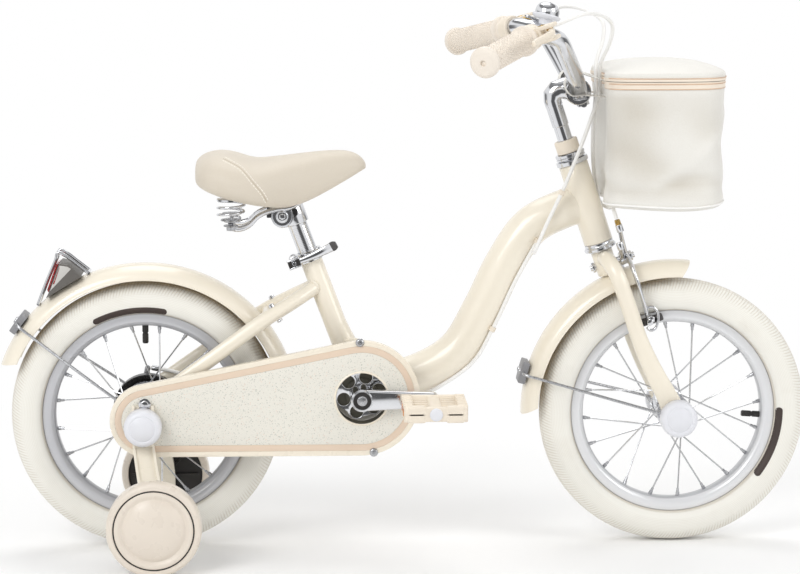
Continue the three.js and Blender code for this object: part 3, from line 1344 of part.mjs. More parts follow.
function saddleUndercarriage() {
  const springX = saddleRear + springAhead;
  const top = springSeatHeight + springHeight;
  const spring = (side) => {
    const steps = 8 * springCurls;
    const turns = Array.from({ length: steps + 1 }, (_, i) => {
      const angle = (i * 2 * Math.PI) / 8;
      return v3(springX + springRadius * Math.cos(angle), side * springSpread + springRadius * Math.sin(angle),
        springSeatHeight + (springHeight * i) / steps);
    });
    return sweep(turns, () => roundSection(springWireRadius, 4), AXIS_Z);
  };
  const seatPlate = (side, z) => rod(v3(springX, side * springSpread, z - springWireRadius),
    v3(springX, side * springSpread, z + springWireRadius), springRadius + springWireRadius, 8);
  const bolt = (side) => rod(v3(springX, side * springSpread, springSeatHeight - springRadius * 0.9),
    v3(springX, side * springSpread, springSeatHeight), railRadius * 1.5, 6);
  const rail = (side) => tube([
    v3(springX, side * springSpread, springSeatHeight - springWireRadius - railRadius),
    v3(springX + springRadius * 1.4, side * springSpread * 0.85, springSeatHeight - springRadius * 0.8),
    saddleClamp.clone().add(v3(-saddleClampRadius * 1.4, side * saddleClampWidth * 0.42, 0)),
    saddleClamp.clone().add(v3(saddleClampRadius, side * saddleClampWidth * 0.4, 0)),
    saddleClamp.clone().add(v3(saddleLength * 0.26, side * saddleClampWidth * 0.2, springHeight * 1.05)),
    saddleClamp.clone().add(v3(saddleLength * 0.34, 0, springHeight * 1.45)),
  ], railRadius, 5, 9);
  const disc = rod(saddleClamp.clone().setY(-half(saddleClampWidth)),
    saddleClamp.clone().setY(half(saddleClampWidth)), saddleClampRadius, tubeSides);
  const rearBar = rod(v3(springX, -springSpread, springSeatHeight - springWireRadius - railRadius),
    v3(springX, springSpread, springSeatHeight - springWireRadius - railRadius), railRadius, 6);
  const collarFrom = onSeat(v3(0, 0, postTop - springHeight));
  const collarTo = onSeat(v3(0, 0, postTop - gap));
  const collar = rod(collarFrom, collarTo, postRadius + railRadius, tubeSides);
  const postHole = drill(onSeat(v3(0, 0, postTop - springHeight - overrun * 2)),
    onSeat(v3(0, 0, postTop + overrun)), postRadius + gap, tubeSides + 4);
  const pieces = [RIGHT, LEFT].flatMap((side) =>
    [spring(side), seatPlate(side, springSeatHeight), seatPlate(side, top), bolt(side), rail(side)]);
  return cut(join(disc, rearBar, collar, ...pieces), postHole);
}
add('saddle_undercarriage', saddleUndercarriage(), chrome);

add('seat_post', upright(turned([
  [0, postInsertion], [postRadius, postInsertion], [postRadius, postTop - gap], [0, postTop - gap],
], tubeSides + 4)), chrome, seat);

// The collar's split ears and bolt are behind the seat tube, and its lever lies along the right side.
const seatCollarBottom = seatTubeLength + seatCollarTop - seatCollarHeight;
const seatLeverPivot = v3(-seatTubeRadius - seatCollarWall * 2, -seatTubeRadius - seatLeverThickness * 1.4,
  seatCollarBottom + half(seatCollarHeight));

function seatCollar() {
  const outer = seatTubeRadius + seatCollarWall;
  const ring = rod(v3(0, 0, seatCollarBottom), v3(0, 0, seatTubeLength + seatCollarTop), outer, tubeSides + 4);
  const ears = block(v3(seatLeverPivot.x - seatCollarWall * 1.5, -half(seatTubeRadius), seatCollarBottom),
    v3(-seatTubeRadius, half(seatTubeRadius), seatTubeLength + seatCollarTop));
  const bolt = rod(v3(seatLeverPivot.x, seatLeverPivot.y + half(seatLeverThickness) + gap, seatLeverPivot.z),
    v3(seatLeverPivot.x, seatTubeRadius, seatLeverPivot.z), half(seatLeverWidth) * 0.6, 8);
  const tubeBore = drill(v3(0, 0, seatCollarBottom - overrun), v3(0, 0, seatTubeLength + gap),
    seatTubeRadius + gap, tubeSides + 4);
  const postBore = drill(v3(0, 0, seatCollarBottom), v3(0, 0, seatTubeLength + seatCollarTop + overrun),
    postRadius + gap, tubeSides + 4);
  return cut(join(ring, ears, bolt), tubeBore, postBore);
}

function seatLever() {
  const from = seatLeverPivot;
  const path = smoothPath([
    from.clone().add(v3(-half(seatLeverWidth), 0, 0)), from.clone().add(v3(half(seatLeverWidth), 0, 0)),
    from.clone().add(v3(seatLeverLength * 0.6, 0, 0)),
    from.clone().add(v3(seatLeverLength, -seatLeverThickness, 0)),
  ], 6);
  return sweep(path, () => flatSection(seatLeverThickness, seatLeverWidth), AXIS_Y);
}
add('seat_collar', seatCollar(), blackSteel, seat);
add('seat_collar_lever', seatLever(), chrome, seat);

// Bag: an open shell with a concave back that clears the stem, and a domed lid

const barPlace = onSteering(barSeat);
const bagBack = barPlace.x + bagAhead;
const bagBottom = barPlace.z - bagBelow;
const bagPlanShares = [
  [0, 0], [-0.05, 0.34], [-0.15, 0.62], [-0.165, 0.82], [-0.09, 0.95], [0.08, 1], [0.5, 1], [0.78, 0.96],
  [0.92, 0.83], [0.98, 0.6], [1, 0.3], [1, 0],
];

function bagRing(z, inset) {
  const depth = bagDepth - 2 * inset;
  const wide = bagHalfWidth - inset;
  const wing = bagWingReach / bagDepth / 0.165;
  const side = bagPlanShares.map(([x, y]) => [
    bagBack + inset + depth * (x < 0 ? x * wing : x), wide * y]);
  const mirrored = side.slice(1, -1).reverse().map(([x, y]) => [x, -y]);
  return [...side, ...mirrored].map(([x, y]) => v3(x, y, z));
}
const bagTop = bagBottom + bagHeight;

function bagBody() {
  const shell = skin([
    bagRing(bagBottom, bagEdgeRound), bagRing(bagBottom + bagEdgeRound * 0.35, bagEdgeRound * 0.3),
    bagRing(bagBottom + bagEdgeRound * 1.3, 0), bagRing(bagTop, 0),
  ]);
  const room = skin([
    bagRing(bagBottom + bagWall, bagEdgeRound + bagWall), bagRing(bagBottom + bagEdgeRound * 1.5, bagWall),
    bagRing(bagTop + overrun, bagWall),
  ]);
  const strap = (side) => {
    const bar = onSteering(v3(barSeat.x * 0.98, side * stemClampWidth * 1.3, barSeat.z + barRise * 0.13));
    return block(v3(bar.x + barRadius * 1.4, side * strapSpread - half(strapWidth), bar.z - half(strapThickness)),
      v3(bagBack - half(bagWall), side * strapSpread + half(strapWidth), bar.z + half(strapThickness)));
  };
  return join(cut(shell, room), strap(RIGHT), strap(LEFT));
}

function bagLid() {
  const base = bagTop + gap;
  return skin([
    bagRing(base, 0), bagRing(base + lidRim, 0), bagRing(base + lidRim + lidCrown * 0.55, bagEdgeRound * 1.6),
    bagRing(base + lidRim + lidCrown, bagEdgeRound * 4),
  ]);
}
add('bag_body', bagBody(), bagLeather);
add('bag_lid', bagLid(), bagLeather);

// Front brake: two arms that cross at the bolt in the fork crown
const padPlane = half(rimWidth) + padGap;
const brakeTrack = half(rimRadius + rimInside) + gap;

const caliperCableRise = caliperRise + caliperLongRise + adjusterLength * 0.8;

function caliperArm(side, layer) {
  const x = caliperAhead + layer * (caliperArmThickness + gap);
  const mid = x + half(caliperArmThickness);
  const padRise = Math.sqrt(brakeTrack ** 2 - (mid - forkRake) ** 2);
  const armOut = fenderHalfWidth + caliperArmWidth;
  const upper = side === RIGHT
    ? [-armOut * 0.85, caliperRise + caliperLongRise] : [-armOut * 0.9, caliperRise + caliperShortRise];
  const at = (y, z) => v3(mid, y, z);
  const section = (width) => flatSection(caliperArmThickness, width);
  const lower = smoothPath([at(side * (padPlane + half(padThickness)), padRise),
    at(side * armOut * 0.96, half(padRise + caliperRise) - caliperArmWidth),
    at(side * armOut, caliperRise - caliperArmWidth * 1.8), at(side * armOut * 0.62, caliperRise - weldDepth),
    at(0, caliperRise)], 8);
  const raised = smoothPath([at(0, caliperRise), at(half(upper[0]), caliperRise + half(upper[1] - caliperRise)
    * (side === RIGHT ? 1.2 : 0.8)), at(upper[0], upper[1])], 4);
  const boss = rod(v3(x, 0, caliperRise), v3(x + caliperArmThickness, 0, caliperRise), caliperArmWidth * 0.8, 10);
  const bore = drill(v3(x - overrun, 0, caliperRise), v3(x + caliperArmThickness + overrun, 0, caliperRise),
    caliperBoltRadius + gap, 10);
  const padFrom = side * padPlane;
  const padTo = side * (padPlane + padThickness);
  const pad = block(v3(mid - half(padLength), Math.min(padFrom, padTo), padRise - half(padHeight)),
    v3(mid + half(padLength), Math.max(padFrom, padTo), padRise + half(padHeight)));
  const adjuster = rod(at(upper[0], upper[1] - weldDepth), at(upper[0], caliperCableRise - 2 * gap),
    adjusterRadius, 8);
  const holder = side === RIGHT ? [adjuster] : [];
  return join(cut(join(...holder, sweep(lower, () => section(caliperArmWidth), v3(1, 0, 0)),
    sweep(raised, () => section(caliperArmWidth * 0.8), v3(1, 0, 0)), boss), bore), pad);
}

const caliperCableEnd = onSteering(v3(caliperAhead + 1.5 * caliperArmThickness + gap,
  -(fenderHalfWidth + caliperArmWidth) * 0.85, caliperCableRise));

function caliperBolt() {
  const front = caliperAhead + 2 * (caliperArmThickness + gap) + gap;
  const shank = rod(v3(-crownRadius - nutHeight, 0, caliperRise), v3(front + nutHeight, 0, caliperRise),
    caliperBoltRadius, 10);
  const frontNut = rod(v3(front, 0, caliperRise), v3(front + half(nutHeight), 0, caliperRise), nutRadius * 0.8, 6);
  const rearNut = rod(v3(-crownRadius - gap, 0, caliperRise), v3(-crownRadius - gap - half(nutHeight), 0,
    caliperRise), nutRadius * 0.8, 6);
  return join(shank, frontNut, rearNut);
}
add('caliper_arm_right', caliperArm(RIGHT, 1), chrome, steering);
add('caliper_arm_left', caliperArm(LEFT, 0), chrome, steering);
add('caliper_bolt', caliperBolt(), chrome, steering);

// Brake cables

// A place for a cable against the main tube, turned from the tube's right side towards its underside.
function besideMainTube(share, turn) {
  const step = Math.round(share * (mainTubePath.length - 1));
  const ahead = mainTubePath[step + 1].clone().sub(mainTubePath[step - 1]).normalize();
  const away = mainTubeRadius(share) + cableRadius + 2 * gap;
  const down = away * Math.sin(THREE.MathUtils.degToRad(turn));
  const right = away * Math.cos(THREE.MathUtils.degToRad(turn));
  return mainTubePath[step].clone().add(v3(ahead.z * down, -right, -ahead.x * down));
}

const cableDrop = mainTubeFootRadius + cableRadius + gap * 4;
const bagBehind = bagBack - bagWall - cableRadius * 3.2;
const cableStart = (side, ahead = gap) =>
  onSteering(adjusterFoot(side).addScaledVector(adjusterWay(side), adjusterLength + ahead));
const handRoute = (points) => points.map(([x, y, z]) => v3(x, y, z));
const barRoute = (points) => points.map(([x, y, z]) => barPlace.clone().add(v3(x, y, z)));
const fromLever = (side) => [
  cableStart(side),
  cableStart(side, half(adjusterLength)),
  cableStart(side, adjusterLength * 1.6).add(v3(half(adjusterLength), 0, adjusterLength * 0.2)),
  cableStart(side, adjusterLength * 3).add(v3(adjusterLength, 0, adjusterLength * 0.35)),
  v3(bagBack, side * bagHalfWidth * 0.48, cableStart(side).z - adjusterLength * 0.1),
  v3(bagBack, side * bagHalfWidth * 0.36, cableStart(side).z - adjusterLength * 1.4),
  v3(bagBehind, side * strapSpread * 0.62, bagTop + adjusterLength),
  v3(bagBehind, side * strapSpread * 0.52, bagTop - adjusterLength),
];
const rearCableRoute = [
  ...fromLever(RIGHT),
  ...barRoute([[13.55, -26, -37.86], [-0.45, -31, -73.86], [-12.45, -32, -113.86]]),
  ...[[0.92, 20], [0.82, 38], [0.68, 42], [0.54, 44], [0.4, 46], [0.28, 50]]
    .map(([share, turn]) => besideMainTube(share, turn)),
  bracket.clone().add(v3(bracketShellRadius * 1.6, -half(bracketShellRadius), -cableDrop)),
  bracket.clone().add(v3(half(bracketShellRadius), bracketShellRadius, -cableDrop)),
  ...handRoute([
    [272, 46, 188], [235, 52, 204], [170, 47, 208], [110, 47, 206], [62, 45, 212], [34, 46, 222],
  ]),
  brakeArmTip.clone().add(v3(half(brakeArmWidth) * 0.8 + 2 * gap, half(brakeArmThickness), 0)),
];
const frontCableRoute = [
  ...fromLever(LEFT),
  ...barRoute([
    [23.55, 19, -43.86], [23.55, 20, -83.86], [27.55, 25, -119.86], [33.55, 22, -145.86],
    [42.55, 6, -151.86], [46.55, -14, -148.86], [45.55, -31, -151.86],
  ]),
  caliperCableEnd,
];
const cableSides = 6;
add('rear_brake_cable', tube(rearCableRoute, cableRadius, cableSides, 44), whitePlastic);
add('front_brake_cable', tube(frontCableRoute, cableRadius, cableSides, 24), whitePlastic);

export default bike;
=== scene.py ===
# %% [markdown]
# A small bike for a child, with training wheels, painted ivory cream.
# The solid model of the bike is loaded first. It is a fixed frame: every piece made here is placed by the
# same measures, so nothing has to be fitted by eye.
# Pieces are modelled in millimetres, which are easy to read, and scaled to metres once, when they are done.

# %% Load the frame
import json
import math

import bmesh
import bpy
from mathutils import Matrix, Vector

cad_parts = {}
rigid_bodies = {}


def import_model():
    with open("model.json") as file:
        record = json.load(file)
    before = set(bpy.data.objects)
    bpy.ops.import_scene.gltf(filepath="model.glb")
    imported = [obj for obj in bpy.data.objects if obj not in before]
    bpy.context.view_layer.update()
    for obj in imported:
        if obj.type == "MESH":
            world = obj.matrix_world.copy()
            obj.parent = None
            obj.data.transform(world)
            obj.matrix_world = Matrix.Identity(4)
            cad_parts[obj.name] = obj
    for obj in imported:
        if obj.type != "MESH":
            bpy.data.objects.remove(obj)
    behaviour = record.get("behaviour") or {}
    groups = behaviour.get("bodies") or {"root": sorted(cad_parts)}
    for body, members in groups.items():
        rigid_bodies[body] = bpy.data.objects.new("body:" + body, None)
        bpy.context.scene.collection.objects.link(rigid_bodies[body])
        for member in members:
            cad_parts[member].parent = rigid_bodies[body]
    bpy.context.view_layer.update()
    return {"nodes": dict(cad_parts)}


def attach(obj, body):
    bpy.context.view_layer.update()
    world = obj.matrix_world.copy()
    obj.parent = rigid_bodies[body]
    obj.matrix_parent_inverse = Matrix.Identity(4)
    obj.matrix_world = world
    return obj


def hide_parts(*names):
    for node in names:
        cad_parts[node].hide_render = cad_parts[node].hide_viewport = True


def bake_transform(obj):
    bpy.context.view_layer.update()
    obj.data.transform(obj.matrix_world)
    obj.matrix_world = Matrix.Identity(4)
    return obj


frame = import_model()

MILLIMETRE = 0.001
FULL_TURN = 2 * math.pi
X, Y, Z = Vector((1, 0, 0)), Vector((0, 1, 0)), Vector((0, 0, 1))
RIGHT, LEFT = -1, 1
SIDES = (RIGHT, LEFT)
NAMED_SIDES = ((RIGHT, "right"), (LEFT, "left"))

# %% [markdown]
# The camera stands where the photographer stood: low, a little over three metres off, level with the top
# of the bike and turned slightly to the right. A long lens keeps both wheels round.
# The two angles could be set by eye. They were worked out from the places of the wheels instead.

# %% Camera
CAMERA_YAW, CAMERA_PITCH = math.radians(2.6), math.radians(8.5)
SENSOR_WIDTH, PICTURE_WIDTH, FOCAL_PIXELS = 36, 800, 2516.4
camera_data = bpy.data.cameras.new("photo_camera")
camera_data.sensor_width = SENSOR_WIDTH
camera_data.lens = FOCAL_PIXELS / PICTURE_WIDTH * SENSOR_WIDTH
camera_data.clip_end = 60
camera = bpy.data.objects.new("photo_camera", camera_data)
camera.location = (0.1842, -3.2386, 0.8243)
camera.rotation_euler = (math.pi / 2 - CAMERA_PITCH, 0, -CAMERA_YAW)
bpy.context.scene.collection.objects.link(camera)
bpy.context.scene.camera = camera
print("camera lens:", round(camera_data.lens, 1), "mm")

# %% [markdown]
# A material is a small graph of nodes. Written as plain sums it stays readable, so one class wraps a
# socket and turns + - * / into Math nodes, and another one holds the material and adds every other node.
# The colours are written as a monitor shows them and changed to linear light once.

# %% A socket that can be used in sums
class Value:
    """A socket of a material that works in plain sums."""

    def __init__(self, finish, socket):
        self.finish = finish
        self.socket = socket

    def sum(self, kind, *others):
        inputs = dict(enumerate((self, *others)))
        return self.finish.add("ShaderNodeMath", {"operation": kind}, inputs)

    def __add__(self, other):
        return self.sum("ADD", other)

    def __radd__(self, other):
        return self.sum("ADD", other)

    def __sub__(self, other):
        return self.sum("SUBTRACT", other)

    def __rsub__(self, other):
        return self.finish.add("ShaderNodeMath", {"operation": "SUBTRACT"}, {0: other, 1: self})

    def __mul__(self, other):
        return self.sum("MULTIPLY", other)

    def __rmul__(self, other):
        return self.sum("MULTIPLY", other)

    def __truediv__(self, other):
        return self.sum("DIVIDE", other)

    def __abs__(self):
        return self.sum("ABSOLUTE")

    def sine(self):
        return self.sum("SINE")

    def least(self, other):
        return self.sum("MINIMUM", other)

    def most(self, other):
        return self.sum("MAXIMUM", other)

    def step(self, low, high):
        """Goes softly from 0 at low to 1 at high, and the other way round where high is the smaller one."""
        if low > high:
            return 1 - self.step(high, low)
        return self.finish.add("ShaderNodeMapRange", {"interpolation_type": "SMOOTHSTEP"},
                               {"Value": self, "From Min": low, "From Max": high})


def linear(colour):
    """A colour of 0 to 255 as linear light."""
    return tuple((c / 255 / 12.92 if c < 11 else ((c / 255 + 0.055) / 1.055) ** 2.4) for c in colour) + (1,)


# %% [markdown]
# A finish is one material. It starts from the standard shader, which covers paint, metal and plastic alike,
# and takes its colour and gloss from plain numbers. Without this class every material would repeat the same
# lines for adding and linking nodes.

# %% A material with its nodes
class Finish:
    """A material: its shader, and one method that adds any node."""

    def __init__(self, name, colour, roughness, **constants):
        self.material = bpy.data.materials.new(name)
        self.material.use_nodes = True
        self.tree = self.material.node_tree
        self.shader = self.tree.nodes["Principled BSDF"]
        self.colour = linear(colour)
        self.set("Base Color", self.colour)
        self.set("Roughness", roughness)
        for key, value in constants.items():
            self.set(key.replace("_", " "), value)
        self.material.diffuse_color = self.colour
        self.place = self.add("ShaderNodeTexCoord", {}, {}, "Object")

    def feed(self, socket, value):
        if isinstance(value, Value):
            self.tree.links.new(value.socket, socket)
        else:
            socket.default_value = value

    def set(self, name, value):
        self.feed(self.shader.inputs[name], value)

    def add(self, kind, settings, inputs, output=0):
        node = self.tree.nodes.new(kind)
        for key, value in settings.items():
            setattr(node, key, value)
        for key, value in inputs.items():
            self.feed(node.inputs[key], value)
        return Value(self, node.outputs[output])

    def noise(self, scale, detail=3, place=None):
        inputs = {"Vector": place or self.place, "Scale": scale, "Detail": detail}
        return self.add("ShaderNodeTexNoise", {}, inputs)

    def cells(self, scale, feature="DISTANCE_TO_EDGE", place=None):
        inputs = {"Vector": place or self.place, "Scale": scale}
        return self.add("ShaderNodeTexVoronoi", {"feature": feature}, inputs)

    def axes(self):
        return [self.add("ShaderNodeSeparateXYZ", {}, {0: self.place}, axis) for axis in range(3)]

    def blend(self, factor, first, second):
        return self.add("ShaderNodeMix", {"data_type": "RGBA"}, {0: factor, 6: first, 7: second}, 2)

    def vary(self, amount, scale, toward=(120, 100, 80)):
        """Drifts the colour a little, as in paint, plastic and leather that has been handled."""
        drift = self.noise(scale, 4).step(0.42, 0.78) * amount
        self.set("Base Color", self.blend(drift, self.colour, linear(toward)))

    def bump(self, height, strength, distance=0.001):
        self.set("Normal", self.add("ShaderNodeBump", {}, {"Height": height, "Strength": strength,
                                                           "Distance": distance}))


# %% [markdown]
# The cream paint is a thick gloss enamel under a clear coat. Real enamel isn't a mirror: it has a faint
# orange peel, so a shallow bump breaks up its highlights, and its colour drifts a touch.

# %% Cream paint
cream_paint = Finish("cream_enamel", (239, 231, 214), 0.3, Coat_Weight=0.55, Coat_Roughness=0.06)
cream_paint.vary(0.05, 9)
cream_paint.bump(cream_paint.noise(420, 2), 0.05, 0.0006)
# A darker brown cream is painted shade: it colours a thin lining inside each fender, where the fender is in
# shade.
painted_shade_lining_paint = Finish("cream_underside", (162, 142, 106), 0.6)
painted_shade_lining_paint.vary(0.2, 12)
painted_shade_lining_paint.bump(painted_shade_lining_paint.noise(260, 3), 0.12, 0.0006)
print("finish:", cream_paint.material.name)


# %% [markdown]
# Moulded plastic parts differ in colour and gloss, yet all have a fine spark-eroded grain from the mould.
# One function makes them, and each call gives its colour, its roughness and how coarse the grain is.

# %% Moulded plastics
def plastic(name, colour, roughness, grain=900, strength=0.12, drift=0.06):
    finish = Finish(name, colour, roughness)
    finish.vary(drift, 18)
    finish.bump(finish.noise(grain, 2), strength, 0.0004)
    finish.set("Roughness", finish.noise(60, 2).step(0.2, 0.8) * 0.1 + (roughness - 0.05))
    return finish


beige_plastic = plastic("beige_moulding", (233, 222, 205), 0.38)
beige_rubber = plastic("beige_rubber", (234, 225, 213), 0.58, 1500, 0.22)
wheel_plastic = plastic("wheel_moulding", (224, 214, 201), 0.3, 500, 0.04, 0.015)
white_plastic = plastic("white_moulding", (225, 226, 231), 0.34, 700, 0.06, 0.02)
grey_plastic = plastic("grey_moulding", (134, 134, 137), 0.42, 900, 0.2)
dark_plastic = plastic("black_moulding", (30, 28, 27), 0.4, 900, 0.2)
housing_grey = plastic("housing_grey", (98, 95, 91), 0.42, 900, 0.2)
housing_pale = plastic("housing_pale", (196, 194, 190), 0.34, 900, 0.1)
grey_rubber = plastic("dark_grey_rubber", (74, 72, 72), 0.6, 1500, 0.25)
guard_cream = plastic("guard_cream_edge", (240, 231, 214), 0.28, 300, 0.05)
guard_tan = plastic("guard_tan_band", (226, 205, 184), 0.36, 300, 0.05)
cable_white = plastic("cable_housing", (240, 239, 236), 0.34, 500, 0.06, 0.03)
print("plastics made")

# %% [markdown]
# The panel of the chain guard is pale, with small soft flecks. Cells of two sizes give the flecks, and a
# second mask drops most of them, so that they look scattered and not like a grid.

# %% Flecked panel
guard_panel = Finish("guard_flecked_panel", (230, 227, 217), 0.3)
fleck = guard_panel.cells(430, "F1").step(0.36, 0.16) * guard_panel.noise(210, 1).step(0.4, 0.54)
warm = guard_panel.cells(360, "F1").step(0.34, 0.14) * guard_panel.noise(170, 1).step(0.5, 0.62)
speck = guard_panel.cells(900, "F1").step(0.3, 0.12) * guard_panel.noise(420, 1).step(0.44, 0.58)
warmed = guard_panel.blend(warm * 0.62, guard_panel.colour, linear((224, 196, 176)))
flecked = guard_panel.blend(fleck.most(speck) * 0.66, warmed, linear((156, 160, 150)))
guard_panel.set("Base Color", flecked)
guard_panel.bump(guard_panel.noise(300, 2), 0.05, 0.0005)
print("finish:", guard_panel.material.name)


# %% [markdown]
# Bare metals: chrome on the stem, bar, post and cranks, zinc on nuts and springs, brass on the adjusters,
# and black lacquer on the brake. They share a function that gives each of them its own fine grain.

# %% Metals
def metal(name, colour, roughness, scale=300, strength=0.05, metallic=1.0):
    finish = Finish(name, colour, roughness, Metallic=metallic)
    grain = finish.noise(scale, 3)
    finish.set("Roughness", grain.step(0.25, 0.8) * (roughness * 0.6) + roughness * 0.7)
    finish.set("Base Color", finish.blend(finish.noise(40, 3).step(0.35, 0.75) * 0.18, finish.colour,
                                          linear(tuple(c * 0.82 for c in colour))))
    finish.bump(grain, strength, 0.0003)
    return finish


chrome = metal("chrome_plate", (222, 223, 226), 0.09, scale=180, strength=0.02)
steel = metal("zinc_plate", (186, 187, 190), 0.3, scale=240, strength=0.08)
spring_steel = metal("spring_wire", (120, 120, 124), 0.24, scale=240, strength=0.08)
spoke_steel = metal("spoke_wire", (205, 206, 208), 0.2, scale=500, strength=0.03)
brass = metal("brass", (198, 168, 104), 0.26, scale=240, strength=0.06)
black_steel = metal("black_lacquer", (26, 25, 26), 0.32, scale=200, strength=0.08, metallic=0.0)
olive_steel = metal("grey_olive_backing", (92, 90, 80), 0.42, scale=200, strength=0.08, metallic=0.3)
print("metals made")


# %% [markdown]
# Rims and tyres are round about their axle, so their patterns are too. The place on the surface is given
# as a distance from the axle and an angle around it. The rim gets fine turned lines, and the tyre gets a
# tread with slanted cuts that reach far into its side, and fine circles below them.

# %% Round patterns about an axle
def around(finish, axle_x, axle_z):
    """The distance from the axle, the angle about it, and the distance from the middle plane."""
    x, y, z = finish.axes()
    across, up = x - axle_x, z - axle_z
    distance = (across * across + up * up).sum("POWER", 0.5)
    return distance, up.sum("ARCTAN2", across), abs(y)


def rim_finish(name, axle_x, axle_z, colour):
    finish = Finish(name, colour, 0.32, Metallic=0.3)
    distance = around(finish, axle_x, axle_z)[0]
    lines = (distance * 9000).sine() * 0.5 + finish.noise(600, 2) * 0.2
    finish.bump(lines, 0.04, 0.0002)
    # Both edges of the rim are darkened as painted shade: where it meets the tyre and at its inner lip.
    edge = distance.step(0.1326, 0.1336) + distance.step(0.1196, 0.1184)
    finish.set("Base Color", finish.blend(edge.least(1.0) * 0.5, finish.colour, linear((150, 151, 156))))
    return finish


def tyre_finish(name, axle_x, axle_z):
    """Slanted cuts run from the tread into the side, and fine lines circle the side below them."""
    finish = Finish(name, (238, 236, 228), 0.62)
    distance, angle, side = around(finish, axle_x, axle_z)
    cuts = (angle * 260 + distance * 700).sine().step(0.15, 0.75)
    on_side = distance.step(0.1585, 0.1665)
    on_tread = distance.step(0.1705, 0.1725)
    ribs = (side * 1500).sine().step(0.2, 0.7) * on_tread
    circles = (distance * 3100).sine().step(0.2, 0.8) * distance.step(0.142, 0.146)
    circles = circles * distance.step(0.164, 0.160)
    foot = distance.step(0.1372, 0.1352)
    sunk = (cuts * on_side).most(ribs)
    finish.bump(1 - sunk - circles * 0.25 - foot * 0.5 + finish.noise(900, 2) * 0.1, 0.45, 0.001)
    drift = finish.noise(24, 5).step(0.5, 0.8) * 0.1
    # The cuts, the ribs and the circles are darkened as painted shade in their grooves, and a ring at the
    # foot by the rim as a painted shadow; the drift adds tone that differs at random.
    shade = sunk * 0.3 + circles * 0.12 + foot * 0.4 + drift
    finish.set("Base Color", finish.blend(shade.least(1.0), finish.colour, linear((182, 164, 138))))
    return finish


# The two rims are the same alloy. The rear one is given a darker grey as painted shade.
rear_rim_metal_in_painted_shade = rim_finish("rear_rim_alloy_in_painted_shade", 0.0, 0.175, (200, 201, 205))
front_rim_metal = rim_finish("front_rim_alloy", 0.689, 0.175, (228, 229, 231))
rear_tyre_rubber = tyre_finish("rear_tyre_rubber", 0.0, 0.175)
front_tyre_rubber = tyre_finish("front_tyre_rubber", 0.689, 0.175)
tyre_label = plastic("tyre_dark_patch", (62, 50, 46), 0.5, 1200, 0.2)
print("round patterns made")


# %% [markdown]
# The saddle and the bag are covered in leatherette. Its grain is made of small cells with soft creases
# between them, over a slower swell. The colour is a little deeper in the creases, as painted shade, and
# the bag is darker in its dents, as painted shade too.

# %% Leatherette
def leather(name, colour, grain, crease, roughness, relief):
    finish = Finish(name, colour, roughness, Sheen_Weight=0.08)
    bent = finish.add("ShaderNodeVectorMath", {"operation": "MULTIPLY_ADD"},
                      {0: finish.add("ShaderNodeTexNoise", {}, {"Vector": finish.place, "Scale": 160.0}, 1),
                       1: (0.0016, 0.0016, 0.0016), 2: finish.place})
    pebbles = finish.cells(grain, "DISTANCE_TO_EDGE", bent).step(0.0, 0.22)
    swell = finish.noise(46, 3)
    finish.bump(pebbles * 0.7 + swell * 0.8 + finish.noise(grain * 3, 2) * 0.15, relief, 0.0006)
    # The creases of the grain are darkened as painted shade, and a slow noise adds tone that differs at
    # random.
    crease_shade_and_drift = (1 - pebbles) * 0.14 + finish.noise(12, 4).step(0.5, 0.85) * 0.1
    # The value kept on the bag's points darkens its dents as painted shade.
    folds = finish.add("ShaderNodeAttribute", {"attribute_name": "painted_fold_shade"}, {}, 2)
    shade = (crease_shade_and_drift + folds.least(1.0)).least(1.0)
    finish.set("Base Color", finish.blend(shade, finish.colour, linear(crease)))
    finish.set("Roughness", pebbles * -0.08 + (roughness + 0.06))
    return finish


saddle_leather = leather("saddle_leatherette", (214, 205, 190), 760, (186, 170, 148), 0.46, 0.2)
bag_leather = leather("bag_leatherette", (231, 229, 223), 700, (192, 184, 168), 0.46, 0.16)
thread = plastic("sewing_thread", (249, 244, 235), 0.7, 2400, 0.4)
# The seam shade colours a thin cord that is painted shade in the saddle's seam groove.
seam_shade = plastic("seam_shade", (184, 168, 146), 0.7, 2400, 0.3)
zip_tape = plastic("zip_tape", (238, 226, 210), 0.7, 2400, 0.5)
zip_metal = metal("copper_zip", (218, 186, 158), 0.4, scale=900, strength=0.2, metallic=0.4)
white_piping = plastic("white_piping", (245, 244, 241), 0.4, 1500, 0.15, 0.03)
print("leatherette made")

# %% [markdown]
# The tail reflector is a red lens over a field of tiny prisms. A grid of cells stands for the prisms.

# %% Red lens
red_lens = Finish("red_prism_lens", (186, 26, 24), 0.12, Coat_Weight=0.6, Transmission_Weight=0.25)
prisms = red_lens.cells(420, "DISTANCE_TO_EDGE")
red_lens.bump(prisms.step(0.0, 0.35), 0.5, 0.0008)
red_lens.set("Base Color", red_lens.blend(prisms.step(0.0, 0.2), linear((120, 10, 12)), red_lens.colour))
amber_lens = Finish("amber_prism_lens", (226, 138, 34), 0.14, Coat_Weight=0.6)
facets = amber_lens.cells(420, "DISTANCE_TO_EDGE")
amber_lens.bump(facets.step(0.0, 0.35), 0.5, 0.0008)
amber_lens.set("Base Color", amber_lens.blend(facets.step(0.0, 0.2), linear((176, 88, 16)),
                                              amber_lens.colour))
print("finish:", red_lens.material.name)

# %% [markdown]
# The solid model's own nodes get these finishes through their material slots. Most of them are replaced by
# rounder pieces below, and the ones that stay, such as flat plates, are finished just as carefully.

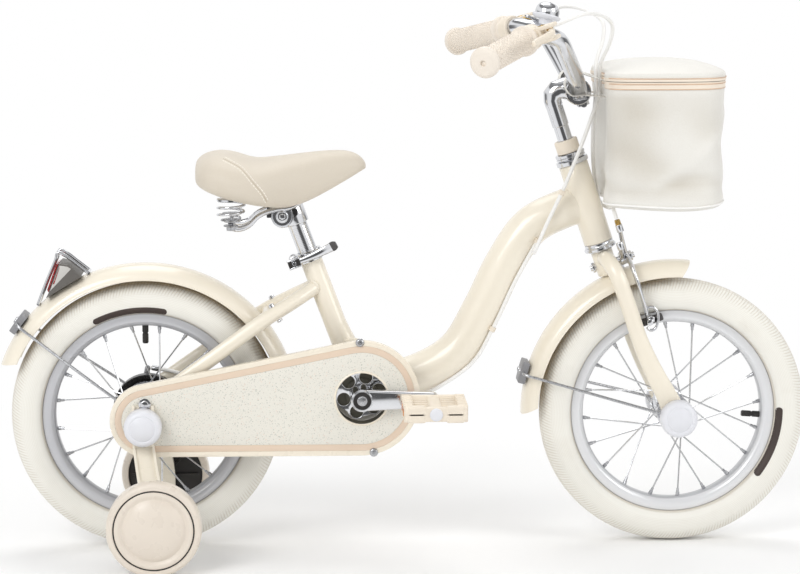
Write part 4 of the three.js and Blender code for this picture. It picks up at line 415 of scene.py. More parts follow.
# %% Finishes of the solid nodes
finish_of_slot = {
    "cream_paint": cream_paint, "tyre_rubber": rear_tyre_rubber, "rim_metal": rear_rim_metal_in_painted_shade,
    "chrome": chrome, "steel": steel, "black_steel": black_steel, "beige_rubber": beige_rubber,
    "beige_plastic": beige_plastic, "white_plastic": white_plastic, "guard_plastic": guard_panel,
    "grey_plastic": grey_plastic, "dark_plastic": dark_plastic, "red_lens": red_lens,
    "saddle_leather": saddle_leather, "bag_leather": bag_leather,
}
slot_of_finish = {finish: slot for slot, finish in finish_of_slot.items()}
slot_of_finish.update({
    painted_shade_lining_paint: "cream_paint", guard_cream: "guard_plastic", guard_tan: "guard_plastic",
    wheel_plastic: "beige_plastic", cable_white: "white_plastic", spring_steel: "steel", spoke_steel: "steel",
    brass: "steel", olive_steel: "black_steel", front_rim_metal: "rim_metal",
    front_tyre_rubber: "tyre_rubber", tyre_label: "tyre_rubber", thread: "saddle_leather",
    seam_shade: "saddle_leather", zip_tape: "bag_leather", zip_metal: "steel", grey_rubber: "dark_plastic",
    housing_grey: "dark_plastic", housing_pale: "dark_plastic", white_piping: "white_plastic",
    amber_lens: "red_lens",
})
dressed = 0
for node in frame["nodes"]:
    solid = bpy.data.objects.get(node)
    for slot in solid.material_slots if solid else ():
        wanted = next((s for s in finish_of_slot if s in slot.material.name), None)
        if wanted:
            slot.material = finish_of_slot[wanted].material
            dressed += 1
print("solid nodes dressed:", dressed)


# %% [markdown]
# A handful of builders make nearly every part of a bike. Each one starts from a bmesh shape and adds its
# result to the piece that is being made: a turned part is a profile that is spun, a rod is a cone, a bent
# tube is a curve with a round section, a loft bridges a row of circles, and a plate is an outline that is
# filled and extruded.

# %% Places and merging
def facing(at, way):
    """A place at a point, with the local Z axis pointing along a way."""
    return Matrix.Translation(at) @ Vector(way).to_track_quat("Z", "Y").to_matrix().to_4x4()


def put(target, source, place=None):
    """Adds one bmesh to another at its place."""
    if place is not None:
        bmesh.ops.transform(source, matrix=place, verts=source.verts)
    passing = bpy.data.meshes.new("passing")
    source.to_mesh(passing)
    source.free()
    target.from_mesh(passing)
    bpy.data.meshes.remove(passing)


def sharp_edges(bm, degrees=60):
    return [e for e in bm.edges if len(e.link_faces) == 2 and e.calc_face_angle(0) > math.radians(degrees)]


def rounded(bm, edges, offset, segments=3):
    bmesh.ops.bevel(bm, geom=edges, offset=offset, affect="EDGES", segments=segments,
                    profile=0.5, material=-1)


# %% [markdown]
# Most metal parts of a bike come off a lathe. A turned part is half a profile that is spun through a full
# turn, which keeps every small step and chamfer. A plain rod is simple enough for a ready-made shape.

# %% Turned parts and rods
def turned(target, profile, at, way, steps=48, closed=False):
    """Spins a profile of (radius, distance along) about a way."""
    bm = bmesh.new()
    verts = [bm.verts.new((radius, 0, along)) for radius, along in profile]
    edges = [bm.edges.new(pair) for pair in zip(verts, verts[1:])]
    if closed:
        edges.append(bm.edges.new((verts[-1], verts[0])))
    bmesh.ops.spin(bm, geom=verts + edges, cent=(0, 0, 0), axis=(0, 0, 1), angle=FULL_TURN,
                   steps=steps, use_merge=True)
    bmesh.ops.remove_doubles(bm, verts=bm.verts, dist=0.0005)
    put(target, bm, facing(at, way))


def collar(target, hole, radius, low, high, edge, at, way, steps=48):
    """A turned ring with a hole, whose outer edges are cut off by the same amount."""
    turned(target, [(hole, low), (radius - edge, low), (radius, low + edge), (radius, high - edge),
                    (radius - edge, high), (hole, high)], at, way, steps, closed=True)


def rod(target, start, end, radius, sides=24, round_edge=0.0):
    """A straight rod with flat ends, and rounded edges where asked for."""
    start, end = Vector(start), Vector(end)
    bm = bmesh.new()
    bmesh.ops.create_cone(bm, cap_ends=True, segments=sides, radius1=radius, radius2=radius,
                          depth=(end - start).length)
    if round_edge:
        rounded(bm, sharp_edges(bm), round_edge)
    put(target, bm, facing((start + end) / 2, end - start))


# %% [markdown]
# Wires and cables are curves with a round section. Where a tube changes its section on the way, as a fork
# blade does, a row of ovals is bridged instead, because such a curve is round everywhere.

# %% Bent tubes and lofts
def tube(target, points, radius, fine=4, steps=8, closed=False):
    """A tube through points. The radius may be one number or one for each point."""
    curve = bpy.data.curves.new("route", "CURVE")
    curve.dimensions = "3D"
    curve.bevel_depth = 1.0
    curve.bevel_resolution = fine
    curve.use_fill_caps = True
    spline = curve.splines.new("BEZIER")
    spline.bezier_points.add(len(points) - 1)
    spline.resolution_u = steps
    spline.use_cyclic_u = closed
    for index, (bend, point) in enumerate(zip(spline.bezier_points, points)):
        bend.co = point
        bend.handle_left_type = bend.handle_right_type = "AUTO"
        bend.radius = radius if isinstance(radius, (int, float)) else radius[index]
    route = bpy.data.objects.new("route", curve)
    mesh = bpy.data.meshes.new_from_object(route)
    target.from_mesh(mesh)
    bpy.data.objects.remove(route)
    bpy.data.meshes.remove(mesh)
    bpy.data.curves.remove(curve)


def loft(target, rings, sides=28, side=Y):
    """Bridges ovals and closes both ends. A ring is (centre, way, half width along the side, half height)."""
    bm = bmesh.new()
    loops = []
    for centre, way, wide, high in rings:
        ahead = Vector(way).normalized()
        across = (side - ahead * side.dot(ahead)).normalized()
        turn = Matrix((across, ahead.cross(across), ahead)).transposed().to_4x4()
        place = Matrix.Translation(centre) @ turn @ Matrix.Diagonal((wide, high, 1, 1))
        made = bmesh.ops.create_circle(bm, segments=sides, radius=1, matrix=place, cap_ends=False)
        loops.append(list({e for v in made["verts"] for e in v.link_edges}))
    for first, second in zip(loops, loops[1:]):
        bmesh.ops.bridge_loops(bm, edges=first + second)
    bmesh.ops.holes_fill(bm, edges=bm.edges, sides=0)
    put(target, bm)


# %% [markdown]
# Pressed parts are flat outlines with holes. Filling an outline and pulling it out is quicker than cutting
# holes into a block, and it leaves cleaner faces. The edges get a small round, since real edges shine.

# %% Plates and blocks
def plate(target, loops, low, high, place=None, round_edge=0.4, segments=2):
    """Fills outlines of (x, z), the first one outside and the rest holes, from y = low to y = high."""
    bm = bmesh.new()
    for loop in loops:
        verts = [bm.verts.new((x, low, z)) for x, z in loop]
        for pair in zip(verts, verts[1:] + verts[:1]):
            bm.edges.new(pair)
    bmesh.ops.triangle_fill(bm, edges=bm.edges[:], use_beauty=True, use_dissolve=False)
    made = bmesh.ops.extrude_face_region(bm, geom=bm.faces[:])
    moved = [v for v in made["geom"] if isinstance(v, bmesh.types.BMVert)]
    bmesh.ops.translate(bm, verts=moved, vec=(0, high - low, 0))
    if round_edge:
        rounded(bm, sharp_edges(bm), round_edge, segments)
    put(target, bm, place)


def block(target, centre, size, round_edge=0.6, turn=None):
    """A block with rounded edges, turned by a matrix where it leans."""
    bm = bmesh.new()
    bmesh.ops.create_cube(bm, size=1)
    bmesh.ops.scale(bm, vec=size, verts=bm.verts)
    if round_edge:
        rounded(bm, bm.edges[:], round_edge)
    place = Matrix.Translation(centre)
    put(target, bm, place @ turn.to_4x4() if turn is not None else place)


def circle(x, z, radius, sides=40, first=0.0):
    return [(x + radius * math.cos(first + FULL_TURN * i / sides),
             z + radius * math.sin(first + FULL_TURN * i / sides))
            for i in range(sides)]


# %% [markdown]
# A piece is done when it is scaled to metres, shaded smooth apart from its sharp edges, given its finish
# and tied to the body it moves with. One function does all of that, so that no piece misses a step.

# %% Finishing a piece
pieces = {}


def piece(name, body, finish, target, replaces=(), sharp=38):
    """Turns a bmesh in millimetres into an object in metres that rides on a body."""
    bmesh.ops.remove_doubles(target, verts=target.verts, dist=0.0005)
    bmesh.ops.scale(target, vec=(MILLIMETRE,) * 3, verts=target.verts)
    bmesh.ops.recalc_face_normals(target, faces=target.faces)
    mesh = bpy.data.meshes.new(name)
    target.to_mesh(mesh)
    target.free()
    mesh.shade_smooth()
    mesh.set_sharp_from_angle(angle=math.radians(sharp))
    mesh.materials.append(finish.material)
    made = bpy.data.objects.new(name, mesh)
    bpy.context.scene.collection.objects.link(made)
    if body:
        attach(made, body)
    if replaces:
        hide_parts(*replaces)
    pieces[name] = made
    return made


print("builders ready")


# %% [markdown]
# Two parts of the bike lean: the steering head leans back by 18.5 degrees, and the seat tube by 20.5.
# Points on them are easier to give along their own axes, so two functions turn such points into place.

# %% Leaning frames
AXLE_HEIGHT, WHEELBASE, BRACKET_X, BRACKET_HEIGHT = 175, 689, 279, 207
REAR_AXLE, FRONT_AXLE = Vector((0, 0, AXLE_HEIGHT)), Vector((WHEELBASE, 0, AXLE_HEIGHT))
BRACKET = Vector((BRACKET_X, 0, BRACKET_HEIGHT))
STEER_AXIS = Vector((-0.317305, 0, 0.948324))
STEER_AHEAD = Vector((0.948324, 0, 0.317305))
SEAT_AXIS = Vector((-0.350207, 0, 0.936672))
SEAT_AHEAD = Vector((0.936672, 0, 0.350207))
STEER_LEAN = Matrix.Rotation(-math.radians(18.5), 3, "Y")
SEAT_LEAN = Matrix.Rotation(-math.radians(20.5), 3, "Y")


def steer(x, y, z):
    return Vector((667.189, y, 167.702)) + STEER_AHEAD * x + STEER_AXIS * z


def seat(x, y, z):
    return Vector((BRACKET_X, y, BRACKET_HEIGHT)) + SEAT_AHEAD * x + SEAT_AXIS * z


def beside(point, y):
    """The same place as seen from the side, at another distance from the middle plane."""
    return Vector((point.x, y, point.z))


def about(axle, radius, angle, y=0.0):
    """A point around an axle, its angle in degrees from straight ahead upwards."""
    turn = math.radians(angle)
    return axle + Vector((radius * math.cos(turn), y, radius * math.sin(turn)))


print("head angle:", round(math.degrees(math.atan2(-STEER_AXIS.x, STEER_AXIS.z)), 1))


# %% [markdown]
# A tyre is a ring, so its section is drawn once and spun about the axle. The section is round over the
# tread and pulls in to the rim, where the bead goes inside the rim's two edges.
# A torus would be quicker, but it has no bead and no flat foot at the rim.

# %% Tyres
TYRE_HALF = [(125.9, 10.8), (134.35, 10.9), (134.4, 14.2), (136.2, 18.6), (140.2, 21.9), (146, 23.7),
             (152.5, 23.8), (158.6, 22.6), (164.4, 19.6), (169.2, 15.2), (172.6, 9.8), (174.4, 4.6),
             (174.9, 0)]


def mirrored(half_profile):
    return half_profile + [(radius, -along) for radius, along in reversed(half_profile) if along > 0]


def tyre(name, axle, body, finish):
    bm = bmesh.new()
    turned(bm, mirrored(TYRE_HALF), axle, Y, 144, closed=True)
    return piece(name + "_carcass", body, finish, bm, (name,), 60)


tyre("rear_tyre", REAR_AXLE, "rear_wheel", rear_tyre_rubber)
tyre("front_tyre", FRONT_AXLE, "front_wheel", front_tyre_rubber)
print("tyres made")

# %% [markdown]
# Each side of a tyre carries one dark patch just above the rim. It is a curved band with round ends that
# lies on the tyre's side: a strip is spun over part of a turn, and its width shrinks at both ends along a
# circle. The strip follows the bulge of the tyre, whose half width is read from its section. It is bare.

# %% Dark patches on the tyres
PATCH_RADIUS, PATCH_WIDTH, PATCH_SPREAD = 139.6, 8.6, 20


def half_width_at(radius):
    """How far the tyre's side stands out at a radius."""
    for (low, near), (high, far) in zip(TYRE_HALF[1:], TYRE_HALF[2:]):
        if low <= radius <= high:
            return near + (far - near) * (radius - low) / (high - low)
    return TYRE_HALF[0][1]


def patch(target, axle, middle, side):
    bm = bmesh.new()
    rows = [PATCH_RADIUS + PATCH_WIDTH * (i / 8 - 0.5) for i in range(9)]
    verts = [bm.verts.new(about(axle, radius, middle - PATCH_SPREAD, side * 20)) for radius in rows]
    edges = [bm.edges.new(pair) for pair in zip(verts, verts[1:])]
    bmesh.ops.spin(bm, geom=verts + edges, cent=axle, axis=-Y, angle=math.radians(2 * PATCH_SPREAD), steps=96)
    round_start = 1 - math.degrees(PATCH_WIDTH / 2 / PATCH_RADIUS) / PATCH_SPREAD
    for vert in bm.verts:
        away = vert.co - axle
        angle = math.degrees(math.atan2(away.z, away.x))
        share = abs((angle - middle + 180) % 360 - 180) / PATCH_SPREAD
        end = max(0, share - round_start) / (1 - round_start)
        narrowed = max(0.04, 1 - end * end) ** 0.5
        distance = PATCH_RADIUS + (math.hypot(away.x, away.z) - PATCH_RADIUS) * narrowed
        vert.co = about(axle, distance, angle, side * (half_width_at(distance) + 0.3))
    bmesh.ops.remove_doubles(bm, verts=bm.verts, dist=0.001)
    bmesh.ops.recalc_face_normals(bm, faces=bm.faces)
    if sum(face.normal.y for face in bm.faces) * side < 0:
        bmesh.ops.reverse_faces(bm, faces=bm.faces)
    bmesh.ops.solidify(bm, geom=bm.faces[:], thickness=0.5)
    put(target, bm)


for wheel, axle, middle in (("rear_wheel", REAR_AXLE, 98), ("front_wheel", FRONT_AXLE, -18)):
    bm = bmesh.new()
    for side in SIDES:
        patch(bm, axle, middle, side)
    piece(wheel + "_tyre_patches", wheel, tyre_label, bm)
print("tyre patches made")

# %% [markdown]
# The rims are deep alloy channels. A valve with a black cap stands on each inner face.

# %% Rims and valves
RIM_HALF = [(117.4, 0), (117.6, 6.2), (119.4, 9.6), (122.8, 13.1), (124.4, 13.5), (133.3, 13.5), (134, 13.1),
            (134, 12.4), (133.4, 12.25), (127.6, 11.9), (125.6, 11.15), (123.4, 9.8), (121.8, 6), (121.2, 0)]


def rim(name, axle, body, finish, valve_angle):
    bm = bmesh.new()
    turned(bm, mirrored(RIM_HALF), axle, Y, 144, closed=True)
    piece(name + "_channel", body, finish, bm, (name,), 32)
    bm = bmesh.new()
    way = (about(axle, 1, valve_angle) - axle)
    turned(bm, [(0, 93), (3.2, 93.3), (4, 94.8), (4, 105.6), (3.3, 106.4), (3.3, 107.6), (4.1, 108.4),
                (4.1, 118.2), (5, 119.2), (5, 121)], axle, way, 20)
    piece(name + "_valve", body, dark_plastic, bm)


rim("rear_rim", REAR_AXLE, "rear_wheel", rear_rim_metal_in_painted_shade, 90)
rim("front_rim", FRONT_AXLE, "front_wheel", front_rim_metal, -4)
print("rims made")

# %% [markdown]
# Twenty spokes run from the holes of the two hub flanges to the rim. Each one leaves its hole about 72
# degrees ahead of or behind the place where it reaches the rim, so neighbours cross. Their nipples are
# small turned sleeves.

# %% Hubs, spokes and nipples
FLANGE = [(12.4, 29), (22.4, 28.4), (23, 27.8), (23, 25.6), (22.4, 25), (13.6, 22.6), (12.2, 20)]


def half_hub(reach):
    """The profile of one half of a hub, from its end to its flange."""
    return [(5.7, reach), (7.6, reach), (8.2, reach - 1), (12, reach - 14)] + FLANGE


def hub(name, axle, body, right_end, left_end, phase, drum):
    bm = bmesh.new()
    right_half = [(radius, -along) for radius, along in half_hub(right_end)]
    turned(bm, right_half + [(11.6, 0)] + half_hub(left_end)[::-1], axle, Y, closed=True)
    if drum:
        collar(bm, 11, 37, 33.8, 42.6, 0.6, axle, Y)
    piece(name + "_shell", body, chrome, bm, (name,), 30)
    spokes, nipples = bmesh.new(), bmesh.new()
    for flange in SIDES:
        for index in range(10):
            lead = 1 if index % 2 == 0 else -1
            hub_angle = 36 * (index + (0.5 if flange == LEFT else 0)) + phase
            rim_angle = hub_angle + 72 * lead
            hole = about(axle, 19.5, hub_angle, flange * (26.5 + 1.7 * lead))
            end = about(axle, 117.2, rim_angle)
            rod(spokes, hole, end, 1.05, sides=8)
            rod(spokes, hole - Y * flange * 2.4 * lead, hole + Y * flange * 0.6 * lead, 1.9, sides=10,
                round_edge=0.5)
            along = (end - hole).normalized()
            turned(nipples, [(1.1, 0), (1.7, 0.4), (1.9, 5), (2.5, 5.4), (2.5, 10), (0, 10)],
                   end - along * 9.6, along, 10)
    piece(name + "_spokes", body, spoke_steel, spokes, (name,))
    piece(name + "_nipples", body, steel, nipples)


hub("rear_hub_and_spokes", REAR_AXLE, "rear_wheel", 54.2, 46.3, 9, True)
hub("front_hub_and_spokes", FRONT_AXLE, "front_wheel", 45.2, 45.2, 5, False)
print("hubs made")

# %% [markdown]
# The frame is brazed from tubes: a fat curved main tube, a leaning seat tube with a fairing at its foot,
# the head tube, the bottom bracket shell, and two pairs of thin stays that splay around the rear wheel.
# The curved tubes are curves with a round section whose radius changes from point to point.

# %% Main tube
HEAD_JOINT = Vector((572.95, 0, 449.36))
HEAD_SPAN = HEAD_JOINT - BRACKET
MAIN_SHARES = [(0, 0), (0.26, 0.075), (0.43, 0.2), (0.545, 0.43), (0.64, 0.67), (0.755, 0.872),
               (0.895, 0.963), (1, 1)]
main_points = [BRACKET + Vector((HEAD_SPAN.x * x, 0, HEAD_SPAN.z * z)) for x, z in MAIN_SHARES]


def smooth_path(points, steps):
    """Points along a centripetal spline through the given ones, evenly spread over the spans."""
    ends = [points[0] * 2 - points[1]] + list(points) + [points[-1] * 2 - points[-2]]
    path = []
    for index in range(steps + 1):
        place = index / steps * (len(points) - 1)
        span = min(int(place), len(points) - 2)
        share = place - span
        a, b, c, d = ends[span:span + 4]
        knots = [0.0]
        for first, second in ((a, b), (b, c), (c, d)):
            knots.append(knots[-1] + max((second - first).length, 1e-6) ** 0.5)
        t = knots[1] + (knots[2] - knots[1]) * share
        mix = lambda p, q, low, high: p * ((high - t) / (high - low)) + q * ((t - low) / (high - low))
        one, two, three = (mix(a, b, knots[0], knots[1]), mix(b, c, knots[1], knots[2]),
                           mix(c, d, knots[2], knots[3]))
        path.append(mix(mix(one, two, knots[0], knots[2]), mix(two, three, knots[1], knots[3]), knots[1],
                        knots[2]))
    return path


def along_path(target, path, size_at, side=Y, sides=28):
    """A tube along a path whose two half widths change with the share of its length."""
    last = len(path) - 1
    ways = [path[min(i + 1, last)] - path[max(i - 1, 0)] for i in range(last + 1)]
    loft(target, [(p, w, *size_at(i / last)) for i, (p, w) in enumerate(zip(path, ways))], sides, side)


def bent_oval(target, points, size_at, steps=26, side=Y):
    along_path(target, smooth_path([Vector(p) for p in points], steps), size_at, side)


def main_size(share):
    """Half width and half height: round, and squeezed to the head tube's width at the top end."""
    radius = 27 - 2 * share
    squeeze = min(1, max(0, (share - 0.84) / 0.12))
    return radius + (15.2 - radius) * squeeze * squeeze * (3 - 2 * squeeze), radius


MAIN_STEPS = 56
main_path = smooth_path(main_points, MAIN_STEPS)
bm = bmesh.new()
along_path(bm, main_path, main_size, sides=56)
piece("main_tube", "frame", cream_paint, bm, ("frame",), 60)
print("main tube:", round(sum((b - a).length for a, b in zip(main_path, main_path[1:]))), "mm long")

# %% [markdown]
# The head tube, the seat tube and the bracket shell are straight, so they are turned. The small fairing
# between seat tube and shell is a bent tube that is mostly sunk into both.

# %% Head tube, seat tube and bracket shell
bm = bmesh.new()
collar(bm, 16, 19, 0, 108, 0.6, steer(0, 0, 243), STEER_AXIS, 56)
turned(bm, [(13.1, 100), (13.1, 186), (13.9, 186), (14.3, 185.4), (14.3, 0), (0, 0)], seat(0, 0, 0),
       SEAT_AXIS, 48)
collar(bm, 16.8, 20, -34, 34, 0.6, BRACKET, Y, 56)
fairing = [seat(0, 0, 92), seat(3, 0, 66), seat(8.5, 0, 44), BRACKET + Vector((44, 0, 22)),
           BRACKET + Vector((64, 0, 26))]
tube(bm, smooth_path(fairing, 12), 14.3, fine=10, steps=2)
piece("tubes_and_shell", "frame", cream_paint, bm, ("frame",), 50)
print("straight tubes made")

# %% [markdown]
# Brazed joints leave a soft fillet. A ring of metal is laid around each joint and sunk into both tubes, so
# that only its rounded shoulder shows.

# %% Brazed joints
def bead(target, at, way, radius, thick, steps=40):
    turned(target, circle(radius, 0, thick, 10), at, way, steps, closed=True)


bm = bmesh.new()
bead(bm, BRACKET + (main_path[3] - main_path[0]).normalized() * 19, main_path[3] - main_path[0], 25.6, 2.6)
for side in SIDES:
    bead(bm, seat(-8.6, side * 8.6, 148), Vector((-0.8, side * 0.6, -0.4)), 8.2, 2.2, 24)
piece("brazed_joints", "frame", cream_paint, bm)
print("brazed joints made")

# %% [markdown]
# Each stay is one bent tube. It starts at the seat tube or at the shell, widens around the tyre and the
# fender, and is pressed flat where it meets the dropout, which a loft of ovals does well.

# %% Stays, bridges and dropouts
def pressed(radius):
    return lambda share: (radius * (1 - 0.5 * max(0, (share - 0.4) / 0.6)), radius)


BRIDGE_RADIUS, HIGH_BRIDGE, LOW_BRIDGE = 205.1, 39.7, 6
bm = bmesh.new()
for side in SIDES:
    high = seat(-7.15, side * 7.15, 146.6)
    bridge = about(REAR_AXLE, BRIDGE_RADIUS, HIGH_BRIDGE)
    dropout = Vector((8, side * 56, 200.6))
    bent_oval(bm, [high, beside((bridge + high) / 2, side * 28.5), beside(bridge, side * 40.7),
                   beside((bridge + dropout) / 2, side * 53.7), dropout], pressed(9.5))
    low = about(REAR_AXLE, BRIDGE_RADIUS, LOW_BRIDGE)
    axle_end = Vector((24, side * 56, 176))
    bent_oval(bm, [Vector((269, side * 20, 206.7)), beside(low + X * 5, side * 34.65),
                   beside(REAR_AXLE.lerp(low, 0.78), side * 40.5),
                   beside(REAR_AXLE.lerp(low, 0.4), side * 52.5), axle_end], pressed(9))
    hole = circle(0, AXLE_HEIGHT, 5.4, 24)
    foot = [about(REAR_AXLE, 16, 117 + 16.2 * i) for i in range(11)]
    outline = [(spot.x, spot.z) for spot in foot]
    outline += [(22, 167), (33.6, 167), (33.6, 183), (16, 206.2), (0, 206.2), (-21.6, 195)]
    inner = side * 57 - 2.5
    plate(bm, [outline, hole], inner, inner + 5, round_edge=0.8)
for angle, reach in ((HIGH_BRIDGE, 38), (LOW_BRIDGE, 31.5)):
    rod(bm, about(REAR_AXLE, BRIDGE_RADIUS, angle, -reach), about(REAR_AXLE, BRIDGE_RADIUS, angle, reach), 6)
piece("stays_and_dropouts", "frame", cream_paint, bm, ("frame",), 45)
print("stays made")

# %% [markdown]
# Two pegs hold the chain guard. The upper one comes off the seat tube above the chainring and the lower
# one off the shell below it.

# %% Guard pegs
PEG_DISTANCE = 66.95
PEG_TOP, PEG_FOOT = BRACKET_HEIGHT + PEG_DISTANCE, BRACKET_HEIGHT - PEG_DISTANCE
bm = bmesh.new()
tube(bm, smooth_path([seat(0, -7.15, PEG_DISTANCE), Vector((275, -30, PEG_TOP)),
                      Vector((275, -45.5, PEG_TOP)), Vector((275, -74.2, PEG_TOP))], 10), 4, steps=2)
rod(bm, (263, -20, 197), (263, -20, PEG_FOOT), 4, round_edge=0.8)
rod(bm, (263, -18, PEG_FOOT), (263, -74.2, PEG_FOOT), 4)
piece("guard_pegs", "frame", cream_paint, bm, ("frame",))
print("guard pegs made")


# %% [markdown]
# The headset has a ribbed cup at each end of the head tube and a pale cover over the upper locknut. They
# are turned from profiles with small steps, which catch the light as the real rings do.

# %% Headset
bm = bmesh.new()
turned(bm, [(15.8, 0), (20.4, 0), (21, 0.6), (21, 3.2), (20.2, 3.9), (20.2, 4.4), (19.4, 5.2), (19, 6),
            (19, 9), (18.6, 9.4), (15.8, 9.4)], steer(0, 0, 233.3), STEER_AXIS, 56, closed=True)
piece("headset_lower_cup", "frame", chrome, bm, ("headset_lower",), 30)
bm = bmesh.new()
turned(bm, [(15.6, 0), (20.6, 0), (21, 0.5), (21, 5.2), (20.4, 5.9), (16.2, 6.6), (16.2, 7.2), (18.6, 7.4),
            (19.4, 8), (19.4, 9.4), (18.6, 10), (18.2, 10.2), (18.2, 10.6), (19.4, 11.2), (19.4, 14),
            (18.6, 14.8), (15.6, 14.8)],
       steer(0, 0, 351.4), STEER_AXIS, 56, closed=True)
piece("headset_upper_cup", "frame", chrome, bm, ("headset_upper",), 30)
bm = bmesh.new()
turned(bm, [(11.6, 0), (15, 0), (15.3, 0.5), (15.3, 15.2), (14.4, 16.6), (11.8, 17), (11.4, 16.4)],
       steer(0, 0, 366.7), STEER_AXIS, 48, closed=True)
piece("headset_cover_sleeve", "steering", beige_plastic, bm, ("headset_cover",), 30)
print("headset made")

# %% [markdown]
# The fork has a crown, a steering column and two blades. The blades are round at the crown and spread into
# wide flat ends at the axle, so they are lofted from ovals.

# %% Fork
def blade_size(share):
    thin = min(1, max(0, (share - 0.4) * 2.2))
    wide = min(1, max(0, (share - 0.55) * 2.4))
    return 10.5 + (4.5 - 10.5) * thin, 10.5 + (15 - 10.5) * wide


BLADE = [(0, 5.6, 221.5), (2.3, 25, 219.4), (6.4, 42, 201.5), (7.8, 45.5, 158.4), (8.3, 47, 107.2),
         (12.9, 49, 62.9), (19.8, 50, 23.3), (23, 50, -15)]
bm = bmesh.new()
for side in SIDES:
    bent_oval(bm, [steer(x, side * y, z) for x, y, z in BLADE], blade_size, 36)
turned(bm, [(0, 198.7), (13.2, 198.7), (14, 199.6), (14, 231.4), (13.4, 232.6), (12.7, 233), (12.7, 366.2),
            (0, 366.2)],
       steer(0, 0, 0), STEER_AXIS, 48)
piece("fork_blades_and_column", "steering", cream_paint, bm, ("fork",), 50)
bm = bmesh.new()
bead(bm, steer(0, 0, 232.8), STEER_AXIS, 15.4, 1.7)
piece("fork_crown_ring", "steering", chrome, bm)
print("fork made")

# %% [markdown]
# The stem is a chromed quill with a short neck. The neck meets the quill in a rounded knee, and its clamp
# grips the bar with a bolt below.

# %% Stem
BAR_SEAT = steer(34, 0, 438)
bm = bmesh.new()
turned(bm, [(0, 300), (9.8, 300), (9.8, 402), (10.9, 403), (10.9, 430), (11.4, 430.6), (11.4, 434), (0, 434)],
       steer(0, 0, 0), STEER_AXIS, 48)
NECK = [(0, 430, 0, 1, 11.4, 11.4), (0, 437, 0.12, 1, 11.5, 11.6), (3, 443, 0.62, 0.78, 12, 13.6),
        (11, 446, 1, 0.42, 12.4, 15.6), (21, 444.6, 1, 0, 12.8, 16.4), (31, 441, 1, -0.3, 13.2, 16)]
neck_rings = [(steer(x, 0, z), STEER_AHEAD * ahead + STEER_AXIS * up, wide, high)
              for x, z, ahead, up, wide, high in NECK]
loft(bm, neck_rings, sides=40)
collar(bm, 11.4, 17, -13.5, 13.5, 1.2, BAR_SEAT, Y, 56)
for side in SIDES:
    block(bm, BAR_SEAT + STEER_AHEAD * 2 - STEER_AXIS * 16.4 + Y * 7.2 * side, (15, 3.4, 7), 1.0,
          STEER_LEAN)
piece("stem_casting", "steering", chrome, bm, ("stem",), 36)
bm = bmesh.new()
for side in SIDES:
    turned(bm, [(0, 0.8), (2.4, 0.8), (2.4, 3), (4, 3), (4.3, 2.6), (4.3, 0), (0, 0)],
           BAR_SEAT + STEER_AHEAD * 2 - STEER_AXIS * 17.4 + Y * 8.8 * side, Y * side, 24)
piece("stem_bolts", "steering", steel, bm)
print("stem made")

# %% [markdown]
# The handlebar is one tube that rises from the stem and sweeps back along the grips.

# %% Handlebar
BAR_SIDE = [(34, 8.1, 438), (34, 18.9, 438), (33.3, 40.5, 454.2), (28.9, 72.9, 490.3), (22.4, 95.9, 516.9),
            (7.4, 107.5, 528.3), (-3.7, 117.5, 533.3), (-17.6, 140.6, 533), (-82.6, 248.7, 531.6)]
bar_points = [steer(x, -y, z) for x, y, z in reversed(BAR_SIDE)] + [steer(x, y, z) for x, y, z in BAR_SIDE]
bar_path = smooth_path(bar_points, 136)
bm = bmesh.new()
tube(bm, bar_path, 11.1, fine=9, steps=2)
piece("handlebar_tube", "steering", chrome, bm, ("handlebar",), 60)
print("bar is", round(2 * abs(bar_path[0].y)), "mm wide")

# %% [markdown]
# A grip has a row of round ribs under the palm between two flanges, and a cap with a small hole at its
# end. The rows are in the profile itself, so their edges are real and catch the light.

# %% Grips
RING_COUNT, RING_STEP, STUDS_AROUND = 26, 4.0, 28


def grip_frame(side):
    start, end = steer(-17.6, side * 140.6, 533), steer(-84.6, side * 252, 531.5)
    return start, (end - start).normalized()


for side, word in NAMED_SIDES:
    start, along = grip_frame(side)
    profile = [(11.7, 0), (14.4, 0.2), (15, 1.4), (15, 4.6), (17.6, 5.6), (19, 7), (19, 11), (17.8, 12.2),
               (15.4, 12.8)]
    for ring in range(RING_COUNT):
        base = 15 + ring * RING_STEP
        profile += [(15.0, base), (15.7, base + 0.5), (15.7, base + 3.0), (15.0, base + 3.5)]
    profile += [(15.6, 119.4), (18, 120.2), (19, 121.4), (19, 125.4), (18.2, 127), (15.6, 129.2), (13, 129.9),
                (4.4, 130), (3.6, 129.4), (3.4, 126.8), (0, 126.8)]
    bm = bmesh.new()
    turned(bm, profile, start, along, 56)
    piece(f"grip_{word}_sleeve", "steering", beige_rubber, bm, (f"grip_{word}",), 34)
print("grips made")

# %% [markdown]
# The pattern on the grip is a field of small flat studs. One stud is made once and set in rows around the
# grip, and every second row is turned by half a step.

# %% Studs of the grips
for side, word in NAMED_SIDES:
    start, along = grip_frame(side)
    place = facing(start, along)
    bm = bmesh.new()
    stud = bmesh.new()
    bmesh.ops.create_cube(stud, size=1)
    bmesh.ops.scale(stud, vec=(0.7, 1.5, 2.1), verts=stud.verts)
    rounded(stud, [e for e in stud.edges if e.calc_length() > 1], 0.18, 1)
    mould = bpy.data.meshes.new("stud")
    stud.to_mesh(mould)
    stud.free()
    for ring in range(RING_COUNT):
        for step in range(STUDS_AROUND):
            turn = Matrix.Rotation(FULL_TURN * (step + 0.5 * (ring % 2)) / STUDS_AROUND, 4, "Z")
            copy = bmesh.new()
            copy.from_mesh(mould)
            put(bm, copy, place @ turn @ Matrix.Translation((15.85, 0, 16.75 + ring * RING_STEP)))
    piece(f"grip_{word}_studs", "steering", beige_rubber, bm)
    bpy.data.meshes.remove(mould)
print("studs made")

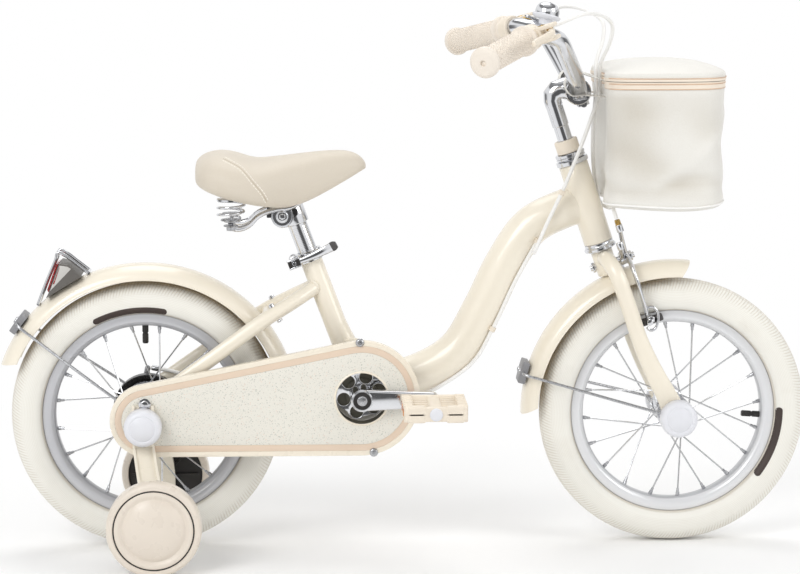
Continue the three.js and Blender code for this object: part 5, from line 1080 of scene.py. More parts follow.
# %% [markdown]
# Each brake lever has a clamp with a horn, in which the blade pivots on a pin. The blade is lofted: deep at
# the pin, slim along its length, and rounded at the tip.

# %% Lever clamps and blades
def lever_frame(side):
    start, along = grip_frame(side)
    centre = start - along * 8.7
    ahead = (STEER_AHEAD * 0.857 + Y * side * 0.515).normalized()
    return centre, along, ahead, centre + ahead * 29.92


def cable_start(side):
    """Where the cable leaves the clamp, and which way it points."""
    centre, along, ahead = lever_frame(side)[:3]
    return centre + ahead * 15 - along * 5.5 + STEER_AXIS * 4.5, (ahead * 0.6 - along * 0.8).normalized()


def lever_size(share):
    """Half height and half width of a blade, rounded at the pin and at the tip."""
    near = min(1, share / 0.03) ** 0.5
    tip = min(1, (1 - share) / 0.06) ** 0.5
    high = (5.2 - 1.2 * share) * max(near, 0.3) * max(tip, 0.25)
    return high, (4.2 - 1.2 * min(1, share * 3)) * max(near, 0.4) * max(tip, 0.3)


def knurled(low, high, start):
    """Nine fine steps of a knurled barrel, as a part of a profile."""
    return [(high if i % 2 else low, start + i * 0.7) for i in range(9)]


for side, word in NAMED_SIDES:
    centre, along, ahead, pivot = lever_frame(side)
    axis = along.cross(ahead)
    turn = Matrix((along, ahead, axis)).transposed()
    bm = bmesh.new()
    turned(bm, [(11.8, -8.6), (14.6, -8.6), (16, -7.2), (16.6, 0), (16, 7.2), (14.6, 8.6), (11.8, 8.6)],
           centre, along, 48, closed=True)
    for level in (-1, 1):
        block(bm, centre + ahead * 23 + axis * level * 8, (20, 29, 5.2), 2, turn)
    block(bm, centre + ahead * 15, (21, 13, 20), 3.6, turn)
    piece(f"lever_clamp_{word}_body", "steering", beige_plastic, bm, (f"lever_clamp_{word}",), 36)
    bm = bmesh.new()
    turned(bm, [(0, 0), (4, 0), (4, 4), (3.4, 4.4), (3.4, 5.2)] + knurled(3.6, 4, 5.6)
           + [(3.2, 12.6), (3.2, 15.4), (2.9, 15.9), (0, 15.9)], *cable_start(side), 24)
    rod(bm, pivot - axis * 10.4, pivot + axis * 10.4, 3.4, round_edge=0.8)
    for level in (-1, 1):
        turned(bm, [(0, 1.2), (1.6, 1.1), (2, 2), (4.2, 1.8), (5, 0.9), (5, -0.6), (0, -0.6)],
               centre + ahead * 20 + axis * level * 9.4, axis * level, 24)
    piece(f"lever_{word}_adjuster_and_pin", "steering", brass, bm, (), 30)
    bm = bmesh.new()
    spots = [(-4.55, 0), (6.5, 3), (27.6, 15), (59.8, 13.2), (82.8, 15), (92, 19.8)]
    bent_oval(bm, [pivot + along * a + ahead * b for a, b in spots], lever_size, 30, axis)
    piece(f"brake_lever_{word}_blade", f"brake_lever_{word}", beige_plastic, bm, (f"brake_lever_{word}",), 50)
print("levers made")

# %% [markdown]
# The bell is a chromed dome on a pale foot that is strapped to the left rise of the bar, with a striker
# for the thumb.

# %% Bell
BELL_FOOT = steer(22.44, 95.85, 516.85)
BELL_WAY = Vector((0.24, 0.1, 0.966)).normalized()
bm = bmesh.new()
turned(bm, [(0, 21), (15.4, 21), (16.2, 21.4), (16.4, 22.4), (16.4, 26), (15.9, 29.4), (14.6, 32.6),
            (12.3, 35.4), (9.2, 37.3), (5.2, 38.2), (2.6, 38.4), (2.2, 39), (0, 39.1)],
            BELL_FOOT + BELL_WAY * 2.4, BELL_WAY, 56)
piece("bell_dome", "steering", chrome, bm, ("bell",), 40)
bm = bmesh.new()
turned(bm, [(0, 8), (8, 8), (8.6, 13.2), (9.4, 15), (14.8, 15.8), (18.2, 17.8), (19.2, 20), (18.8, 21.4),
            (17.6, 21.8), (17, 20.8), (0, 20.8)], BELL_FOOT + BELL_WAY * 2.4, BELL_WAY, 48)
piece("bell_foot", "steering", white_plastic, bm, ("bell",), 36)
bm = bmesh.new()
pivot = Vector((528.597, 111.218, 675.669))
bell_side = (Y - BELL_WAY * Y.dot(BELL_WAY)).normalized()
tip = pivot + BELL_WAY.cross(bell_side) * 24 + BELL_WAY * 4.4
tube(bm, [pivot, (pivot + tip) / 2 + BELL_WAY * 0.5, tip], [2.2, 1.9, 1.8], fine=4)
loft(bm, [(tip - BELL_WAY * 2.2, BELL_WAY, 2.2, 2.2), (tip - BELL_WAY * 1.2, BELL_WAY, 4, 4),
          (tip + BELL_WAY * 0.8, BELL_WAY, 4.6, 4.6), (tip + BELL_WAY * 2.2, BELL_WAY, 3, 3)], side=bell_side)
piece("bell_striker_thumb", "bell_striker", chrome, bm, ("bell_striker",), 50)
print("bell made")


# %% [markdown]
# A fender is a bowed sheet that follows the wheel. Its section is drawn at one end, with both of its
# faces, and spun through the fender's angle. The lips are rolled, as on pressed steel. A thin lining
# just inside the sheet is a darker brown cream: painted shade on the fender's underside.

# %% Fenders
def sector(target, ring, axle, start, end, steps=56):
    """Spins a closed ring of (radius, y) about an axle from one angle to another, with both ends closed."""
    bm = bmesh.new()
    verts = [bm.verts.new(about(axle, radius, start, y)) for radius, y in ring]
    edges = [bm.edges.new(pair) for pair in zip(verts, verts[1:] + verts[:1])]
    bmesh.ops.spin(bm, geom=verts + edges, cent=axle, axis=-Y, angle=math.radians(end - start), steps=steps)
    bmesh.ops.holes_fill(bm, edges=bm.edges, sides=0)
    put(target, bm)


def bow(outer, wide, depth, count=18):
    turns = [math.pi * (i / count - 0.5) for i in range(count + 1)]
    return [(outer - depth + depth * math.cos(t), wide * math.sin(t)) for t in turns]


FENDER_TOP, FENDER_HALF, FENDER_DEPTH, FENDER_SHEET = 199.2, 28.5, 19.4, 1.3
END_SLANT = 10.5


def slanted(bm, axle, start, end):
    """Cuts both ends of a fender on a slant: the lips are shorter than the crown."""
    for vert in bm.verts:
        away = vert.co - axle
        distance = math.hypot(away.x, away.z)
        angle = math.degrees(math.atan2(away.z, away.x))
        share = (angle + (360 if angle < start - 90 else 0) - start) / (end - start)
        drop = min(1, max(0, (FENDER_TOP - distance) / FENDER_DEPTH))
        cut = math.degrees(END_SLANT * drop / distance)
        vert.co = about(axle, distance, start + cut + share * (end - start - 2 * cut), away.y)


def fender(name, axle, body, start, end):
    outside = bow(FENDER_TOP, FENDER_HALF, FENDER_DEPTH)
    inside = bow(FENDER_TOP - FENDER_SHEET, FENDER_HALF - FENDER_SHEET, FENDER_DEPTH - FENDER_SHEET)
    # The lining takes the darker brown cream, as painted shade under the fender.
    lining = bow(FENDER_TOP - 1.5, FENDER_HALF - 1.5, FENDER_DEPTH - 1.5)
    lining_back = bow(FENDER_TOP - 1.2, FENDER_HALF - 1.2, FENDER_DEPTH - 1.2)
    sheet, under = bmesh.new(), bmesh.new()
    sector(sheet, outside + list(reversed(inside)), axle, start, end)
    lip_radius = FENDER_TOP - FENDER_DEPTH + 0.5
    for side in SIDES:
        turns = [FULL_TURN * i / 8 for i in range(8)]
        lip = [(lip_radius + 1.5 * math.cos(t), side * 27.3 + 1.4 * math.sin(t)) for t in turns]
        sector(sheet, lip, axle, start, end)
    sector(under, lining_back + list(reversed(lining)), axle, start + 0.1, end - 0.1)
    slanted(sheet, axle, start, end)
    slanted(under, axle, start, end)
    piece(name + "_sheet", body, cream_paint, sheet, (name,), 40)
    piece(name + "_underside", body, painted_shade_lining_paint, under, (), 40)


fender("rear_fender", REAR_AXLE, "frame", 3, 160)
fender("front_fender", FRONT_AXLE, "steering", 84, 181)
print("fenders made")

# %% [markdown]
# Each fender is steadied by two thin wires. A grey clip holds them on the fender, and their far ends are
# eyes around the axle nuts or at the dropouts.

# %% Fender stays
CLIP_RADIUS, CLIP_TOP = 198.8, 208.1


def stay(name, axle, body, clip_angle, eye, eye_spread):
    reach = math.degrees(14 / CLIP_RADIUS)
    bm = bmesh.new()
    section = [(199.1, -20), (199.1, 20), (207.2, 17), (CLIP_TOP, 15.4), (CLIP_TOP, -15.4), (207.2, -17)]
    sector(bm, section, axle, clip_angle - reach, clip_angle + reach, 8)
    rounded(bm, sharp_edges(bm, 40), 0.9, 2)
    piece(name + "_clip", body, grey_plastic, bm, (name,), 40)
    bm = bmesh.new()
    far = about(axle, CLIP_RADIUS, clip_angle)
    for side in SIDES:
        outside_eye = side * (eye_spread + 1)
        route = [about(axle, 203.3, clip_angle, side * 10), about(axle, 203.3, clip_angle, side * 30.4),
                 about(axle, 178.8, clip_angle, side * 34.96), beside(eye.lerp(far, 0.2), outside_eye),
                 beside(eye + (far - eye).normalized() * 10, outside_eye)]
        tube(bm, smooth_path(route, 34), 1.9, fine=3, steps=2)
        collar(bm, 5.6, 11, -1.2, 1.2, 0.4, beside(eye, side * eye_spread), Y, 32)
    piece(name + "_wires", body, steel, bm, (name,), 40)
    bm = bmesh.new()
    out = about(axle, 1, clip_angle) - axle
    for y in (-9, 9):
        turned(bm, [(0, 0.9), (1.4, 1.3), (1.4, 2.0), (2.6, 1.8), (3.4, 0.8), (3.6, -0.4), (0, -0.4)],
               about(axle, CLIP_TOP, clip_angle, y), out, 20)
    piece(name + "_screws", body, steel, bm)


stay("rear_fender_stay", REAR_AXLE, "frame", 143, Vector((-15.2, 0, 191.8)), 61)
stay("front_fender_stay", FRONT_AXLE, "steering", 165, FRONT_AXLE.copy(), 56)
bm = bmesh.new()
for angle, bolts in ((HIGH_BRIDGE, (-12, 12)), (LOW_BRIDGE, (0,))):
    for y in bolts:
        rod(bm, about(REAR_AXLE, 199.8, angle, y), about(REAR_AXLE, 195.4, angle, y), 3.4, sides=6,
            round_edge=0.6)
piece("fender_bolts", "frame", steel, bm)
print("stays made")

# %% [markdown]
# The chain guard is a long plate with a round end over each sprocket. It is made of three nested parts: a
# glossy cream edge that turns inwards, a tan band, and a flecked panel with a round window.
# An outline around two circles gives all of them, each time with a smaller radius.

# %% Chain guard
def around_two(inset, steps=40):
    """The outline around the guard's two circles, drawn in from its edge by an inset."""
    rear, front = Vector((4, 180)), Vector((BRACKET_X, BRACKET_HEIGHT))
    small, large = 47 - inset, 74.5 - inset
    span = front - rear
    lean = math.atan2(span.y, span.x)
    tangent = math.acos((small - large) / span.length)
    front_turns = [lean - tangent + 2 * tangent * i / steps for i in range(steps + 1)]
    rear_turns = [lean + tangent + (FULL_TURN - 2 * tangent) * i / steps for i in range(steps + 1)]
    front_part = [front + Vector((math.cos(a), math.sin(a))) * large for a in front_turns]
    rear_part = [rear + Vector((math.cos(a), math.sin(a))) * small for a in rear_turns]
    return [tuple(p) for p in front_part + rear_part]


window, axle_hole = circle(BRACKET_X, BRACKET_HEIGHT, 34, 64), circle(0, AXLE_HEIGHT, 14)
bm = bmesh.new()
plate(bm, [around_two(0), around_two(6.5)], -76, -74.6, round_edge=0.5)
plate(bm, [around_two(0), around_two(1.5)], -75.2, -65, round_edge=0.4)
piece("chain_guard_edge", "frame", guard_cream, bm, ("chain_guard",), 40)
bm = bmesh.new()
plate(bm, [around_two(6.6), around_two(14.8)], -75.7, -74.5, round_edge=0.35)
piece("chain_guard_band", "frame", guard_tan, bm, ("chain_guard",), 40)
bm = bmesh.new()
plate(bm, [around_two(14.9), window, axle_hole], -76, -74.5, round_edge=0.35)
piece("chain_guard_panel", "frame", guard_panel, bm, ("chain_guard",), 40)
bm = bmesh.new()
turned(bm, [(33.2, -76.8), (34.4, -77.2), (35.4, -76.6), (35.6, -75.9), (33.8, -75.9), (33.8, -74.6),
            (33.2, -74.6)],
       BRACKET, Y, 72, closed=True)
piece("chain_guard_window_ring", "frame", guard_cream, bm)
bm = bmesh.new()
for x, z in ((276.6, 279.6), (294.2, 136.8)):
    turned(bm, [(0, 1.9), (1.6, 1.6), (1.9, 2.7), (3.2, 2.8), (4.8, 2.0), (5.6, 0.6), (5.6, -0.3), (0, -0.3)],
           (x, -76, z), -Y, 28)
piece("chain_guard_screws", "frame", steel, bm)
print("chain guard made")


# %% [markdown]
# The chainring is a flat plate. Its outline runs round the teeth, and a ring of windows lightens it. The
# freewheel at the back is a smaller one.

# %% Sprockets
RING_RADIUS, FREEWHEEL_RADIUS, CHAIN_LINE = 56.71, 32.55, 45.5
TOOTH = ((-0.2, -3.7), (0, -4.1), (0.2, -3.7), (0.32, -1.2), (0.42, 2.4), (0.5, 3.7), (0.58, 2.4),
         (0.68, -1.2))
DRIVE_HEADING = math.atan2(BRACKET_HEIGHT - AXLE_HEIGHT, BRACKET_X)


def teeth(centre, radius, count):
    """The outline of a sprocket. A tooth is given as (share of its step, distance out)."""
    outline = []
    for tooth in range(count):
        for share, out in TOOTH:
            angle = DRIVE_HEADING + (tooth + share) * FULL_TURN / count
            outline.append((centre.x + (radius + out) * math.cos(angle),
                            centre.z + (radius + out) * math.sin(angle)))
    return outline


bm = bmesh.new()
plate(bm, [teeth(BRACKET, RING_RADIUS, 28), circle(BRACKET_X, BRACKET_HEIGHT, 33.4, 60)], -46.7, -44.3,
      round_edge=0.35)
collar(bm, 14.3, 21.2, -2.4, 2.4, 0.8, beside(BRACKET, -CHAIN_LINE), Y)
turned(bm, [(14.3, -44.9), (34.2, -44.9), (34.2, -44.1), (14.3, -44.1)], BRACKET, Y, 60, closed=True)
piece("chainring_plate", "crank", olive_steel, bm, ("chainring",), 40)
bm = bmesh.new()
windows = [about(BRACKET, 23.4, 60 * (i + 0.25)) for i in range(6)]
plate(bm, [circle(BRACKET_X, BRACKET_HEIGHT, 34.4, 64), circle(BRACKET_X, BRACKET_HEIGHT, 13.4)]
      + [circle(spot.x, spot.z, 8.2, 28) for spot in windows], -48.6, -45, round_edge=0.8, segments=3)
piece("chainring_spider", "crank", chrome, bm, ("chainring",), 40)
bm = bmesh.new()
plate(bm, [teeth(REAR_AXLE, FREEWHEEL_RADIUS, 16), circle(0, AXLE_HEIGHT, 9, 32)], -46.7, -44.3,
      round_edge=0.3)
turned(bm, [(9, -46.9), (21.6, -46.9), (22.6, -46), (22.6, -36), (9, -36)], REAR_AXLE, Y, 40, closed=True)
piece("freewheel_sprocket", "freewheel", steel, bm, ("freewheel",), 36)
print("sprockets made")

# %% [markdown]
# The chain has sixty-six links. Outer and inner links take turns, and the plates and rollers of each
# link are built at its place along the loop around both sprockets.

# %% Chain
LINK_COUNT = 66


def chain_spots():
    front, rear = RING_RADIUS, FREEWHEEL_RADIUS
    distance = math.hypot(BRACKET_X, BRACKET_HEIGHT - AXLE_HEIGHT)
    taper = math.asin((front - rear) / distance)
    straight = distance * math.cos(taper)
    front_arc, rear_arc = front * (math.pi + 2 * taper), rear * (math.pi - 2 * taper)
    total = 2 * straight + front_arc + rear_arc
    bend = math.pi / 2 + taper
    spots = []
    for index in range(LINK_COUNT):
        s = index * total / LINK_COUNT
        past = s - front_arc / 2
        centre, radius, angle, slide = BRACKET, front, 0, 0
        if s < front_arc / 2:
            angle = DRIVE_HEADING + s / front
        elif s > total - front_arc / 2:
            angle = DRIVE_HEADING - (total - s) / front
        elif past < straight:
            angle, slide = DRIVE_HEADING + bend, past
        elif past - straight < rear_arc:
            centre, radius = REAR_AXLE, rear
            angle = DRIVE_HEADING + bend + (past - straight) / rear
        else:
            centre, radius = REAR_AXLE, rear
            angle, slide = DRIVE_HEADING - bend, past - straight - rear_arc
        out = Vector((math.cos(angle), 0, math.sin(angle)))
        onward = Vector((-math.sin(angle), 0, math.cos(angle)))
        spots.append(centre + out * radius + onward * slide - Y * CHAIN_LINE)
    return spots


def lying(at, along):
    """A place at a point, with its X axis along a way in the bike's plane."""
    return Matrix.Translation(at) @ Matrix((along, Y, along.cross(Y))).transposed().to_4x4()


def link(target, start, end, inside):
    place = lying((start + end) / 2, (end - start).normalized())
    half_pitch = (end - start).length / 2
    end = [(half_pitch + 3.9 * math.cos(a), 3.9 * math.sin(a)) for a in (-1.2, -0.6, 0, 0.6, 1.2)]
    outline = end + [(0, 2.9)] + [(-x, z) for x, z in reversed(end)] + [(0, -2.9)]
    for side in SIDES:
        near = 1.95 if inside else 2.95
        plate(target, [outline], *sorted((side * near, side * (near + 0.9))), place, round_edge=0)


spots = chain_spots()
plates, rollers = bmesh.new(), bmesh.new()
for index, (start, end) in enumerate(zip(spots, spots[1:] + spots[:1])):
    link(plates, start, end, index % 2 == 0)
    rod(rollers, start - Y * 4.1, start + Y * 4.1, 1.8, sides=8)
    rod(rollers, start - Y * 1.7, start + Y * 1.7, 3.6, sides=12)
piece("chain_plates", "frame", spring_steel, plates, ("chain",), 30)
piece("chain_rollers", "frame", steel, rollers, ("chain",), 30)
print("chain made of", len(spots), "links")

# %% [markdown]
# A crank arm is a plate that narrows from the boss to the eye, and its long edges are well rounded. Each
# arm carries a black dust cap with a zinc-plated bolt in the middle.

# %% Cranks
def arm_outline(reach):
    half_turn = [math.radians(90 + 180 * i / 16) for i in range(17)]
    side = 1 if reach > 0 else -1
    boss = [(14 * math.cos(a) * side, 14 * math.sin(a) * side) for a in half_turn]
    eye = [(reach - 10 * math.cos(a) * side, -10 * math.sin(a) * side) for a in half_turn]
    return [(BRACKET_X + x, BRACKET_HEIGHT + z) for x, z in boss + eye]


for side, word, low, high, reach in ((RIGHT, "right", -92, -80, 89), (LEFT, "left", 62, 74, -89)):
    bm = bmesh.new()
    plate(bm, [arm_outline(reach)], low, high, round_edge=3.2, segments=4)
    boss_low, boss_high = (-93.2, -48) if side == RIGHT else (61, 75.2)
    turned(bm, [(0, boss_low), (12.4, boss_low), (14.4, boss_low + 2), (14.4, boss_high - 2),
                (12.4, boss_high), (0, boss_high)],
           BRACKET, Y, 48)
    piece(f"crank_{word}_arm", "crank", chrome, bm, (f"crank_{word}",), 40)
    bm = bmesh.new()
    outside = -1 if side == RIGHT else 1
    face = beside(BRACKET, low if side == RIGHT else high)
    turned(bm, [(6.4, 0), (11.2, 0), (11.8, 0.8), (11.2, 1.9), (7.4, 2.2), (6.4, 1.6)], face, Y * outside, 44,
           closed=True)
    piece(f"crank_{word}_dust_cap", "crank", dark_plastic, bm)
    bm = bmesh.new()
    if side == RIGHT:
        rod(bm, BRACKET - Y * 46, BRACKET + Y * 61.5, 8)
    rod(bm, face, face + Y * outside * 1.5, 6, sides=6, round_edge=0.5)
    far = low - 94.5 if side == RIGHT else high + 94.5
    pedal_axle = BRACKET + X * reach
    rod(bm, beside(pedal_axle, low + 6), beside(pedal_axle, far * 0.985), 4)
    rod(bm, beside(pedal_axle, face.y), beside(pedal_axle, face.y + outside * 3.4), 6.4, sides=6,
        round_edge=0.6)
    piece(f"crank_{word}_bolt_and_axle", "crank", steel, bm)
print("cranks made")

# %% [markdown]
# A pedal is a moulded cage around a barrel. Its two treads have a row of ribs for the shoe.

# %% Pedals
for word, body, x, y in (("right", "pedal_right", 368, -142), ("left", "pedal_left", 190, 124)):
    bm = bmesh.new()
    centre = Vector((x, y, BRACKET_HEIGHT))
    out = -1 if y < 0 else 1
    for end in (-1, 1):
        block(bm, centre + Y * end * 39.2, (79, 9, 19), 3.4)
        block(bm, centre + X * end * 33.6, (12, 78, 20), 2.8)
        for high in (-1, 1):
            block(bm, centre + X * end * 24 + Y * out * 39.6 + Z * high * 3.4, (23, 9.4, 15), 3.2)
    block(bm, centre, (17, 80, 17), 4.2)
    for row in range(-3, 4):
        block(bm, centre + Y * row * 11.4, (66, 3.4, 13), 0.8)
        for end in (-1, 1):
            block(bm, centre + X * end * 33.6 + Y * row * 11.4, (12.6, 4.4, 22), 1.2)
    piece(f"pedal_{word}_cage", body, beige_plastic, bm, (f"pedal_{word}",), 36)
    bm = bmesh.new()
    turned(bm, [(0, 46.4), (6.6, 46.2), (7.8, 45.4), (8.2, 44), (8.2, 42), (0, 42)], centre, Y * out, 32)
    piece(f"pedal_{word}_boss", body, white_plastic, bm, (), 50)
    bm = bmesh.new()
    for end in (-1, 1):
        for place in (-1, 1):
            block(bm, centre + X * end * 39.3 + Y * place * 17, (2.4, 24, 9), 0.8)
    piece(f"pedal_{word}_reflectors", body, amber_lens, bm, (), 40)
print("pedals made")

# %% [markdown]
# The lower bearing unit, the rear axle with its nuts and washers, and the white caps on both axles are
# turned parts.

# %% Bearing unit, axle and caps
bm = bmesh.new()
turned(bm, [(8.3, -37.3), (18.6, -37.3), (20, -36.4), (20, -34.4), (16.2, -34.2), (16.2, 34.2), (16.2, 37.3),
            (8.3, 37.3)],
       BRACKET, Y, 48, closed=True)
piece("bearing_unit", "frame", black_steel, bm, ("bottom_bracket",), 34)


def nut(target, at, way, radius=8.6, height=7.2):
    rod(target, at, Vector(at) + Vector(way) * height, radius, sides=6, round_edge=0.9)


bm = bmesh.new()
rod(bm, REAR_AXLE - Y * 89.8, REAR_AXLE + Y * 89.8, 4.85, round_edge=0.7)
for side in SIDES:
    nut(bm, REAR_AXLE + Y * side * 80.1, Y * side)
    turned(bm, [(5.2, 0), (11, 0), (11.4, 0.3), (11.4, 0.8), (5.2, 1.2)], REAR_AXLE + Y * side * 79.4,
           Y * side, 32, closed=True)
piece("rear_axle_and_nuts", "frame", steel, bm, ("rear_axle",), 36)


def cap(target, at, side, radius, plane, depth):
    profile = [(11, plane), (radius - 0.8, plane), (radius, plane + 0.7), (radius + 0.1, plane + depth * 0.6),
               (radius - 0.8, plane + depth * 0.8), (radius - 2.6, plane + depth * 0.93),
               (radius - 5, plane + depth * 0.985), (radius - 7, plane + depth),
               (radius - 7.3, plane + depth - 0.35), (radius - 8.1, plane + depth - 0.35),
               (radius - 8.4, plane + depth), (0, plane + depth)]
    turned(target, profile, at, Y * side, 72)


for side, word in NAMED_SIDES:
    bm = bmesh.new()
    cap(bm, REAR_AXLE, side, 24, 83.6, 22)
    piece(f"rear_cap_{word}", "frame", white_plastic, bm, (f"rear_axle_cap_{word}",), 50)
bm = bmesh.new()
for side in SIDES:
    cap(bm, FRONT_AXLE, side, 24, 59.5, 18)
rod(bm, FRONT_AXLE - Y * 70, FRONT_AXLE + Y * 70, 4.85)
piece("front_axle_caps", "steering", white_plastic, bm, ("front_axle_and_caps",), 50)
print("axles and caps made")

# %% [markdown]
# A training wheel is moulded in one piece. A thin dark joint parts the broad tread from a flat ring, and a
# shallow step leads from the ring to a domed disc. The inner side is a black dish with ribs.

# %% Training wheels
TRAINING_WHEEL_Y, TRAINING_WHEEL_RADIUS = 160, 60
for side, word in NAMED_SIDES:
    centre = Vector((16, side * TRAINING_WHEEL_Y, TRAINING_WHEEL_RADIUS))
    body = f"training_wheel_{word}"
    bm = bmesh.new()
    turned(bm, [(51.1, 12.6), (51.8, 13.8), (54.6, 14.6), (57, 14), (58.8, 12), (59.8, 9), (60, 5.6),
                (60, -6), (59.8, -9.6), (58.6, -12.8), (56.4, -14.6), (52, -14.8), (50.6, -13.6), (50.6, -7),
                (51.1, -6)], centre, Y * side, 96, closed=True)
    piece(body + "_tread", body, wheel_plastic, bm, (body,), 40)
    bm = bmesh.new()
    turned(bm, [(49.4, 5), (49.4, 12.7), (51.6, 12.7), (51.6, 5)], centre, Y * side, 96, closed=True)
    turned(bm, [(5.4, -9.4), (48, -7.6), (50.7, -7.4), (50.7, -6), (5.4, -6)], centre, Y * side, 72,
           closed=True)
    for spoke in range(8):
        turn = Matrix.Rotation(FULL_TURN * spoke / 8, 3, "Y")
        block(bm, centre + turn @ Vector((29, 0, 0)) - Y * side * 9.8, (32, 4, 2.4), 0.5, turn)
    turned(bm, [(5.4, -16.8), (14, -16.6), (14.6, -9), (5.4, -9)], centre, Y * side, 48, closed=True)
    piece(body + "_black_joint_and_dish", body, dark_plastic, bm, (), 40)
    bm = bmesh.new()
    turned(bm, [(0, 21.4), (8, 21.1), (17, 19.9), (26, 17.6), (33, 15), (37.4, 12.6), (38.9, 11.2),
                (39.8, 10.8), (41, 11.1), (43.2, 12.6), (45.2, 13.4), (48, 13.5), (49.3, 12.9), (49.6, 12),
                (49.6, -5.8), (0, -5.8)], centre, Y * side, 96)
    piece(body + "_disc", body, wheel_plastic, bm, (), 50)
print("training wheels made")

# %% [markdown]
# Each training wheel hangs on a pressed channel. The channel's own solid is right and keeps its place. A
# bolt head and a washer are added to it, with a column of thin dark blocks as painted shade in its slots,
# and a bolt across each seat stay.

# %% Bolts of the brackets
bm = bmesh.new()
for side in SIDES:
    face = Vector((2, side * 79.9, 202.6))
    rod(bm, face - Y * side * 1, face + Y * side * 4.4, 5.6, sides=6, round_edge=0.8)
    rod(bm, face - Y * side * 1, face + Y * side * 0.8, 7.8, round_edge=0.3)
    across_stay, middle = Vector((-0.5, 0, 0.866)), Vector((169.2, side * 37.5, 312.4))
    rod(bm, middle - across_stay * 12.6, middle + across_stay * 12.6, 2.2, sides=16)
    turned(bm, [(0, 13.6), (2.6, 13.4), (3.9, 12.2), (4.2, 9.4), (0, 9.4)], middle, across_stay, 20)
    nut(bm, middle - across_stay * 9.6, -across_stay, 4, 3)
piece("bracket_and_stay_bolts", "frame", chrome, bm)
# Thin dark blocks on each channel are painted shade for the inside of its slots.
bm = bmesh.new()
for side in SIDES:
    for level in (150, 141, 132):
        block(bm, Vector((0.8, side * 80.1, level)), (3, 0.5, 5.6), 0.2)
piece("bracket_slot_shade", "frame", dark_plastic, bm)
print("bracket bolts made")

# %% [markdown]
# The band brake is a black drum cover with pressed ribs. A plated arm on it pulls the band.

# %% Band brake
bm = bmesh.new()
turned(bm, [(5.8, 54.2), (11.4, 54.2), (12, 53.6), (12, 49), (14, 48.2), (30, 48.2), (32, 47), (40, 47),
            (42, 48.2), (44.4, 48), (45.4, 46.8), (45.4, 31.8), (44.8, 31.2), (43.8, 31.2), (43.8, 45),
            (14, 45), (5.8, 45)], REAR_AXLE, Y, 64, closed=True)
for spoke in range(6):
    turn = Matrix.Rotation(FULL_TURN * spoke / 6 + 0.3, 3, "Y")
    block(bm, REAR_AXLE + turn @ Vector((22, 0, 0)) + Y * 48.6, (15, 1.8, 3.2), 0.6, turn)
piece("band_brake_drum_cover", "frame", black_steel, bm, ("band_brake_cover",), 36)
bm = bmesh.new()
pivot, tip = Vector((-5.16, 48.5, 201.66)), Vector((-0.66, 48.5, 226.66))
quarter, arm_reach = math.pi / 2, 25.4
outline = circle(0, 0, 4.5, 20, quarter)[:11] + circle(arm_reach, 0, 3.6, 20, -quarter)[:11]
plate(bm, [outline], 0, 3, lying(pivot, (tip - pivot).normalized()), round_edge=0.5)
nut(bm, pivot + Y * 2.8, Y, 5, 2.4)
piece("band_brake_lever", "band_brake_arm", steel, bm, ("band_brake_arm",), 36)
print("band brake made")

# %% [markdown]
# The tail reflector stands on the rear fender in a chromed wire guard. Its red face looks backwards.

# %% Tail reflector
TAIL = Matrix(((0.857, 0, -0.515, -102.5), (0, 1, 0, 0), (0.515, 0, 0.857, 345.7), (0, 0, 0, 1)))
LENS_FOOT, LENS_HEAD = Vector((-21.1, 3.4)), Vector((11.8, 29.8))
bm = bmesh.new()
plate(bm, [[(27, 0), (21.9, 19.9), tuple(LENS_HEAD), tuple(LENS_FOOT), (-27, 0)]], -27, 27, TAIL,
      round_edge=1.4, segments=3)
piece("tail_reflector_body", "frame", housing_grey, bm, ("tail_reflector_housing",), 40)
lens_way = (LENS_HEAD - LENS_FOOT).normalized()
lens_out = Vector((-lens_way.y, lens_way.x))


def on_lens(along, out):
    """A point over the sloping face, given along it from its foot and out of it."""
    return tuple(LENS_FOOT + lens_way * along + lens_out * out)


lens_length = (LENS_HEAD - LENS_FOOT).length
bm = bmesh.new()
plate(bm, [[on_lens(1, 0.2), on_lens(4, 3.2), on_lens(lens_length - 4, 3.2), on_lens(lens_length - 1, 0.2)]],
      -23, 23, TAIL, round_edge=0.9, segments=3)
piece("tail_reflector_red_face", "frame", red_lens, bm, ("tail_reflector_lens",), 40)
bm = bmesh.new()
for side in SIDES:
    face_side = sorted((side * 26.6, side * 27.6))
    plate(bm, [[(21.2, 15.6), (18.6, 20.6), (11.2, 27), (-17.4, 5.2)]], *face_side, TAIL, round_edge=0.4)
piece("tail_reflector_pale_cheeks", "frame", housing_pale, bm, (), 40)
bm = bmesh.new()
for side in SIDES:
    plate(bm, [[(9, 24), (10, 25.4), (-9, 11.2), (-7.6, 10.2)]], *sorted((side * 27.2, side * 28)), TAIL,
          round_edge=0.2)
piece("tail_reflector_red_edges", "frame", red_lens, bm, (), 40)


def sag(x):
    """How far the fender falls away under the reflector's wire guard."""
    return math.sqrt(CLIP_RADIUS ** 2 - x ** 2) - CLIP_RADIUS


bm = bmesh.new()
for side in SIDES:
    hoop = [(35.3, sag(35.3) + 2), (28.7, 16.4), (20.5, 36.1), (16.4, 41), (10.25, 36.1), (-16.4, 16.8),
            (-41, sag(41) + 2)]
    tube(bm, [TAIL @ Vector((x, side * 13.05, z)) for x, z in hoop], 2.2, fine=5, steps=14)
for x in (35.3, -41):
    rod(bm, TAIL @ Vector((x, -13.05, sag(x) + 2)), TAIL @ Vector((x, 13.05, sag(x) + 2)), 2.2, sides=16)
piece("tail_reflector_wire_guard", "frame", chrome, bm, ("tail_reflector_guard",), 50)
print("tail reflector made")

# %% [markdown]
# The saddle is a padded cushion: wide and crowned at the back, slim at the nose, with a skirt that hangs
# around the springs. Its sections are given at seventeen places along it, bridged, and smoothed by a
# subdivision surface, which gives the taut crown of a filled cushion. A cloth simulation would do that too,
# but a cover that is stretched over foam shows hardly any folds, so the shape is drawn.

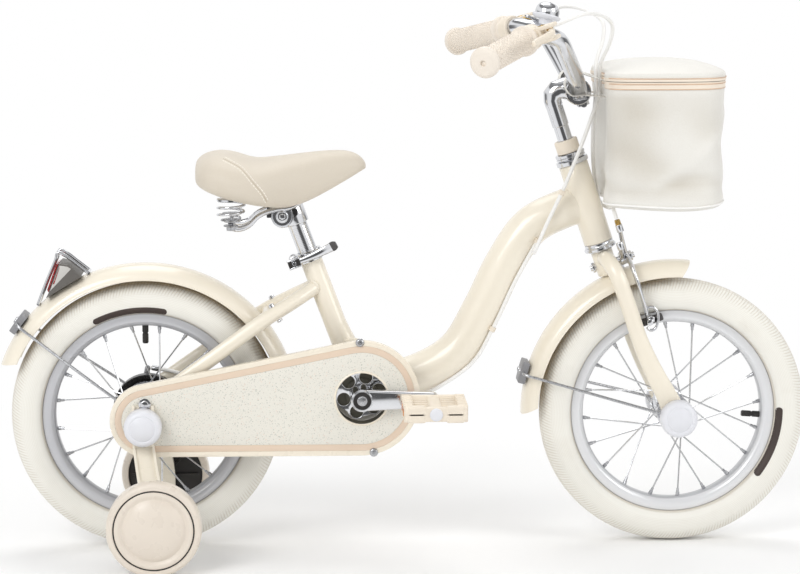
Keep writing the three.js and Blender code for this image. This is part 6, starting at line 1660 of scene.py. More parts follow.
# %% Saddle cushion
SADDLE_STATIONS = [(0, 0.4, 0.24, 0.52), (0.02, 0.62, 0.14, 0.6), (0.06, 0.8, 0.055, 0.67),
                   (0.12, 0.92, 0.008, 0.74), (0.18, 0.99, 0.004, 0.8), (0.24, 1, 0.04, 0.85),
                   (0.3, 0.99, 0.105, 0.89), (0.36, 0.95, 0.15, 0.93), (0.44, 0.86, 0.13, 0.97),
                   (0.54, 0.68, 0.09, 1), (0.66, 0.5, 0.045, 0.9), (0.78, 0.38, 0.01, 0.71),
                   (0.88, 0.3, 0.008, 0.54), (0.94, 0.24, 0.06, 0.43), (0.975, 0.17, 0.14, 0.37),
                   (0.992, 0.1, 0.21, 0.345), (1, 0.05, 0.27, 0.33)]
SADDLE_BACK, SADDLE_LENGTH, SADDLE_HALF, SADDLE_TOP, SADDLE_DROP = 67, 220, 78, 520, 72
SADDLE_SECTION = [(0, 0), (0.2, 0.008), (0.42, 0.045), (0.66, 0.13), (0.84, 0.26), (0.95, 0.42), (1, 0.6),
                  (0.985, 0.78), (0.93, 0.92), (0.82, 1), (0.72, 0.98), (0.64, 0.9), (0.6, 0.78), (0.3, 0.72)]


def saddle_ring(along, width, crown, skirt):
    """One section. Crown and skirt say how far its top and its edge lie below the highest point."""
    x = SADDLE_BACK + SADDLE_LENGTH * along
    ring = SADDLE_SECTION + [(-y, z) for y, z in reversed(SADDLE_SECTION[1:])]
    return [Vector((x, SADDLE_HALF * width * y, SADDLE_TOP - SADDLE_DROP * (crown + z * (skirt - crown))))
            for y, z in ring]


def walled(target, rings, close_first=True, close_last=False):
    """Bridges closed rings of points and closes the ends that are wanted."""
    bm = bmesh.new()
    loops = []
    for ring in rings:
        verts = [bm.verts.new(point) for point in ring]
        loops.append([bm.edges.new(pair) for pair in zip(verts, verts[1:] + verts[:1])])
    for first, second in zip(loops, loops[1:]):
        bmesh.ops.bridge_loops(bm, edges=first + second)
    for wanted, loop in ((close_first, loops[0]), (close_last, loops[-1])):
        if wanted:
            bmesh.ops.holes_fill(bm, edges=loop, sides=0)
    put(target, bm)


def subdivided(made, levels):
    smoother = made.modifiers.new("smooth", "SUBSURF")
    smoother.levels = smoother.render_levels = levels


bm = bmesh.new()
walled(bm, [saddle_ring(*station) for station in SADDLE_STATIONS], True, True)
saddle = piece("saddle_cushion_cover", "saddle", saddle_leather, bm, ("saddle_cushion",), 180)
subdivided(saddle, 3)
print("saddle:", [round(x * 1000) for x in saddle.dimensions], "mm")

# %% [markdown]
# A double seam runs over each side of the saddle, from the top at the back down to the edge under the
# middle. It is two rows of short stitches beside a fine groove, which is a thin dark cord of painted shade.
# They are found by casting rays onto the cover, so that they lie on it.

# %% Seams of the saddle
def on_cover(target_object, point, way):
    """The place and the outward direction where a ray meets an object, in millimetres."""
    finished = target_object.evaluated_get(bpy.context.evaluated_depsgraph_get())
    hit, place, normal = finished.ray_cast(Vector(point) * MILLIMETRE, Vector(way))[:3]
    return (place / MILLIMETRE, normal) if hit else (None, None)


def stitches(target, route, length=2.8, thick=0.55):
    """Short stitches along a route of (place, outward direction), one every other length."""
    travelled, start = 0.0, None
    for (a, out), (b, _) in zip(route, route[1:]):
        travelled += (b - a).length
        if start is None and travelled > length * 0.5:
            start, travelled = a, 0.0
        elif start is not None and travelled >= length:
            rod(target, start + out * 0.12, b + out * 0.12, thick, sides=6)
            start, travelled = None, 0.0


SEAM = [(104.5, 513), (115, 508.4), (126, 502.4), (134, 494.8), (140.9, 486.5), (147.6, 478.6),
        (153.3, 471.5), (157.1, 464.8), (159.6, 459.6)]
seam_thread, seam_shade_cord = bmesh.new(), bmesh.new()
for side in SIDES:
    for shift in (-2.3, 0, 2.3):
        fine = smooth_path([Vector((x + shift * 0.75, 0, z + shift * 0.66)) for x, z in SEAM], 260)
        route = []
        for point in fine:
            place, out = on_cover(saddle, (point.x, side * 120, point.z), (0, -side, 0))
            if place is not None:
                route.append((place, out))
        if shift:
            stitches(seam_thread, route)
        else:
            # The middle row is a thin dark cord, painted shade in the seam's groove.
            tube(seam_shade_cord, [place + out * 0.05 for place, out in route[::5]], 0.34, fine=2, steps=2)
piece("saddle_stitches", "saddle", thread, seam_thread)
piece("saddle_seam_groove", "saddle", seam_shade, seam_shade_cord)
print("saddle seams made")

# %% [markdown]
# Two open coil springs stand under the back of the saddle on a stack of nuts and washers, and two rails
# run forward to the clamp. The clamp is black under the saddle, as painted shade, with a chromed disc on
# each side.

# %% Springs, rails and clamp
SPRING_X, SPRING_Y, SPRING_FOOT, SPRING_HEAD, COIL_STEPS = 113, 36, 434, 459.3, 40
CLAMP = seat(-14, 0, 249)
bm = bmesh.new()
for side in SIDES:
    coil = []
    for i in range(COIL_STEPS + 1):
        turn, share = FULL_TURN * i / 16, i / COIL_STEPS
        radius = 17 - 5 * max(0, abs(share - 0.5) - 0.34) / 0.16
        coil.append(Vector((SPRING_X + radius * math.cos(turn), side * SPRING_Y + radius * math.sin(turn),
                            SPRING_FOOT + 1.6 + (SPRING_HEAD - SPRING_FOOT - 3.2) * share)))
    tube(bm, coil, 1.5, fine=4, steps=2)
piece("saddle_springs", "saddle", chrome, bm, ("saddle_undercarriage",), 60)
bm, nuts = bmesh.new(), bmesh.new()
for side in SIDES:
    foot = Vector((SPRING_X, side * SPRING_Y, 0))
    turned(bm, [(0, -1.9), (17, -1.9), (17.9, -1.2), (17.9, 1.2), (17, 1.9), (0, 1.9)],
           foot + Z * SPRING_HEAD, Z, 40)
    turned(nuts, [(0, 432.2), (12.4, 432.2), (13, 432.8), (13, 433.8), (12.4, 434.4), (0, 434.4)], foot, Z,
           40)
    rod(nuts, foot + Z * 419.6, foot + Z * 425, 6.4, sides=6, round_edge=0.9)
    turned(nuts, [(0, 425), (9, 425), (9.6, 425.5), (9.6, 426.2), (9, 426.8), (0, 426.8)], foot, Z, 36)
    rod(nuts, foot + Z * 430.6, foot + Z * 432.4, 8.6, round_edge=0.5)
    rail = [foot + Z * 423.6, foot + Vector((10, -side * 2, 421.4)), foot + Vector((22, -side * 5, 425)),
            foot + Vector((36, -side * 11, 437)), CLAMP + Vector((-10, side * 20, 9)),
            CLAMP + Vector((14, side * 18.4, 13)), CLAMP + Vector((52, side * 9.2, 40))]
    along_path(bm, smooth_path(rail, 36), lambda share: (3.4, 4.4 - 1.2 * min(1, share * 2)))
rod(bm, (SPRING_X, -SPRING_Y, 428.7), (SPRING_X, SPRING_Y, 428.7), 3.4, sides=20)
piece("saddle_rails_and_plates", "saddle", chrome, bm, ("saddle_undercarriage",), 45)
piece("saddle_spring_nuts", "saddle", steel, nuts, (), 34)
bm, discs = bmesh.new(), bmesh.new()
# The cross rod and the side plates right under the saddle are black lacquer, as painted shade.
rod(bm, CLAMP + X * 4 + Z * 9 - Y * 15, CLAMP + X * 4 + Z * 9 + Y * 15, 10.4, round_edge=1)
for side in SIDES:
    plate(bm, [[(-20, -2), (16, -2), (20, 2), (20, 8), (14, 12), (-14, 12), (-20, 8)]],
          *sorted((side * 14, side * 17.4)), Matrix.Translation(CLAMP), round_edge=1.0)
    turned(discs, [(4, 17), (13.2, 17), (14.4, 17.8), (14.6, 19.4), (13.9, 20.6), (12.7, 20.8), (11.8, 19.8),
                   (8.8, 19.4), (7.4, 19.8), (6.8, 21), (5.6, 21.4), (4, 21.4)], CLAMP, Y * side, 56,
                   closed=True)
    nut(discs, CLAMP + Y * side * 20.2, Y * side, 4.6, 2.4)
rod(discs, seat(0, 0, 231.7), seat(0, 0, 256.7), 16.1, round_edge=1.4)
rod(discs, CLAMP - Y * 17, CLAMP + Y * 17, 11.2, round_edge=1)
piece("saddle_clamp", "saddle", black_steel, bm, ("saddle_undercarriage",), 36)
piece("saddle_clamp_discs", "saddle", chrome, discs, ("saddle_undercarriage",), 30)
print("saddle frame made")

# %% [markdown]
# The seat post is a chromed tube. One half of it is knurled, so that it doesn't slip in the collar: rows
# of very small ribs run around it.

# %% Seat post, collar and lever
bm = bmesh.new()
profile = [(0, 90), (11.6, 90), (12.6, 91)]
level = 150.0
while level < 228:
    profile += [(12.6, level), (12.54, level + 0.4), (12.54, level + 0.9), (12.6, level + 1.3)]
    level += 2.2
profile += [(12.6, 256), (11.8, 257), (0, 257)]
turned(bm, profile, seat(0, 0, 0), SEAT_AXIS, 48)
piece("seat_post_tube", "saddle", chrome, bm, ("seat_post",), 30)
bm = bmesh.new()
turned(bm, [(14.5, 180), (16.4, 180), (16.9, 180.6), (16.9, 189.6), (17.7, 190.4), (17.7, 193.2), (17, 194),
            (13.4, 194), (13.4, 186.6), (14.5, 186.4)], seat(0, 0, 0), SEAT_AXIS, 56, closed=True)
for side in SIDES:
    block(bm, seat(-20, side * 4.6, 187), (11, 4.6, 13.6), 1.4, SEAT_LEAN)
piece("seat_collar_band", "frame", chrome, bm, ("seat_collar",), 36)
pivot = seat(-21.1, -21.3, 187)
bm = bmesh.new()
turned(bm, [(0, 3.2), (3.6, 3.2), (3.6, 37.5), (6.2, 37.9), (6.6, 38.6), (6.6, 41.6), (5.8, 42.4), (0, 42.4)],
       pivot, Y, 28)
piece("seat_collar_bolt", "frame", steel, bm, (), 34)
bm = bmesh.new()
for along in (-5.4, 5.2):
    block(bm, pivot + SEAT_AHEAD * along - Y * 1.6, (5, 9.2, 8.4), 1.0, SEAT_LEAN)
piece("seat_collar_lever_jaws", "seat_collar_lever", dark_plastic, bm, (), 40)
bm = bmesh.new()
turned(bm, [(0, -6.6), (2, -6.6), (2.4, -5.8), (4.2, -5.8), (5, -4.8), (5, 1.4), (4.4, 2.4), (0, 2.4)], pivot,
       Y, 32)
block(bm, pivot - SEAT_AXIS * 5.2 - Y * 1.6, (17, 7.6, 2.6), 1.0, SEAT_LEAN)
block(bm, pivot + SEAT_AXIS * 5.2 - Y * 1.6, (17, 7.6, 2.6), 1.0, SEAT_LEAN)


def blade_path(share):
    """Half thickness and half height of the lever's blade, which widens to its rounded end."""
    end = min(1, 0.35 + (1 - share) / 0.1) ** 0.5
    return 1.9 * end, (3.6 + 2.9 * share ** 1.4) * end


blade_route = smooth_path([pivot + SEAT_AHEAD * 5, pivot + SEAT_AHEAD * 20 - Y * 0.3,
                           pivot + SEAT_AHEAD * 40 - Y * 0.8 + SEAT_AXIS * 1.4,
                           pivot + SEAT_AHEAD * 60 - Y * 5.2 + SEAT_AXIS * 4.4], 24)
along_path(bm, blade_route, blade_path)
piece("seat_collar_lever_arm", "seat_collar_lever", chrome, bm, ("seat_collar_lever",), 50)
bm = bmesh.new()
along_path(bm, blade_route[21:], lambda share: [half + 0.25 for half in blade_path((21 + 3 * share) / 24)])
piece("seat_collar_lever_tip", "seat_collar_lever", grey_rubber, bm, (), 50)
print("seat post and collar made")

# %% [markdown]
# The front caliper pulls its two arms together over the tyre. Each arm is a bent bar with a boss on the
# central bolt, and carries a dark pad that faces the rim in a plated holder.

# %% Caliper
PIVOT_LEVEL, SHOE_RADIUS = 212, 126


def arm_path(side):
    """The layer of an arm, the level of its shoe, and its two halves as points of (y, z)."""
    layer_x = 22.5 if side == LEFT else 28.8
    rise = math.sqrt(SHOE_RADIUS ** 2 - (layer_x - 23) ** 2)
    upper = (-33.6, 256) if side == RIGHT else (-35.6, 234)
    lower = [(side * 21, rise), (side * 37.9, (rise + PIVOT_LEVEL) / 2 - 11),
             (side * 39.5, PIVOT_LEVEL - 19.8), (side * 24.5, PIVOT_LEVEL - 2), (0, PIVOT_LEVEL)]
    mid = (upper[0] / 2, PIVOT_LEVEL + (upper[1] - PIVOT_LEVEL) / 2 * (1.2 if side == RIGHT else 0.8))
    return layer_x, rise, [(0, PIVOT_LEVEL), mid, upper], lower


for side, word in NAMED_SIDES:
    layer_x, rise, upper, lower = arm_path(side)
    body = f"caliper_{word}"
    bm = bmesh.new()
    bent_oval(bm, [steer(layer_x, y, z) for y, z in lower], lambda share: (3, 5.3), 24, STEER_AHEAD)
    bent_oval(bm, [steer(layer_x, y, z) for y, z in upper], lambda share: (3, 4.3), 16, STEER_AHEAD)
    collar(bm, 4.4, 8.8, -3, 3, 0.6, steer(layer_x, 0, PIVOT_LEVEL), STEER_AHEAD, 32)
    eye_y, eye_level = upper[-1]
    rod(bm, steer(layer_x, eye_y, eye_level - 5), steer(layer_x, eye_y, eye_level + 5), 4.6, round_edge=0.8)
    piece(body + "_arm", body, chrome, bm, (f"caliper_arm_{word}",), 40)
    bm = bmesh.new()
    for x, high, wide in ((0, 9, 38), (9, 6, 6), (-9, 6, 6)):
        block(bm, steer(layer_x + x, side * 20.8, rise), (wide, 9.6, high), 1.6, STEER_LEAN)
    piece(body + "_pad", body, grey_rubber, bm, (), 40)
    bm = bmesh.new()
    rod(bm, steer(layer_x, side * 25, rise), steer(layer_x, side * 36, rise), 4.6, sides=6, round_edge=0.8)
    loop = [(648.6, 309), (652, 315), (659, 315.6), (664.6, 309), (665.6, 297), (661.6, 287), (655.4, 285.4),
            (651.4, 289)]
    tube(bm, smooth_path([Vector((x, side * 30, z)) for x, z in loop], 28), 1.9, steps=2)
    rod(bm, Vector((656.6, side * 26, 299.6)), Vector((656.6, side * 33, 299.6)), 5, sides=6, round_edge=0.8)
    piece(body + "_pad_holder", body, chrome, bm, (), 40)
bm = bmesh.new()
turned(bm, [(0, -2), (4, -2), (4, 4)] + knurled(3.5, 4, 4.6) + [(3.4, 11.6), (0, 12)],
       steer(28.8, -33.6, 256), STEER_AXIS, 24)
piece("caliper_adjuster", "caliper_right", brass, bm, (), 30)
bm = bmesh.new()
rod(bm, steer(-20.8, 0, PIVOT_LEVEL), steer(39.2, 0, PIVOT_LEVEL), 4, sides=20, round_edge=0.6)
nut(bm, steer(32.2, 0, PIVOT_LEVEL), STEER_AHEAD, 7, 4)
nut(bm, steer(-14.4, 0, PIVOT_LEVEL), -STEER_AHEAD, 7, 4)
piece("caliper_pivot_bolt", "steering", chrome, bm, ("caliper_bolt",), 36)
print("caliper made")

# %% [markdown]
# The bag is sewn from leatherette: a soft body with a concave back that clears the stem, and a lid. Its
# walls are lofted from rings, drawn in and let out from level to level, so that the body sags over its
# base. Broad folds are then pushed into the front, the way an empty bag creases above its bottom seam.

# %% Bag rings
BAG_PLAN = [(0, 0), (-0.05, 0.34), (-0.13, 0.62), (-0.14, 0.8), (-0.08, 0.92), (0.04, 0.98), (0.22, 1),
            (0.5, 1), (0.78, 0.96), (0.92, 0.83), (0.98, 0.6), (1, 0.3), (1, 0)]
BAG_BACK, BAG_DEPTH, BAG_HALF = 599.0, 148.0, 104.6


def bag_ring(level, inset, fine=72):
    depth, wide = BAG_DEPTH - 2 * inset, BAG_HALF - inset
    half_ring = [Vector((BAG_BACK + inset + depth * (x * 0.72 if x < 0 else x), wide * y, level))
                 for x, y in BAG_PLAN]
    ring = half_ring + [Vector((p.x, -p.y, p.z)) for p in reversed(half_ring[1:-1])]
    lengths = [(b - a).length for a, b in zip(ring, ring[1:] + ring[:1])]
    total, points = sum(lengths), []
    for step in range(fine):
        travel, index = step * total / fine, 0
        while travel > lengths[index]:
            travel -= lengths[index]
            index += 1
        points.append(ring[index].lerp(ring[(index + 1) % len(ring)], travel / lengths[index]))
    return points


def softened(ring, rounds=5):
    for _ in range(rounds):
        ring = [(ring[i - 1] + ring[i] * 2 + ring[(i + 1) % len(ring)]) / 4 for i in range(len(ring))]
    return ring


# %% [markdown]
# An empty bag is never smooth: its front is dented, a crease runs up each side, and its bottom seam sags.
# Cloth physics could make such folds, but this leatherette is stiff, so soft dents are listed and
# moved into the points of the wall.

# %% Dents and folds of the bag
# Each dent is given by its turn around the bag, its level, its half widths and its depth in millimetres.
DENTS = [(2.0, 0.74, 0.36, 0.2, 9), (2.05, 0.42, 0.4, 0.17, 7), (1.15, 0.58, 0.34, 0.26, 4.5),
         (1.5, 0.22, 0.34, 0.1, 4), (0.45, 0.5, 0.3, 0.2, 5), (0.1, 0.75, 0.3, 0.12, 4)]
BAG_FLOOR, BAG_HEIGHT, BAG_MIDDLE = 452, 160, 668
FOLDS_FROM, FOLDS_TO = 462, 600


def fold(point):
    """How far the leatherette is pushed in at a point of the bag's wall."""
    height = (point.z - BAG_FLOOR) / BAG_HEIGHT
    turn = math.atan2(point.y, point.x - BAG_MIDDLE)
    apart = abs(turn)
    side = min(1, apart / 1.2)
    bulge = 1.8 * math.sin(math.pi * height) ** 2
    dents = 0
    for heading, level, wide, high, deep in DENTS:
        across = (apart - heading) / wide
        up = (height - level - 0.16 * (apart - heading)) / high
        dents += deep * math.exp(-across * across - up * up)
    ridge_line = height - 0.06 - 0.42 * (2.05 - apart)
    ridge = 4.4 * math.exp(-(ridge_line / 0.06) ** 2) * min(1, max(0, (2.0 - apart) / 0.3))
    hem = 4.6 * math.exp(-((height - 0.17 - 0.05 * math.sin(4 * turn)) / 0.05) ** 2) * side
    ripple = 2.2 * math.sin(6.5 * height + 3.4 * turn) * math.sin(math.pi * min(1, max(0, height))) ** 2
    return -bulge + dents - ridge + hem + ripple


def hem_drop(point):
    """How far the bottom of the bag hangs down in its middle."""
    along = min(1, max(0, (point.x - BAG_BACK) / BAG_DEPTH))
    return 4.2 * math.sin(math.pi * along ** 1.3) * min(1, max(0, (486 - point.z) / 30))


LEVELS = [(452.3, 13), (452.0, 6), (453.6, 2.6), (457, 0.9), (461, 0.4), (466, 0.6), (474, 1.2)]
LEVELS += [(474 + 8.4 * i, 1.2 + 1.2 * math.sin(math.pi * i / 16)) for i in range(1, 16)]
LEVELS += [(604, 1.4), (609, 1.3), (611.8, 1.3)]
rings = []
for level, inset in LEVELS:
    ring = softened(bag_ring(level, inset))
    if FOLDS_FROM < level < FOLDS_TO:
        middle = Vector((BAG_MIDDLE, 0, level))
        fade = min(1, (FOLDS_TO - level) / 30, (level - 458) / 10)
        ring = [p - (p - middle).normalized() * fold(p) * fade for p in ring]
    rings.append([p - Z * hem_drop(p) for p in ring])
bm = bmesh.new()
walled(bm, rings)
bag = piece("bag_soft_body", "steering", bag_leather, bm, ("bag_body",), 180)
# Each point of the wall keeps how far it is pushed in, and the leatherette is darkened there as painted
# shade.
fold_shade_layer = bag.data.attributes.new("painted_fold_shade", "FLOAT", "POINT")
for vertex, held in zip(bag.data.vertices, fold_shade_layer.data):
    place = vertex.co / MILLIMETRE
    held.value = min(0.6, max(0, (fold(place) + 1) / 17)) if FOLDS_FROM < place.z < FOLDS_TO - 2 else 0
wall = bag.modifiers.new("wall", "SOLIDIFY")
wall.thickness, wall.offset = 0.0026, -1
subdivided(bag, 1)
print("bag body:", [round(x * 1000) for x in bag.dimensions], "mm")

# %% [markdown]
# The lid is a shallow dome with a straight rim, sewn to the body along its front edge.

# %% Bag lid
LID = [(612.5, 3), (612.4, 1.2), (613.2, 0.4), (616, 0.3), (620.6, 0.2), (622.6, 1.2), (624.6, 4.4),
       (627.4, 11), (630, 20), (632.4, 31), (634.3, 44), (635.2, 58), (635.3, 66)]
bm = bmesh.new()
walled(bm, [softened(bag_ring(level, inset)) for level, inset in LID], True, True)
subdivided(piece("bag_lid_dome", "bag_lid", bag_leather, bm, ("bag_lid",), 180), 1)
print("bag lid made")

# %% [markdown]
# A zip joins body and lid. Its tape shows as a soft beige band with three fine copper lines on it. White
# piping runs around the bottom.

# %% Zip and piping
def around_bag(target, level, inset, thick, whole=True):
    """A cord around the bag, or only past its back where whole is off."""
    ring = [p - Z * hem_drop(p) for p in softened(bag_ring(level, inset))]
    if whole:
        tube(target, ring[::2], thick, fine=3, steps=4, closed=True)
    else:
        tube(target, [p for p in ring if p.x > BAG_BACK - 10], thick, fine=3, steps=2)


def tape(target, low, high, inset, thick=0.7):
    rings = [softened(bag_ring(low, inset + thick)), softened(bag_ring(low, inset - 0.1)),
             softened(bag_ring(high, inset - 0.1)), softened(bag_ring(high, inset + thick))]
    walled(target, rings, False, False)


bm = bmesh.new()
tape(bm, 603.0, 611.7, 0.7)
piece("zip_tape_body", "steering", zip_tape, bm, (), 60)
bm = bmesh.new()
tape(bm, 612.5, 616.4, -0.2)
piece("zip_tape_lid", "bag_lid", zip_tape, bm, (), 60)
bm = bmesh.new()
around_bag(bm, 602.8, 0.8, 0.62, False)
around_bag(bm, 609.2, 0.5, 0.62, False)
piece("zip_line_body", "steering", zip_metal, bm, (), 60)
bm = bmesh.new()
around_bag(bm, 616.2, -0.3, 0.62, False)
piece("zip_line_lid", "bag_lid", zip_metal, bm, (), 60)
bm = bmesh.new()
around_bag(bm, 457.2, 0.5, 1.3)
piece("bag_piping", "steering", white_piping, bm, (), 60)
print("zip and piping made")

# %% [markdown]
# Two straps hold the bag to the bar. Each strap loops around the bar and closes in a small buckle.

# %% Straps of the bag
STRAP_Y, STRAP_STEPS = 35, 44
bm, buckles = bmesh.new(), bmesh.new()
for side in SIDES:
    bar = steer(33.3, side * STRAP_Y, 450.4)
    loop = [Vector((598.5, side * STRAP_Y, 606)), Vector((588, side * STRAP_Y, 611)),
            bar + Vector((13, 0, 11.6)), bar + Vector((2, 0, 15.4)), bar + Vector((-12, 0, 10.6)),
            bar + Vector((-15.6, 0, -2)), bar + Vector((-7, 0, -14)), bar + Vector((8, 0, -14)),
            Vector((588, side * STRAP_Y, 590)), Vector((597, side * STRAP_Y, 588))]
    path = smooth_path(loop, STRAP_STEPS)
    along_path(bm, path, lambda share: (10.5, 1.1), sides=16)
    spot = path[33]
    for y in (-11.6, 11.6):
        rod(buckles, spot + Vector((-7, y, -5)), spot + Vector((7, y, -3)), 1.3, sides=12)
    for x, z in ((-7, -5), (0, -3.4), (7, -3)):
        rod(buckles, spot + Vector((x, -12.4, z)), spot + Vector((x, 12.4, z)), 1.3, sides=12)
piece("bag_straps", "steering", bag_leather, bm, ("bag_body",), 60)
piece("bag_buckles", "steering", steel, buckles, (), 60)
print("straps made")

# %% [markdown]
# Two white cables run from the levers up in a high loop and down. The rear one follows the main tube to
# the band brake and the front one ends at the caliper. Both ends are held, so each route is drawn and
# nothing hangs. Beside the head tube the rear cable swings out farther than in the solid model. It crosses
# the steering, yet it rides on no body, so it stays in place when the bar turns.

# %% Cable routes
CABLE_RADIUS, CABLE_STEPS = 2.5, 220


def from_lever(side):
    foot, way = cable_start(side)
    end = foot + way * 16.3
    level = end.z
    return [end, end + way * 7.7, end + way * 9.3 + Vector((8, 0, 3.2)),
            end + way * 31.7 + Vector((16, 0, 5.6)), Vector((598, side * 50.4, level - 1.6)),
            Vector((598, side * 37.8, level - 22.4)), Vector((587, side * 21.7, 628)),
            Vector((587, side * 18.2, 596))]


def beside_tube(share, turn):
    step = round(share * MAIN_STEPS)
    ahead = (main_path[min(step + 1, MAIN_STEPS)] - main_path[step - 1]).normalized()
    away = 27 - 2 * share + CABLE_RADIUS + 0.9
    down, right = away * math.sin(math.radians(turn)), away * math.cos(math.radians(turn))
    return main_path[step] + Vector((ahead.z * down, -right, -ahead.x * down))


def through(*points):
    return [Vector(point) for point in points]


rear_route = from_lever(RIGHT)
rear_route += through((574, -26, 556), (561, -31, 522), (550, -32, 494), (538, -32.5, 466), (519, -32, 425),
                      (503, -31.4, 388))
rear_route += [beside_tube(share, turn) for share, turn in ((0.69, 36), (0.54, 44), (0.4, 46), (0.28, 50))]
rear_route += through((311, -10, 176.3), (289, 20, 176.3), (272, 46, 188), (235, 52, 204), (170, 47, 208),
                      (110, 47, 206), (62, 45, 212), (34, 46, 222), (3.54, 50, 226.66))
front_route = from_lever(LEFT)
front_route += through((584, 19, 550), (584, 20, 510), (588, 25, 474), (594, 22, 448), (603, 6, 442),
                       (607, -14, 445), (606, -31, 442))
front_route += [steer(28.8, -33.6, 268.8)]
for word, route in (("rear", rear_route), ("front", front_route)):
    fine = smooth_path(route, CABLE_STEPS)
    print(word, "cable:", round(sum((b - a).length for a, b in zip(fine, fine[1:]))), "mm long")

# %% [markdown]
# Each housing is a thin tube along its route. The rear one also gets the clips that hold it to the frame
# and the metal ferrule at its end.

# %% Cables
bm = bmesh.new()
tube(bm, smooth_path(rear_route, CABLE_STEPS), CABLE_RADIUS, steps=2)
rear_cable = piece("rear_cable_housing", None, cable_white, bm, ("rear_brake_cable",), 60)
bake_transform(rear_cable)
bm = bmesh.new()
tube(bm, smooth_path(front_route, 150), CABLE_RADIUS, steps=2)
piece("front_cable_housing", "steering", cable_white, bm, ("front_brake_cable",), 60)
bm = bmesh.new()
for spot in (11, 14, 16):
    turned(bm, [(2.7, -3), (4.2, -3), (4.2, 3), (2.7, 3)], rear_route[spot],
           rear_route[spot + 1] - rear_route[spot - 1], 20, closed=True)
piece("cable_clips", "frame", beige_plastic, bm, (), 40)
bm = bmesh.new()
turned(bm, [(0, 0), (3.5, 0), (3.7, 0.6), (3.7, 9), (3.1, 10), (2.6, 10)], rear_route[-1] + X * 2,
       rear_route[-2] - rear_route[-1], 20)
piece("rear_cable_ferrule", "frame", steel, bm, (), 40)
print("cables made")

# %% [markdown]
# The bike stands on a plain pale floor that keeps its shadow. Near the bike the floor is an ordinary white
# surface. Farther out it turns into plain white light, so that it has no edge and no horizon. In metal the
# far floor shows the same dark cards as the world does: they are given as greys around one full turn.

# %% Floor
CARDS = ((0.0, 0.3), (0.06, 0.95), (0.17, 1.0), (0.205, 0.12), (0.295, 0.12), (0.33, 1.0), (0.44, 0.95),
         (0.5, 0.14), (0.57, 0.3), (0.63, 0.95), (0.88, 0.95), (0.95, 0.16), (1.0, 0.3))
BIKE_MIDDLE = 0.34


def grey_ramp(ramp, stops):
    """Fills a colour ramp with greys, each given as (position, level)."""
    elements = ramp.color_ramp.elements
    for element, (position, level) in zip(elements, (stops[0], stops[-1])):
        element.position, element.color = position, (level, level, level, 1)
    for position, level in stops[1:-1]:
        elements.new(position).color = (level, level, level, 1)


floor_mesh = bpy.data.meshes.new("studio_floor")
bm = bmesh.new()
bmesh.ops.create_circle(bm, cap_ends=True, segments=96, radius=14)
bmesh.ops.translate(bm, verts=bm.verts, vec=(BIKE_MIDDLE, 0, -0.0005))
bm.to_mesh(floor_mesh)
bm.free()
floor = bpy.data.objects.new("studio_floor", floor_mesh)
bpy.context.scene.collection.objects.link(floor)
floor_white = Finish("studio_floor", (250, 250, 250), 0.9)
across, deep = floor_white.axes()[:2]
away = ((across - BIKE_MIDDLE) * (across - BIKE_MIDDLE) * 0.55 + deep * deep).sum("POWER", 0.5)
turn_share = deep.sum("ARCTAN2", across - BIKE_MIDDLE) / FULL_TURN + 0.5
dark_cards = floor_white.add("ShaderNodeValToRGB", {}, {0: turn_share})
grey_ramp(dark_cards.socket.node, CARDS)
in_metal = floor_white.add("ShaderNodeLightPath", {}, {}, "Is Glossy Ray") * away.step(0.9, 1.5)
shown = floor_white.blend(in_metal, (1, 1, 1, 1), dark_cards)
light = floor_white.add("ShaderNodeEmission", {}, {"Color": shown, "Strength": 1.0})
mixed = floor_white.add("ShaderNodeMixShader", {}, {0: away.step(0.42, 1.05)})
mix_node = mixed.socket.node
floor_white.tree.links.new(floor_white.shader.outputs[0], mix_node.inputs[1])
floor_white.tree.links.new(light.socket, mix_node.inputs[2])
floor_white.tree.links.new(mix_node.outputs[0], floor_white.tree.nodes["Material Output"].inputs[0])
floor_mesh.materials.append(floor_white.material)
print("floor made")

# %% [markdown]
# The world gives an even soft light, like a white tent. Three large lamps, from the front left, the right
# and above, add direction, so that round tubes shade. What the camera and glossy surfaces see of the
# world is set apart: the camera sees plain white, and chrome sees the same white with a few dark cards
# standing in it, to both sides and behind the camera, which give it its bands.

# %% World and lamps
world = bpy.data.worlds.new("studio_world")
bpy.context.scene.world = world
world.use_nodes = True
nodes, links = world.node_tree.nodes, world.node_tree.links
nodes.clear()


def world_node(kind, inputs=(), **settings):
    node = nodes.new(kind)
    for key, value in settings.items():
        setattr(node, key, value)
    for key, value in dict(inputs).items():
        if isinstance(value, bpy.types.NodeSocket):
            links.new(value, node.inputs[key])
        else:
            node.inputs[key].default_value = value
    return node


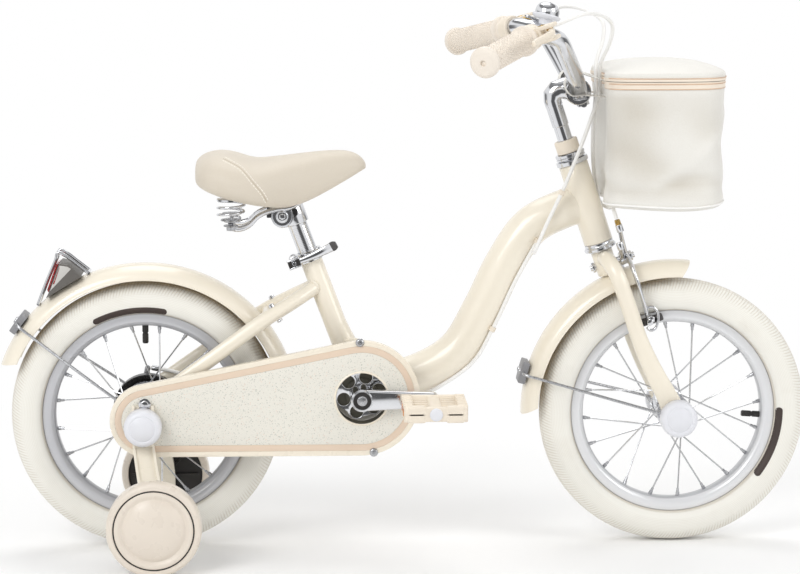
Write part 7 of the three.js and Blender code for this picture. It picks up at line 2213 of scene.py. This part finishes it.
path_kind = world_node("ShaderNodeLightPath")
direction = world_node("ShaderNodeTexCoord")
height = world_node("ShaderNodeSeparateXYZ", {0: direction.outputs["Generated"]})
azimuth = world_node("ShaderNodeMath", {0: height.outputs[1], 1: height.outputs[0]}, operation="ARCTAN2")
share = world_node("ShaderNodeMapRange", {"Value": azimuth.outputs[0], "From Min": -math.pi,
                                          "From Max": math.pi})
upright = world_node("ShaderNodeValToRGB", {0: share.outputs[0]})
level_share = world_node("ShaderNodeMapRange", {"Value": height.outputs[2], "From Min": -1.0,
                                                "From Max": 1.0})
bands = world_node("ShaderNodeValToRGB", {0: level_share.outputs[0]})


grey_ramp(upright, CARDS)
grey_ramp(bands, ((0.0, 0.9), (0.6, 0.95), (0.66, 1.0), (0.76, 1.0), (0.81, 0.25), (0.9, 0.3), (1.0, 0.85)))
near_level = world_node("ShaderNodeMapRange", {"Value": height.outputs[2], "From Min": 0.12, "From Max": 0.3},
                        interpolation_type="SMOOTHSTEP")
tent_mix = world_node("ShaderNodeMix", {0: near_level.outputs[0], 6: upright.outputs[0], 7: bands.outputs[0]},
                      data_type="RGBA")
even = world_node("ShaderNodeBackground", {"Color": (1, 1, 1, 1), "Strength": 0.62})
tent = world_node("ShaderNodeBackground", {"Color": tent_mix.outputs[2], "Strength": 1.0})
white = world_node("ShaderNodeBackground", {"Color": (1, 1, 1, 1), "Strength": 1.0})
glossy = world_node("ShaderNodeMixShader", {0: path_kind.outputs["Is Glossy Ray"], 1: even.outputs[0],
                                            2: tent.outputs[0]})
clear = world_node("ShaderNodeMixShader", {0: path_kind.outputs["Is Transmission Ray"], 1: glossy.outputs[0],
                                           2: white.outputs[0]})
seen = world_node("ShaderNodeMixShader", {0: path_kind.outputs["Is Camera Ray"], 1: clear.outputs[0],
                                          2: white.outputs[0]})
world_node("ShaderNodeOutputWorld", {0: seen.outputs[0]})

for name, place, aim, power, size in (("key_lamp", (-1.5, -2.4, 2.3), (0.3, 0, 0.35), 46, 1.6),
                                      ("side_lamp", (2.5, -1.2, 1.6), (0.35, 0, 0.35), 16, 1.2),
                                      ("top_lamp", (0.3, 0.9, 2.6), (0.3, 0, 0.3), 22, 1.8)):
    lamp = bpy.data.lights.new(name, "AREA")
    lamp.energy, lamp.size = power, size
    stand = bpy.data.objects.new(name, lamp)
    stand.location = place
    stand.rotation_euler = (Vector(aim) - Vector(place)).to_track_quat("-Z", "Y").to_euler()
    bpy.context.scene.collection.objects.link(stand)
bpy.context.scene.view_settings.view_transform = "Standard"
print("lights made")
